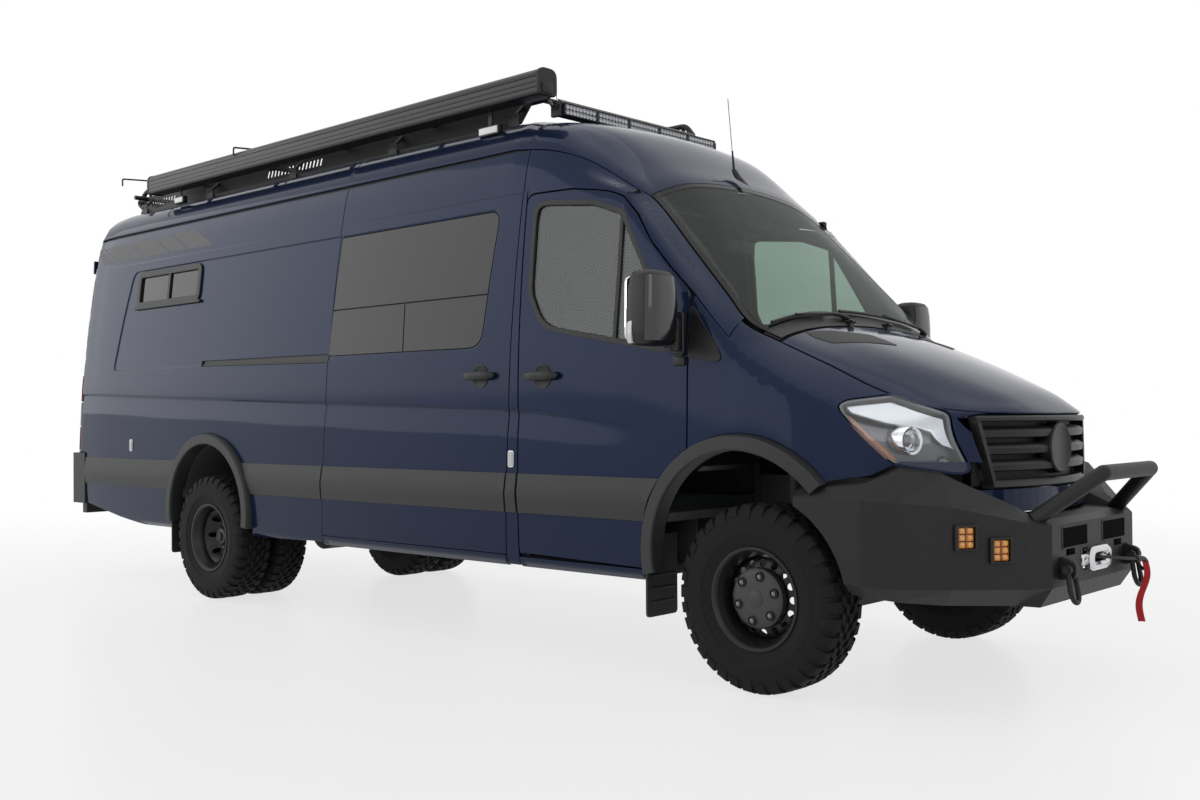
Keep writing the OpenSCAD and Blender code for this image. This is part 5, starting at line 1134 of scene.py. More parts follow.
def front_rim_bag(out):
    """Front rim: steel disc with slots round a grey hub cap with nuts."""
    bag = Bag()
    rim_barrel(bag, out)
    circle = oval((0, 0), (0.182, 0.182), 72)
    holes = [oval(place, (0.0155, 0.0155), 12) for place in round_places(16, 0.148)]
    dish = ([0.0, 0.10, 0.125, 0.165, 0.182], [0.028, 0.026, 0.012, 0.002, -0.010])
    disc(bag, 0.030, [resample(circle, 0.02)] + holes, 0.008, dish, out)
    bag.lathe(facing(FRONT_CAP, out), (0, 0, 0), slot=1, segs=48, closed=False)
    for x, z in round_places(6, 0.096, 18):
        bag.lathe(facing(CAP_WELL, out), (x, 0, z), slot=0, segs=20, closed=False)
        bag.lathe(facing(CAP_NUT, out), (x, 0, z), slot=2, segs=12, closed=False)
    bag.lathe(facing(CAP_BOSS, out), (0, 0, 0), slot=1, segs=36, closed=False)
    return bag


def rear_rim_bag(out):
    """Rear twin rims: deep dish with round hand holes and a flat hub."""
    bag = Bag()
    rim_barrel(bag, out)
    circle = oval((0, 0), (0.180, 0.180), 72)
    holes = [oval(place, (0.0215, 0.0165), 14) for place in round_places(8, 0.1435)]
    dish = ([0.0, 0.085, 0.115, 0.165, 0.180], [-0.105, -0.105, -0.090, -0.030, -0.012])
    disc(bag, 0.050, [resample(circle, 0.02)] + holes, 0.008, dish, out)
    bag.lathe(facing(REAR_HUB, out), (0, 0, 0), slot=1, segs=40, closed=False)
    for x, z in round_places(6, 0.088):
        bag.lathe(facing(REAR_NUT, out), (x, 0, z), slot=2, segs=12, closed=False)
    return bag


def build_wheels():
    """Front wheels and rear twins on both sides."""
    tyre = tyre_bag()
    rims = [RIM, HUB, NUT]
    for side, sign in SIGNS:
        front, body = (0, sign * 0.855, WHEEL_Z), f"wheel_front_{side}"
        moved(tyre, front).make(f"tyre_front_{side}", [TYRE], body, f"front_tyre_{side}", angle=32)
        moved(front_rim_bag(sign), front).make(f"rim_front_{side}", rims, body, f"front_rim_{side}")
        outer, inner = [(-WHEELBASE, sign * (0.755 + d), WHEEL_Z) for d in (TWIN_HALF, -TWIN_HALF)]
        body = f"wheels_rear_{side}"
        tyres = joined(moved(tyre, outer), moved(tyre, inner))
        tyres.make(f"tyres_rear_{side}", [TYRE], body, f"rear_tyres_{side}", angle=32)
        twins = joined(moved(rear_rim_bag(sign), outer), moved(rear_rim_bag(-sign), inner))
        twins.make(f"rims_rear_{side}", rims, body, f"rear_rims_{side}")


def split_pane(loop, axis, low, high):
    """Part of an outline between two limits of one coordinate."""
    out = []
    pts = resample(loop, 0.02)
    for a, b in zip(pts, np.roll(pts, -1, 0)):
        if low <= a[axis] <= high:
            out.append(a)
        for limit in (low, high):
            if (a[axis] - limit) * (b[axis] - limit) < 0:
                t = (limit - a[axis]) / (b[axis] - a[axis])
                out.append(a + (b - a) * t)
    return ordered(np.array(out))


def build_glass():
    """Flush panes and rail of the sliding door, and the small framed windows of the rear quarters."""
    glass = ordered(inset(resample(SLIDE_GLASS, 0.02), 0.0035))
    bar, rail_z, post_x = 0.0035, 1.808, -2.331
    upper, lower = split_pane(glass, 1, rail_z + bar, 9), split_pane(glass, 1, 0, rail_z - bar)
    panes = [upper, split_pane(lower, 0, -9, post_x - bar), split_pane(lower, 0, post_x + bar, 9)]
    for k, pane in enumerate(panes):
        panel(f"slide_pane_{k}", SIDE, [pane], [PRIVACY, PRIVACY], "body", cell=0.06, thick=0.006,
              proud=-0.006,
              edge=0.0012)
    backing = ordered(inset(resample(SLIDE_GLASS, 0.02), -0.02))
    panel("slide_backing", SIDE, [backing], [RUBBER, LINING], "body", cell=0.06, thick=0.006, proud=-0.016)
    vent = resample(ordered(VENT), 0.02)
    ring_out, ring_in = inset(vent, -0.014), inset(vent, 0.030)
    post = rectangle((-4.985, 2.00), (-4.955, 2.207))
    sill = rectangle((-5.43, 1.962), (-4.52, 1.984), 0.009, 3)
    for side, left in SIDES:
        panel(f"vent_frame_{side}", SIDE, [ring_out, ring_in], [BLACK, BLACK], "body", cell=0.02,
              thick=0.03,
              left=left, proud=0.006, edge=0.005)
        panel(f"vent_pane_{side}", SIDE, [inset(ring_in, -0.005)], [PRIVACY, PRIVACY], "body", cell=0.05,
              thick=0.006, left=left, proud=-0.010)
        panel(f"vent_post_{side}", SIDE, [post], [BLACK, BLACK], "body", cell=0.03, thick=0.02, left=left,
              proud=0.002)
        panel(f"vent_sill_{side}", SIDE, [sill], [BLACK, BLACK], "body", cell=0.03, thick=0.02, left=left,
              proud=0.012, edge=0.004)
    panel("slide_rail", SIDE, [inset(RAIL, -0.008)], [TRIM, BLACK], "body", cell=0.03, thick=0.006,
          proud=-0.018)
    lip = np.array([(-4.450, 1.528), (-3.038, 1.504), (-3.038, 1.516), (-4.450, 1.540)])
    panel("slide_rail_lip", SIDE, [lip], [BLACK, BLACK], "body", cell=0.03, thick=0.012, proud=-0.008,
          edge=0.002)


def nose_x(y):
    """x of the nose across the grille."""
    return 0.927 - 0.127 * (np.abs(y) / 0.557) ** 2.2


def sweep(bag, half, steps, section, slot=0):
    """Bar across the nose, of a half length, with a closed section of x offsets and heights."""
    ys = np.linspace(-half, half, steps)
    bag.loft([[(nose_x(y) + dx, y, z) for dx, z in section] for y in ys], slot)


GRILLE_LOW, GRILLE_HIGH, GRILLE_HALF_LOW, GRILLE_HALF_HIGH = 0.872, 1.168, 0.462, 0.546
CAP_Z, CAP_R, CAP_X = 1.030, 0.108, 0.905
# Sections of x offsets from the nose and heights
GRILLE_TOP = ((-0.030, 1.142), (-0.030, 1.162), (-0.008, 1.168), (0.000, 1.160), (0.000, 1.148),
              (-0.008, 1.142))
GRILLE_FOOT = ((-0.050, 0.872), (-0.050, 0.905), (-0.018, 0.905), (-0.004, 0.893), (0.004, 0.878),
               (-0.004, 0.870))
GRILLE_BACK = ((-0.075, 0.880), (-0.075, 1.160), (-0.068, 1.160), (-0.068, 0.880))
SLAT = ((-0.052, -0.016), (-0.052, 0.012), (-0.036, 0.026), (-0.010, 0.012), (-0.006, 0.006),
        (-0.010, -0.018),
        (-0.020, -0.022))


def grille_half(z):
    """Half width of the grille at a height."""
    share = (z - GRILLE_LOW) / (GRILLE_HIGH - GRILLE_LOW)
    return GRILLE_HALF_LOW + (GRILLE_HALF_HIGH - GRILLE_HALF_LOW) * share


def build_grille():
    """Grille frame, slats, mesh and plain round cap."""
    bag = Bag()
    sweep(bag, grille_half(1.16), 41, GRILLE_TOP)
    sweep(bag, grille_half(0.9), 41, GRILLE_FOOT)
    for slat_z in (1.098, 1.030, 0.962):
        sweep(bag, grille_half(slat_z) - 0.01, 41, [(x, slat_z + z) for x, z in SLAT])
    sweep(bag, grille_half(1.0), 31, GRILLE_BACK, slot=1)
    side = Bag()
    sections = []
    for z in np.linspace(0.874, 1.164, 12):
        y = grille_half(z)
        x = nose_x(y)
        sections.append([(x - 0.040, -y + 0.020, z), (x + 0.003, -y + 0.018, z), (x - 0.001, -y - 0.004, z),
                         (x - 0.040, -y - 0.004, z)])
    side.loft(sections)
    bag = joined(bag, side.both())
    cap = [(0.0, 0.018), (CAP_R - 0.022, 0.016), (CAP_R - 0.016, 0.020), (CAP_R - 0.006, 0.022),
           (CAP_R, 0.016),
           (CAP_R + 0.004, -0.03), (0.0, -0.03)]
    bag.lathe(cap, (CAP_X, 0, CAP_Z), axis="x", segs=48, closed=False)
    bag.make("grille_face", [BLACK, MESH], "body", "grille")


SILVER_EDGE = ((0.762, 1.031), (0.726, 1.050), (0.683, 1.112), (0.632, 1.134), (0.540, 1.153),
               (0.420, 1.196),
               (0.385, 1.226), (0.515, 1.246), (0.712, 1.166), (0.735, 1.10))
AMBER_EDGE = ((0.398, 1.190), (0.435, 1.165), (0.576, 1.010), (0.590, 0.990), (0.545, 0.998),
              (0.452, 1.104))


# Profiles of radius and length along the lamp
PROJECTOR_RING = ((0.0, 0.000), (0.030, 0.004), (0.038, 0.000), (0.040, 0.012), (0.046, 0.030),
                  (0.056, 0.034),
                  (0.060, 0.026), (0.058, -0.06), (0.0, -0.06))
PROJECTOR_LENS = ((0.0, 0.018), (0.012, 0.016), (0.022, 0.010), (0.029, 0.0), (0.0, -0.002))
CORNER_LAMP = ((0.0, 0.016), (0.016, 0.012), (0.027, 0.0), (0.030, -0.02), (0.0, -0.02))
LAMP_AIM = Matrix.Rotation(math.radians(-16), 4, "Z")


def build_headlights():
    """Headlights: clear lens over a bowl, silver upper reflector, projector, corner lamp and amber strip."""
    lamp = resample(LAMP, 0.02)
    silver = ordered(inset(resample(ordered(np.array(SILVER_EDGE)), 0.02), 0.001))
    amber = ordered(rounded(AMBER_EDGE, 0.008, 3))
    projector, corner = Bag(), Bag()
    projector.lathe(PROJECTOR_RING, (0, 0, 0), axis="x", slot=0, segs=40, closed=False)
    projector.lathe(PROJECTOR_LENS, (0, 0, 0), axis="x", slot=1, segs=32, closed=False)
    corner.lathe(CORNER_LAMP, (0, 0, 0), axis="x", slot=1, segs=10, closed=False)
    detail = joined(placed(projector, Matrix.Translation((0.595, -0.735, 1.070)) @ LAMP_AIM),
                    placed(corner, Matrix.Translation((0.712, -0.628, 0.978)) @ LAMP_AIM))
    for side, left in SIDES:
        panel(f"lamp_bowl_{side}", SIDE, [inset(lamp, 0.002)], [BOWL, BLACK], "body", cell=0.03,
              thick=0.004,
              left=left, proud=-0.055, node="headlights" if not left else None)
        panel(f"lamp_bezel_{side}", SIDE, [inset(lamp, 0.001), inset(lamp, 0.009)], [BOWL, BLACK], "body",
              cell=0.02, thick=0.056, left=left, proud=-0.004)
        panel(f"lamp_silver_{side}", SIDE, [silver], [SILVER, SILVER], "body", cell=0.025, thick=0.02,
              left=left,
              proud=-0.020, edge=0.004)
        panel(f"lamp_amber_{side}", SIDE, [amber], [AMBER, AMBER], "body", cell=0.02, thick=0.012,
              left=left,
              proud=-0.010, edge=0.003)
        panel(f"lamp_lens_{side}", SIDE, [inset(lamp, 0.0015)], [LENS, LENS], "body", cell=0.035,
              thick=0.003,
              left=left, proud=0.001)
        (detail.mirrored() if left else detail).make(f"lamp_unit_{side}", [CHROME, LENS_DARK], "body")


PODS, POD_TURN = ((0.853, -0.753, 0.697), (0.938, -0.630, 0.644)), -34.86
POD_CELL = ((0.0, 0.012), (0.008, 0.011), (0.0125, 0.007), (0.0135, 0.0), (0.0, -0.001))


def pod(place):
    """Square amber lamp in a black bezel, facing outwards."""
    one = Bag()
    half, half_y, half_z = 0.050, 0.036, 0.043
    bezel = [rectangle((-half, -half), (half, half), 0.008, 3),
             rectangle((-half_y, -half_z), (half_y, half_z), 0.006, 3)]
    one.plate(bezel, "yz", -0.006, 0.016, 0, 0.003)
    one.box((-0.012, -half_y, -half_z), (0.001, half_y, half_z), 0, 0.001)
    for j in range(2):
        for k in range(3):
            y, z = -0.0175 + 0.035 * j, -0.028 + 0.028 * k
            one.lathe(POD_CELL, (0.0, y, z), axis="x", slot=1, segs=10, closed=False)
            one.box((0.0, y - 0.0155, z - 0.0125), (0.004, y + 0.0155, z + 0.0125), 2, 0.001)
    return placed(one, Matrix.Translation(place) @ Matrix.Rotation(math.radians(POD_TURN), 4, "Z"))


BUMPER_FACE_X, SHACKLE_X, SHACKLE_Y, SHACKLE_Z = 1.060, 1.098, 0.347, 0.556
STRAP_TOP, STRAP_DROP, STRAP_HALF_W, STRAP_HALF_T = 0.540, 0.255, 0.0145, 0.001


def build_fairlead():
    """Fairlead plate with its bolts, and the openings of the bumper's face, filled with near-black painted
    shade.
    """
    x = BUMPER_FACE_X
    gear = Bag()
    mouth = [rectangle((-0.110, 0.522), (0.110, 0.622), 0.042, 8),
             rectangle((-0.074, 0.556), (0.074, 0.588), 0.0155, 6)]
    gear.plate(mouth, "yz", x - 0.008, x + 0.034, 0, 0.011)
    bolt = [(0.0, 0.020), (0.010, 0.019), (0.012, 0.010), (0.0, 0.008)]
    for y in (-0.127, 0.127):
        gear.box((x - 0.005, y - 0.028, 0.548), (x + 0.012, y + 0.028, 0.596), 0, 0.006)
        gear.lathe(bolt, (x, y, 0.572), axis="x", slot=0, segs=6, closed=False)
    gear.make("fairlead", [POLISHED], "body", "winch")
    slots = Bag()
    for y0, y1 in ((-0.335, -0.085), (0.085, 0.335)):
        # Each opening is filled with a near-black sheet of painted shade, inside a powder-coated rim
        opening = ordered(rectangle((y0, 0.636), (y1, 0.716), 0.004, 3))
        slots.plate([opening], "yz", x - 0.001, x + 0.0030, 0, 0.0008)
        slots.plate([inset(opening, -0.007), inset(opening, 0.0005)], "yz", x - 0.001, x + 0.0045, 1,
                    0.0012)
    # Near-black sheet behind the openings: painted shade inside the bumper
    slots.box((0.720, -0.420, 0.600), (1.000, 0.420, 0.606), 0, 0.001)
    slots.make("bumper_slots", [SHADE_FILL, POWDER], "body")


def shackle(bag, y):
    """Bracket with a bow shackle and its pin."""
    x, z = SHACKLE_X, SHACKLE_Z
    bracket = rounded([(0.99, 0.500), (1.125, 0.520), (1.125, 0.585), (0.99, 0.625)], 0.028, 5)
    bag.plate([bracket, oval((x, 0.553), (0.0145, 0.0145), 12)], "xz", y - 0.012, y + 0.012, 0, 0.003)
    bend = [(1.112 + 0.010 * math.sin(t), y - 0.036 * math.cos(t), 0.470 - 0.045 * math.sin(t))
            for t in np.linspace(0, math.pi, 13)]
    bow = [(x, y - 0.031, 0.560)] + bend + [(x, y + 0.031, 0.560)]
    bag.tube(smooth_path(bow, 0.02, 4), 0.0105, 0, 12)
    bag.tube([(x, y - 0.052, z), (x, y + 0.050, z)], 0.0125, 0, 12)
    for s in (-1, 1):
        eye = facing([(0.0, 0.043), (0.019, 0.042), (0.020, 0.022), (0.0, 0.020)], s)
        bag.lathe(eye, (x, y, z), axis="y", slot=0, segs=16, closed=False)


def pull_strap():
    """Red webbing that hangs from the hook, turning a little."""
    strap = Bag()
    sections = []
    for z in np.linspace(STRAP_TOP, STRAP_TOP - STRAP_DROP, 26):
        drop = (STRAP_TOP - z) / STRAP_DROP
        x, y = 1.166 + 0.010 * math.sin(7 * drop), 0.285 - 0.055 * drop + 0.012 * math.sin(5.5 * drop)
        c, s = math.cos(0.55 * drop + 0.6), math.sin(0.55 * drop + 0.6)
        corners = [(e * STRAP_HALF_W, t * STRAP_HALF_T) for e, t in ((-1, -1), (1, -1), (1, 1), (-1, 1))]
        sections.append([(x + e * s + t * c, y + e * c - t * s, z) for e, t in corners])
    strap.loft(sections)
    obj = strap.make("pull_strap", [WEBBING], "body")


def build_bumper():
    """Winch bumper details: amber pods, fairlead, openings, shackles, rope with hook, and strap."""
    pods = joined(*[pod(place) for place in PODS]).both()
    pods.make("bumper_pods", [BLACK, AMBER_GLOW, AMBER], "body", "lamps")
    build_fairlead()
    hang = Bag()
    shackle(hang, -SHACKLE_Y)
    shackle(hang, SHACKLE_Y)
    rope = smooth_path([(1.02, 0.0, 0.572), (1.100, 0.030, 0.572), (1.150, 0.130, 0.560),
                        (1.158, 0.215, 0.552)], 0.03, 6)
    hang.tube(rope, 0.0065, 1, 10)
    hang.tube(smooth_path([(1.158, 0.205, 0.553), (1.160, 0.245, 0.550)], 0.01), 0.013, 0, 12)
    hook = smooth_path([(1.160, 0.240, 0.550), (1.163, 0.275, 0.548), (1.165, 0.300, 0.536),
                        (1.163, 0.318, 0.512),
                        (1.150, 0.335, 0.497), (1.130, 0.348, 0.497), (1.116, 0.350, 0.512)], 0.02, 5)
    hang.tube(hook, np.linspace(0.012, 0.008, len(hook)), 0, 12)
    hang.make("recovery_gear", [POWDER, ROPE], "body")
    pull_strap()


VENT_PATCH = ((0.030, -0.600), (0.085, -0.605), (0.160, -0.580), (0.300, -0.262), (0.140, -0.235),
              (0.060, -0.430))
WIPERS = ((10.55, 8.75, 11.50), (12.6, 10.6, 11.52))


def on_screen(u, s, lift):
    """Point at a height over the windscreen, at a row and rail of the skin."""
    return skin_curve([u], [s])[0] + np.array([0.62, 0, 0.78]) * lift


def build_nose_trim():
    """Hood vents and wipers."""
    vent = rounded(VENT_PATCH, (0.01, 0.03, 0.02, 0.01, 0.04, 0.05), 4)
    for side, sign in SIGNS:
        panel(f"hood_vent_{side}", TOP, [ordered(vent * (1, -sign))], [MESH, BLACK], "hood", cell=0.03,
              thick=0.006,
              proud=0.0025)
    bag = Bag()
    knob = [(0.0, 0.03), (0.016, 0.026), (0.018, 0.0), (0.0, 0.0)]
    for pivot_s, tip_s, u_tip in WIPERS:
        path = zip(np.linspace(11.60, u_tip, 12), np.linspace(pivot_s - 0.25, tip_s, 12))
        bag.tube([on_screen(u, s, 0.014) for u, s in path], 0.0075, 0, 8)
        arm = smooth_path([on_screen(11.80, pivot_s + 0.1, 0.012), on_screen(11.70, pivot_s - 0.1, 0.024),
                           on_screen(11.56, (pivot_s + tip_s) / 2 - 0.1, 0.022)], 0.05, 5)
        bag.tube(arm, np.linspace(0.012, 0.006, len(arm)), 0, 8)
        bag.lathe(knob, on_screen(11.80, pivot_s + 0.1, -0.008), axis="z", segs=16, closed=False)
    bag.make("wipers", [BLACK], "body")


FLARE_BACK_Y = -0.935


def flare_ring(bag, centre, a0, a1, face_y, steps=44):
    """Arch flare swept over a wheel, its outer edge lying on the skin."""
    angles = np.radians(np.linspace(a0, a1, steps))
    r0, r1 = ARCH_R, ARCH_R + FLARE_W
    rim = np.stack([centre[0] + (r1 + 0.001) * np.cos(angles), centre[1] + (r1 + 0.001) * np.sin(angles)],
                   1)
    sections = []
    for a, y in zip(angles, SIDE.lift(rim)[0]):
        f = max(face_y, y - 0.050)
        profile = [(r1 + 0.001, y + 0.012), (r1 + 0.001, y - 0.002), (r1 - 0.004, y * 0.3 + f * 0.7),
                   (r1 - 0.007, f + 0.004), (r1 - 0.012, f), (r0 + 0.009, f - 0.001),
                   (r0 + 0.004, f + 0.002),
                   (r0 + 0.001, f + 0.008), (r0, f + 0.018), (r0 + 0.002, FLARE_BACK_Y),
                   (r0 + 0.014, FLARE_BACK_Y), (r0 + 0.016, f + 0.034), (r1 - 0.016, y + 0.014)]
        sections.append([(centre[0] + r * math.cos(a), t, centre[1] + r * math.sin(a)) for r, t in profile])
    bag.loft(sections)


STRIP_LOW, STRIP_HIGH, STRIP_MID = 0.702, 0.898, 0.800


def strip_height(points):
    """Two flat faces of the side strip."""
    return np.interp(points[:, 1], (STRIP_LOW, STRIP_MID, STRIP_HIGH), (0.007, 0.017, 0.006))


def strip_outline(rear, front):
    """Side strip between two end lines given as x at a height."""
    zs = np.linspace(STRIP_LOW, STRIP_HIGH, 9)
    return np.array([(front(z), z) for z in zs] + [(rear(z), z) for z in zs[::-1]])


def arch_x(centre, r, side):
    """x of an arch circle at a height, behind (-1) or ahead (1) of its centre."""
    return lambda z: centre[0] + side * math.sqrt(r * r - (z - centre[1]) ** 2)


def slide_edge(a, b, shift):
    """x of a leaning edge of the sliding door at a height."""
    return lambda z: a[0] + (b[0] - a[0]) * (z - a[1]) / (b[1] - a[1]) + shift


def upright(x):
    """The same x at every height."""
    return lambda z: x


def build_cladding():
    """Arch flares, mud flaps and side strips."""
    bag = Bag()
    flare_ring(bag, FRONT_ARCH, 193.0, 37.5, -1.026)
    flare_ring(bag, REAR_ARCH, 190.0, -9.0, -1.027)
    for x, y0, y1 in ((-0.572, -0.985, -0.770), (-4.826, -0.992, -0.490)):
        flap = rectangle((y0, 0.268), (y1, 0.640), (0.02, 0.02, 0.005, 0.005), 4)
        bag.plate([flap], "yz", x - 0.006, x + 0.006, 1, 0.002)
        for z in (0.33, 0.39, 0.45):
            bag.box((x + 0.004, y0 + 0.02, z), (x + 0.010, y1 - 0.02, z + 0.012), 1, 0.002)
    bag.both().make("arch_flares", [TRIM, RUBBER], "body", "cladding", angle=30)
    r = FLARE_CUT + 0.002
    slide_rear, slide_fore = ((-3.080, 0.490), (-2.960, 2.530)), ((-1.500, 0.490), (-1.430, 2.530))
    tail = (upright(-6.130), arch_x(REAR_ARCH, r, -1))
    door = (upright(-1.397), arch_x(FRONT_ARCH, r + GAP, -1))
    pillar = upright(-1.410)
    pieces = [("rear", *tail, "body", False), ("rear", *tail, "body", True),
              ("mid", arch_x(REAR_ARCH, r, 1), slide_edge(*slide_rear, -0.007), "body", False),
              ("mid", arch_x(REAR_ARCH, r, 1), pillar, "body", True),
              ("slide", slide_edge(*slide_rear, 0.003), slide_edge(*slide_fore, -0.003), "body", False),
              ("pillar", slide_edge(*slide_fore, 0.007), pillar, "body", False),
              ("door", *door, "door_right", False), ("door", *door, "door_left", True)]
    lines = [np.stack([np.arange(-6.2, -0.3, 0.05), np.full(118, STRIP_MID)], 1)]
    for name, rear, front, body, left in pieces:
        side = "left" if left else "right"
        panel(f"strip_{name}_{side}", SIDE, [ordered(strip_outline(rear, front))], [TRIM, TRIM], body,
              strip_height,
              cell=0.05, thick=0.012, left=left, lines=lines, edge=0.003)


MIRROR, MIRROR_POWER, ARM = (-0.395, -1.140), 2 / 0.6, (-0.372, -1.018)
# Rows of height and half sizes along x and y
MIRROR_ROWS = ((1.482, 0.045, 0.078), (1.487, 0.062, 0.094), (1.500, 0.073, 0.103), (1.550, 0.080, 0.106),
               (1.650, 0.082, 0.105), (1.730, 0.080, 0.100), (1.780, 0.073, 0.092), (1.798, 0.060, 0.080),
               (1.805, 0.040, 0.060))
TURN_ROWS = ((1.490, 0.080, 0.106), (1.505, 0.084, 0.110), (1.545, 0.085, 0.111), (1.575, 0.083, 0.109),
             (1.585, 0.080, 0.106))


def mirror_patch(rows, out, deep, start, end, count):
    """Sections of a patch on the mirror's shell, between two angles in degrees."""
    angles = np.radians(np.linspace(start, end, count))
    sections = []
    for z, hx, hy in rows:
        outer, inner = [square_arc(MIRROR, (hx + d, hy + d), angles, MIRROR_POWER) for d in (out, -deep)]
        sections.append(np.column_stack([np.concatenate([outer, inner[::-1]]), np.full(2 * count, z)]))
    return sections


def mirror_bag():
    """Right door mirror: tall shell, gloss insert, glass, barrel arm and clear turn lamp."""
    bag = Bag()
    x, y = MIRROR
    shell = [np.column_stack([oval(MIRROR, (hx, hy), 32, 3.4), np.full(32, z)]) for z, hx,
             hy in MIRROR_ROWS]
    bag.loft(shell)
    bag.loft(mirror_patch(MIRROR_ROWS[2:-2], 0.004, 0.004, -68, 42, 12), 1)
    glass = [(y - 0.086, 1.505), (y + 0.086, 1.505), (y + 0.080, 1.785), (y - 0.080, 1.785)]
    bag.plate([rounded(glass, 0.035, 5)], "yz", x - 0.088, x - 0.076, 2, 0.003)
    bag.loft(mirror_patch(TURN_ROWS, 0.0, 0.012, 195, 262, 8), 3)
    bag.tube([(*ARM, 1.462), (*ARM, 1.600)], 0.030, 0, 20)
    bag.tube([(*ARM, 1.598), (*ARM, 1.612)], 0.020, 0, 16)
    bag.box((-0.420, -1.050, 1.475), (-0.350, -0.972, 1.590), 0, 0.012)
    foot = [(-0.440, 1.455), (-0.343, 1.440), (-0.343, 1.640), (-0.400, 1.640)]
    bag.plate([rounded(foot, 0.02, 4)], "xz", -0.992, -0.962, 0, 0.005)
    return bag


HANDLE_CUP = ((0.0005, -0.001), (0.030, -0.0012), (0.052, -0.002), (0.057, -0.004), (0.060, -0.003),
              (0.061, 0.012), (0.0005, 0.012))
HANDLE_HALF = 0.116


def skin_y(x, z):
    """Sideways place of the right side's skin."""
    return float(SIDE.lift(np.array([(x, z)]))[0][0])


def handle_bag(x, z):
    """Pull handle on the right side: round cup with an oval bar over it."""
    bag = Bag()
    y = skin_y(x, z)
    bag.lathe(HANDLE_CUP, (x - 0.004, y, z), axis="y", segs=40)
    rings = []
    for dx in np.linspace(-HANDLE_HALF, HANDLE_HALF, 17):
        t = abs(dx) / HANDLE_HALF
        out = y - 0.036 + 0.018 * t ** 3
        h, w = 0.0215 * math.sqrt(max(0.05, 1 - t ** 4)), 0.011 * math.sqrt(max(0.08, 1 - t ** 4))
        ring = oval((out, z + 0.004), (w, h), 16, 2.6)
        rings.append(np.column_stack([np.full(16, x + dx), ring]))
    bag.loft(rings)
    for dx in (-0.086, 0.086):
        bag.box((x + dx - 0.016, y - 0.032, z - 0.012), (x + dx + 0.016, y + 0.006, z + 0.020), 0, 0.006)
    return bag


MARKERS, MARKER_HALF = ((-1.449, 0.968), (-5.402, 0.994)), (0.021, 0.042)
# Decal bars: x of the lower rear corner and width
STRIPES = ((-6.02, 0.16), (-5.83, 0.05), (-5.75, 0.03), (-5.69, 0.30), (-5.36, 0.34), (-4.99, 0.22),
           (-4.74, 0.30))
STRIPE_LOW, STRIPE_HIGH, STRIPE_LEAN, STRIPE_END = 2.345, 2.475, 0.26, -6.17


def build_side_trim():
    """Mirrors, handles, hinges, marker lamps and tail stripes."""
    finish = [BLACK, GLOSS_BLACK, MIRROR_GLASS, LAMP_CLEAR]
    right = joined(mirror_bag(), handle_bag(-1.226, 1.372))
    right.box((-0.405, -0.990, 1.398), (-0.340, -0.965, 1.440), 0, 0.006)
    right.make("door_fittings_right", finish, "door_right", "door_right_trim")
    right.mirrored().make("door_fittings_left", finish, "door_left", "door_left_trim")
    handle_bag(-1.678, 1.384).make("slide_handle", finish, "body")
    for side, left in SIDES:
        for k, marker in enumerate(np.array(MARKERS)):
            base = rectangle(marker - MARKER_HALF, marker + MARKER_HALF, 0.012, 4)
            lens = inset(base, 0.006)
            panel(f"marker_base_{k}_{side}", SIDE, [base], [POLISHED, POLISHED], "body", cell=0.02,
                  thick=0.012, left=left, proud=0.006, edge=0.002)
            panel(f"marker_lens_{k}_{side}", SIDE, [lens], [LAMP_CLEAR, LAMP_CLEAR], "body", cell=0.02,
                  thick=0.010, left=left, proud=0.011, edge=0.004)
        for k, (x, w) in enumerate(STRIPES):
            bar = np.array([(x, STRIPE_LOW), (x + w, STRIPE_LOW), (x + w - STRIPE_LEAN, STRIPE_HIGH),
                            (x - STRIPE_LEAN, STRIPE_HIGH)])
            bar[:, 0] = np.maximum(bar[:, 0], STRIPE_END)
            panel(f"stripe_{k}_{side}", SIDE, [ordered(bar)], [DECAL, DECAL], "body", side_height,
                  cell=0.03,
                  thick=0.004, left=left, proud=0.0006, edge=0.0004)


def build_awning():
    """Awning case with its grooves, end caps and front bracket."""
    awning = Bag()
    y0, z0 = -0.800, 2.875
    half_y, half_z = 0.066, 0.068
    rear, front = -5.385, -1.375
    outline = rectangle((y0 - half_y, z0 - half_z), (y0 + half_y, z0 + half_z), (0.02, 0.03, 0.045, 0.05),
                        6)
    awning.plate([outline], "yz", rear, front, 0, 0.002)
    for z, deep in ((z0 - 0.030, 0.004), (z0 - 0.004, 0.003), (z0 + 0.026, 0.004)):
        awning.box((rear, y0 - half_y - deep, z - 0.004), (front, y0 - half_y + 0.01, z + 0.004), 0, 0.0015)
    for x0, x1 in ((-5.400, -5.378), (-1.382, -1.360)):
        awning.plate([inset(ordered(outline), -0.003)], "yz", x0, x1, 1, 0.004)
    awning.box((-1.372, y0 - 0.045, z0 - 0.060), (-1.354, y0 + 0.030, z0 - 0.005), 1, 0.004)
    for x in (-5.77, -4.226):
        hoop = [(x, -0.62, 2.90), (x, -0.62, 2.985), (x, -0.868, 2.968), (x, -0.868, 2.915)]
        awning.tube(smooth_path(hoop, 0.012, 4), 0.006, 1, 8)
    awning.make("awning_case", [BLACK_SATIN, BLACK], "body", "awning")


RACK_Y, RACK_LOW, RACK_HIGH = 0.615, 2.858, 2.925


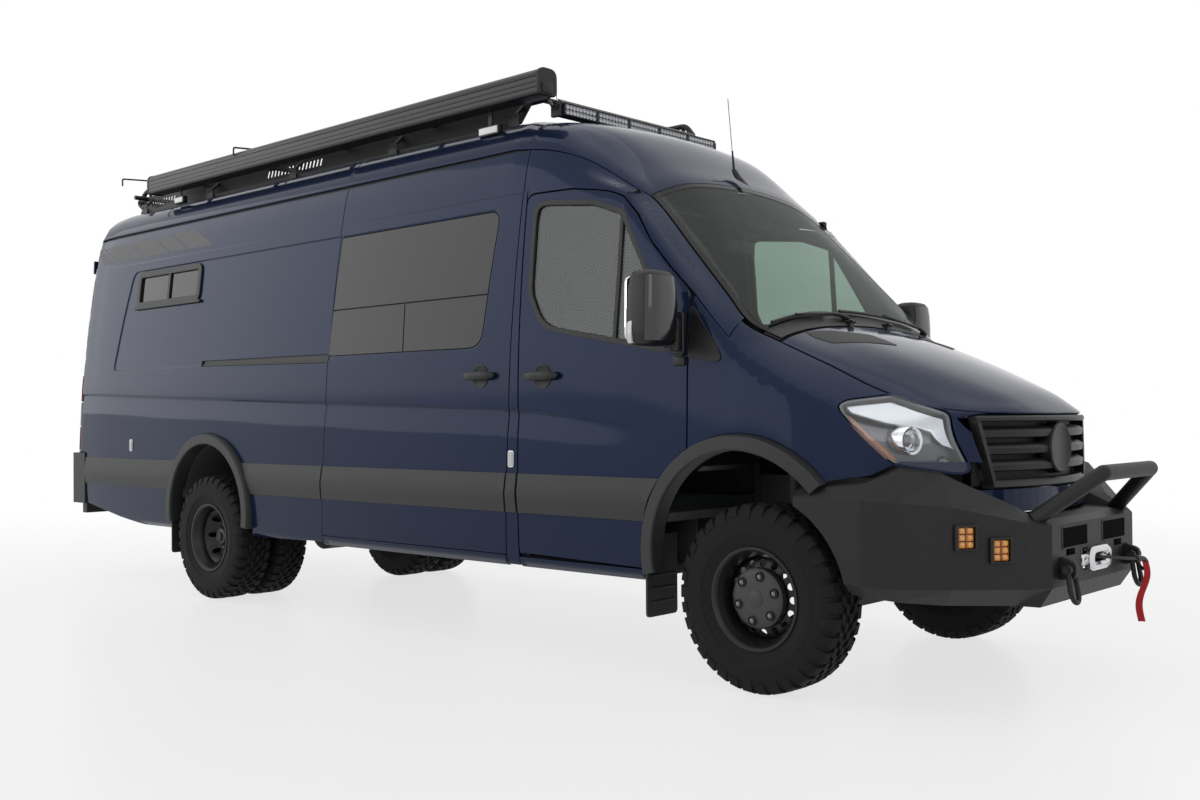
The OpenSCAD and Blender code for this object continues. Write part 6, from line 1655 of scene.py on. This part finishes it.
def rack_side():
    """Right side of the rack: tubes, uprights, rear bow, slotted panels and feet."""
    rack = Bag()
    y, low, high = -RACK_Y, RACK_LOW, RACK_HIGH
    bow = [(-1.545, y, low), (-1.60, y, high), (-5.88, y, high), (-6.015, y, 2.845), (-5.93, y, low - 0.07),
           (-5.80, y, low - 0.07)]
    rack.tube(smooth_path(bow, 0.035, 5), 0.0165, 0, 12)
    rack.tube([(-5.97, y, low), (-1.545, y, low)], 0.0185, 0, 12)
    for x in np.linspace(-5.83, -1.62, 6):
        rack.tube([(x, y, low), (x, y, high)], 0.012, 0, 8)
    slots = []
    for x0, count in ((-5.76, 9), (-4.18, 16)):
        for k in range(count):
            x = x0 + 0.04 * k
            slots.append(rounded([(x, 2.786), (x + 0.016, 2.786), (x + 0.034, 2.830), (x + 0.018, 2.830)],
                                 0.004, 2))
    sheet = np.array([(-5.80, 2.745), (-1.72, 2.745), (-1.62, low), (-5.80, low)])
    rack.plate([sheet] + slots, "xz", y - 0.028, y - 0.024, 0, 0.001)
    rack.box((-5.82, -0.700, 2.722), (-1.72, -0.668, 2.750), 0, 0.004)
    for x in (-1.709, -2.743, -3.780, -4.804, -5.740):
        holes = [oval((x + dx, 2.768), (0.006, 0.006), 8) for dx in (-0.017, 0.017)]
        foot = rectangle((x - 0.04, 2.716), (x + 0.04, 2.792), 0.006, 3)
        rack.plate([foot] + holes, "xz", -0.712, -0.706, 1, 0.001)
        rack.box((x - 0.038, -0.710, 2.708), (x + 0.038, -0.640, 2.724), 1, 0.003)
        rack.tube([(x, -0.700, 2.78), (x, y, low)], 0.011, 0, 8)
    return rack


def build_rack():
    """Roof rack with its cross tubes and rear bow."""
    rack = rack_side().both()
    screw = [(0.0005, 0.0178), (0.0042, 0.0178), (0.0042, 0.0150), (0.0005, 0.0150)]
    for x in np.linspace(-5.854, -1.585, 6):
        rack.tube([(x, -0.728, RACK_LOW), (x, 0.640, RACK_LOW)], 0.0165, 0, 12)
        for y in (-RACK_Y / 2, RACK_Y / 2):
            rack.lathe(screw, (x, y, RACK_LOW), "z", 1, 10)
    rack.tube([(-6.010, -RACK_Y, 2.845), (-6.010, RACK_Y, 2.845)], 0.0165, 0, 12)
    rack.make("rack_frame", [POWDER, BLACK], "body", "roof_rack")
    lamps = Bag()
    for x0, x1, z in ((-1.884, -1.742, 2.700), (-5.125, -5.020, 2.735)):
        lamps.box((x0 - 0.008, -0.797, z - 0.026), (x1 + 0.008, -0.762, z + 0.026), 0, 0.004)
        lamps.box((x0, -0.802, z - 0.018), (x1, -0.794, z + 0.018), 1, 0.003)
        middle = (x0 + x1) / 2
        lamps.box((middle - 0.015, -0.785, z + 0.02), (middle + 0.015, -0.775, 2.812), 0, 0.002)
    lamps.make("scene_lamps", [BLACK, LAMP_WHITE], "body")


REFLECTOR = ((0.0125, 0.0), (0.009, -0.007), (0.0035, -0.011), (0.0035, -0.006), (0.0005, -0.005))
# Rows of the aerial's foot: place along x, height and half width
FIN = ((0.075, 0.0, 0.020), (0.050, 0.014, 0.019), (0.010, 0.038, 0.014), (-0.020, 0.062, 0.009),
       (-0.030, 0.072, 0.006))
FIN_X, FIN_Z = -0.775, 2.389


def build_light_bar():
    """Light bar with five groups of reflectors, its deflector, brackets and the aerials."""
    bar = Bag()
    z, half, front = 2.775, 0.640, -1.398
    groups, pairs = 5, 9
    bar.box((-1.468, -half, z - 0.033), (front - 0.022, half, z + 0.033), 0, 0.006)
    for low, high in ((z + 0.027, z + 0.033), (z - 0.033, z - 0.027)):
        bar.box((front - 0.03, -half, low), (front, half, high), 0, 0.002)
    width = 2 * half / groups
    for k in range(groups + 1):
        y = -half + k * width
        bar.box((front - 0.03, max(-half, y - 0.006), z - 0.031), (front, min(half, y + 0.006), z + 0.031),
                0, 0.002)
    for k in range(groups):
        for n in range(pairs):
            y = -half + k * width + 0.014 + (width - 0.028) * (n + 0.5) / pairs
            for dz in (-0.0135, 0.0135):
                bar.lathe(REFLECTOR, (front - 0.004, y, z + dz), "x", 1, 10, False)
    for k in range(groups):
        y = -half + k * width
        bar.box((front - 0.0035, y + 0.007, z - 0.026), (front - 0.0015, y + width - 0.007, z + 0.026), 2,
                0.0005)
    slope = [(-1.446, z + 0.034), (-1.512, z + 0.082), (-1.515, z + 0.078), (-1.452, z + 0.032)]
    bar.loft([[(x, y, h) for x, h in slope] for y in (-0.575, 0.575)])
    for y in (-0.655, 0.655):
        bar.box((-1.475, y - 0.012, 2.735), (-1.410, y + 0.012, z + 0.025), 0, 0.004)
        bar.tube([(-1.44, y, 2.76), (-1.545, math.copysign(RACK_Y, y), 2.850)], 0.010, 0, 8)
    bar.tube([(-1.425, -0.672, z + 0.005), (-1.425, -0.672, z + 0.030)], 0.007, 0, 8)
    bar.tube([(-1.425, -0.672, z + 0.03), (-1.425, -0.672, z + 0.092)], 0.0016, 0, 6)
    rows = []
    for dx, dz, w in FIN:
        ring = oval((0, 0), (0.030 + 0.018 * (1 - dz / 0.075), w), 14)
        rows.append([(FIN_X + dx * 0.5 + x * (0.9 - dz * 6), y, FIN_Z + dz - x * 0.55 * (1 - dz / 0.08))
                     for x, y in ring])
    bar.loft(rows)
    bar.tube([(-0.789, 0, 2.450), (-0.800, 0, 2.560)], [0.0075, 0.0045], 0, 8)
    bar.tube([(-0.800, 0, 2.555), (-0.826, 0, 2.838)], 0.0019, 0, 6)
    bar.box((-0.83, 0.835, 2.250), (-0.775, 0.870, 2.280), 0, 0.008)
    bar.make("light_bar", [BLACK, LED_BOWL, LENS], "body", "roof_fittings")


TAIL_BANDS = ((0.950, 1.128, RED_LENS), (1.134, 1.312, LAMP_CLEAR), (1.318, 1.515, RED_LENS))
# The rear face leans about a line at its foot; the rear frame runs over the doors from FRAME_LOW up
REAR_FOOT, FRAME_LOW, FRAME_DEEP = 0.9, 1.535, 0.050
LEAN = (Matrix.Translation((REAR_X - 0.0035, 0, REAR_FOOT))
        @ Matrix.Rotation(math.atan(REAR_LEAN / (ROOF_Z - REAR_FOOT)), 4, "Y")
        @ Matrix.Translation((0, 0, -REAR_FOOT)))


def tail_outline(low, high, near, far):
    """Strip along the side's rear edge, between two heights and two distances from the edge."""
    return np.array([(rear_edge(z) + d, z) for z, d in ((low, near), (low, far), (high, far),
                                                        (high, near))])


def build_tail_lamps():
    """Three lenses a side, and the backing behind them."""
    for side, left in SIDES:
        panel(f"tail_back_{side}", SIDE, [tail_outline(0.92, 1.55, 0.002, 0.110)], [RUBBER, LINING], "body",
              cell=0.03, thick=0.005, left=left, proud=-0.050)
        for k, (low, high, mat) in enumerate(TAIL_BANDS):
            panel(f"tail_lens_{k}_{side}", SIDE, [rounded(tail_outline(low, high, 0.004, 0.073), 0.010, 4)],
                  [mat, mat], "body", cell=0.02, thick=0.045, left=left, proud=0.004, edge=0.004)


def build_rear_frame():
    """Body frame round the rear doors, and the seals behind their gaps."""
    over = skin_curve(np.zeros(81), np.linspace(5.0, 17.0, 81))[:, 1:]
    over = over[over[:, 1] > FRAME_LOW] * (0.997, 0.9985)
    deep = FRAME_DEEP
    top = NET[0, 11, 2] - deep
    door = [(NET[0, k, 1] + deep, NET[0, k, 2] - (deep if k > 7 else 0)) for k in range(5, 11)] + [(0, top)]
    door = [p for p in door if p[1] > FRAME_LOW]
    low_y = np.interp(FRAME_LOW, NET[0, 4:8, 2], NET[0, 4:8, 1] + deep)
    half = np.array([(low_y, FRAME_LOW)] + door)
    ring = np.concatenate([over, (half * (-1, 1))[:-1], half[::-1]])
    ring[:, 1] = REAR_FOOT + (ring[:, 1] - REAR_FOOT) * 1.0024
    frame_bag = Bag()
    frame_bag.plate([ordered(ring)], "yz", 0.008, 0.050, 0, 0.001)
    for sign in (-1, 1):
        y0, y1 = sorted((sign * 0.950, sign * 0.887))
        frame_bag.box((0.012, y0, 0.560), (0.050, y1, 0.945), 0, 0.003)
        y0, y1 = sorted((sign * 0.940, sign * 0.830))
        frame_bag.box((0.062, y0, 0.566), (0.068, y1, 0.960), 1, 0.001)
    frame_bag.box((0.062, -0.900, 0.566), (0.068, 0.900, 0.735), 1, 0.001)
    frame_bag.box((0.062, -0.080, top - 0.09), (0.068, 0.080, top + 0.03), 1, 0.001)
    placed(frame_bag, LEAN).make("rear_frame", [PAINT, RUBBER], "body")


def build_rear():
    """Tail lamps, rear frame, rear door pressings with seals, hinges and handle, and step pads."""
    build_tail_lamps()
    build_rear_frame()
    glass = ordered(rectangle((-0.752, 1.549), (-0.119, 2.232)))
    seal = [rounded(inset(glass, -0.016), 0.075, 6), rounded(inset(glass, 0.004), 0.058, 6)]
    pressing = rectangle((-0.770, 0.700), (-0.085, 1.440), 0.06, 6)
    for side, left in SIDES:
        bag = Bag()
        bag.plate(seal, "yz", -0.006, 0.012, 0, 0.003)
        bag.plate([pressing, inset(ordered(pressing), 0.030)], "yz", -0.005, 0.004, 1, 0.003)
        for z in (1.075, 1.115):
            bag.box((-0.006, -0.700, z - 0.010), (0.004, -0.150, z + 0.010), 1, 0.004)
        if not left:
            bag.box((-0.030, -0.070, 1.500), (0.004, -0.030, 1.700), 0, 0.010)
            bag.box((-0.018, -0.080, 1.490), (0.004, -0.020, 1.710), 0, 0.006)
        for z in (0.82, 1.61, 2.35):
            bag.box((-0.014, -0.868, z - 0.05), (0.006, -0.800, z + 0.05), 1, 0.005)
        bag = placed(bag, LEAN)
        bag = bag.mirrored() if left else bag
        bag.make(f"rear_door_fittings_{side}", [BLACK, PAINT], f"rear_door_{side}")
    step = Bag()
    for k in range(34):
        y = -0.84 + 0.0509 * k
        step.box((-6.360, y - 0.012, 0.551), (-6.245, y + 0.012, 0.5565), 0, 0.002)
    step.make("step_ribs", [BLACK], "body")


SEAT_Y = 0.44
BACK_LEAN, VISOR_LEAN = [Matrix.Rotation(math.radians(a), 3, "Y") for a in (-10, 24)]


def build_cab():
    """Seats, entry steps, dashboard humps, mirror and sun visors."""
    base = Bag()
    for y in (-SEAT_Y, SEAT_Y):
        base.box((-1.330, y - 0.185, 0.742), (-0.965, y + 0.185, 0.985), 0, 0.02)
        base.box((-1.360, y - 0.225, 0.975), (-0.930, y + 0.225, 1.010), 0, 0.012)
    base.make("seat_boxes", [LINING], "body", "seats")
    for side, sign in SIGNS:
        pad, y = Bag(), sign * SEAT_Y
        pad.box((-1.330, y - 0.200, 1.005), (-0.895, y + 0.200, 1.120), 0, 0.045, None, 5)
        pad.box((-1.445, y - 0.200, 1.115), (-1.320, y + 0.200, 1.735), 0, 0.050, BACK_LEAN, 5)
        for s in (-1, 1):
            low, high = y + s * 0.205, y + s * 0.200
            pad.box((-1.320, low - 0.045, 1.020), (-0.905, low + 0.045, 1.148), 1, 0.040, None, 5)
            pad.box((-1.425, high - 0.045, 1.135), (-1.290, high + 0.045, 1.660), 1, 0.040, BACK_LEAN, 5)
        pad.box((-1.490, y - 0.130, 1.740), (-1.385, y + 0.130, 1.930), 0, 0.045, BACK_LEAN, 5)
        for s in (-0.06, 0.06):
            pad.tube([(-1.420, y + s, 1.690), (-1.435, y + s, 1.770)], 0.006, 2, 8)
        pad.make(f"seat_pad_{side}", [SEAT_CLOTH, SEAT_SIDE, POLISHED], "body")
    steps = Bag()
    steps.box((-1.404, -0.958, 0.438), (-0.605, -0.560, 0.482), 0, 0.006)
    steps.box((-1.680, -0.935, 0.438), (-1.380, -0.560, 0.700), 0, 0.006)
    steps.box((-1.380, -0.900, 0.478), (-0.640, -0.700, 0.4845), 1, 0.003)
    steps.box((-1.404, -0.580, 0.440), (-0.605, -0.562, 0.699), 0, 0.003)
    steps.both().make("cab_steps", [LINING, RUBBER], "body")
    cab = Bag()
    cab.box((-0.640, 0.270, 1.370), (-0.450, 0.610, 1.462), 0, 0.035, None, 4)
    cab.box((-0.540, -0.150, 1.360), (-0.440, 0.150, 1.480), 0, 0.030, None, 4)
    cab.box((-0.640, -0.800, 1.360), (-0.480, -0.300, 1.425), 0, 0.030, None, 4)
    cab.box((-0.775, -0.125, 2.015), (-0.745, 0.125, 2.085), 0, 0.014, None, 4)
    cab.tube([(-0.750, 0, 2.070), (-0.700, 0, 2.160)], 0.010, 0, 8)
    for y in (-0.43, 0.43):
        cab.box((-0.985, y - 0.20, 2.215), (-0.800, y + 0.20, 2.235), 1, 0.008, VISOR_LEAN)
    cab.make("cab_fittings", [BLACK, LINING], "body")


def seen_rays(tree):
    """1 for rays of the camera, of gloss and through glass."""
    path = tree.nodes.new("ShaderNodeLightPath")
    out = path.outputs["Is Camera Ray"]
    for name in ("Is Glossy Ray", "Is Transmission Ray"):
        node = tree.nodes.new("ShaderNodeMath")
        node.operation = "MAXIMUM"
        tree.links.new(out, node.inputs[0])
        tree.links.new(path.outputs[name], node.inputs[1])
        out = node.outputs[0]
    return out


def build_stage():
    """Pale floor, soft light and white surround."""
    size = 60
    floor_mat, tree, bsdf, coords = shader("pale_floor")
    tree.links.new(blend_colors(tree, noise(tree, coords, 0.7), (0.80, 0.80, 0.81), (0.83, 0.83, 0.83)),
                   bsdf.inputs["Base Color"])
    bsdf.inputs["Roughness"].default_value = 0.30
    bsdf.inputs["Specular IOR Level"].default_value = 0.4
    light = tree.nodes.new("ShaderNodeEmission")
    light.inputs["Color"].default_value = (1, 1, 1, 1)
    distance = tree.nodes.new("ShaderNodeVectorMath")
    distance.operation = "LENGTH"
    tree.links.new(coords, distance.inputs[0])
    far = tree.nodes.new("ShaderNodeMapRange")
    far.interpolation_type = "SMOOTHSTEP"
    tree.links.new(distance.outputs["Value"], far.inputs["Value"])
    for name, value in (("From Min", 3.0), ("From Max", 11.0), ("To Min", 0.72), ("To Max", 1.0)):
        far.inputs[name].default_value = value
    share = tree.nodes.new("ShaderNodeMath")
    share.operation = "MULTIPLY"
    tree.links.new(far.outputs["Result"], share.inputs[0])
    tree.links.new(seen_rays(tree), share.inputs[1])
    mix = tree.nodes.new("ShaderNodeMixShader")
    tree.links.new(share.outputs[0], mix.inputs["Fac"])
    tree.links.new(bsdf.outputs[0], mix.inputs[1])
    tree.links.new(light.outputs[0], mix.inputs[2])
    tree.links.new(mix.outputs[0], tree.nodes["Material Output"].inputs["Surface"])
    floor = new_object("studio_floor", [(-size, -size, 0), (size, -size, 0), (size, size, 0),
                                        (-size, size, 0)],
                       [(0, 1, 2, 3)], [floor_mat], smooth=False)
    world = bpy.data.worlds.new("studio")
    bpy.context.scene.world = world
    world.use_nodes = True
    tree = world.node_tree
    back = tree.nodes["Background"]
    back.inputs["Color"].default_value = (1, 1, 1, 1)
    tree.links.new(between(tree, seen_rays(tree), 0.42, 1.0), back.inputs["Strength"])
    for name, place, target, size_xy, power in (
            ("roof_light", (0, 0, 10.5), (0, 0, 0), (14, 8), 190),
            ("wall_light", (-9.5, -10.5, 5.7), (-1.0, 0, 2.0), (20, 8), 560),
            ("front_light", (9.0, -6.0, 5.0), (2.5, 0, 1.2), (5, 5), 90)):
        lamp = bpy.data.lights.new(name, "AREA")
        lamp.shape = "RECTANGLE"
        lamp.size, lamp.size_y = size_xy
        lamp.energy = power
        obj = bpy.data.objects.new(name, lamp)
        obj.location = place
        obj.rotation_euler = (Vector(target) - Vector(place)).to_track_quat("-Z", "Y").to_euler()
        bpy.context.collection.objects.link(obj)


def build_camera():
    """Camera at the photograph's place, fitted from the front axle."""
    place = (3.0667, -5.2318, 1.1816)
    azimuth, pitch, roll = [math.radians(a) for a in (42.667, 0.7106, -0.45)]
    focal_px, image_w, sensor = 1238.8, 1200, 36.0
    ahead = Vector((-math.sin(azimuth) * math.cos(pitch), math.cos(azimuth) * math.cos(pitch),
                    math.sin(pitch)))
    right = Vector((math.cos(azimuth), math.sin(azimuth), 0))
    up = right.cross(ahead)
    right, up = math.cos(roll) * right + math.sin(roll) * up, math.cos(roll) * up - math.sin(roll) * right
    camera = bpy.data.cameras.new("photo_camera")
    camera.sensor_width = sensor
    camera.lens = focal_px * sensor / image_w
    obj = bpy.data.objects.new("photo_camera", camera)
    obj.matrix_world = Matrix((right, up, -ahead)).transposed().to_4x4()
    obj.location = Vector(place) + Vector((AXLE_X, 0, 0))
    bpy.context.collection.objects.link(obj)
    bpy.context.scene.camera = obj
    bpy.context.scene.view_settings.view_transform = "Standard"


NODE_FINISH = {"floor": LINING, "chassis_frame": DARK_STEEL, "front_suspension": DARK_STEEL,
               "rear_axle": DARK_STEEL,
               "drivetrain": DARK_STEEL, "seats": LINING, "dashboard": BLACK, "fixed_glass": PRIVACY,
               "front_bumper": POWDER, "winch": STEEL, "cladding": TRIM, "grille": BLACK,
               "rear_bumper": TRIM,
               "awning": BLACK, "roof_rack": POWDER, "roof_fittings": BLACK, "firewall": BLACK}
# The word rim also takes the trims
WORD_FINISH = (("tyre", TYRE), ("rim", RIM), ("glass", PRIVACY), ("knuckle", DARK_STEEL), ("", PAINT))


def dress_nodes():
    """Finishes of the frame's own solids, by their name or by the first word that is in it."""
    for name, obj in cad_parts.items():
        by_word = next(mat for word, mat in WORD_FINISH if word in name)
        obj.data.materials.clear()
        obj.data.materials.append(NODE_FINISH.get(name, by_word))


build_camera()
build_stage()
dress_nodes()
build_sides()
build_roof()
build_doors()
build_front()
build_wheels()
build_glass()
build_grille()
build_headlights()
build_bumper()
build_nose_trim()
build_cladding()
build_side_trim()
build_awning()
build_rack()
build_light_bar()
build_rear()
build_cab()
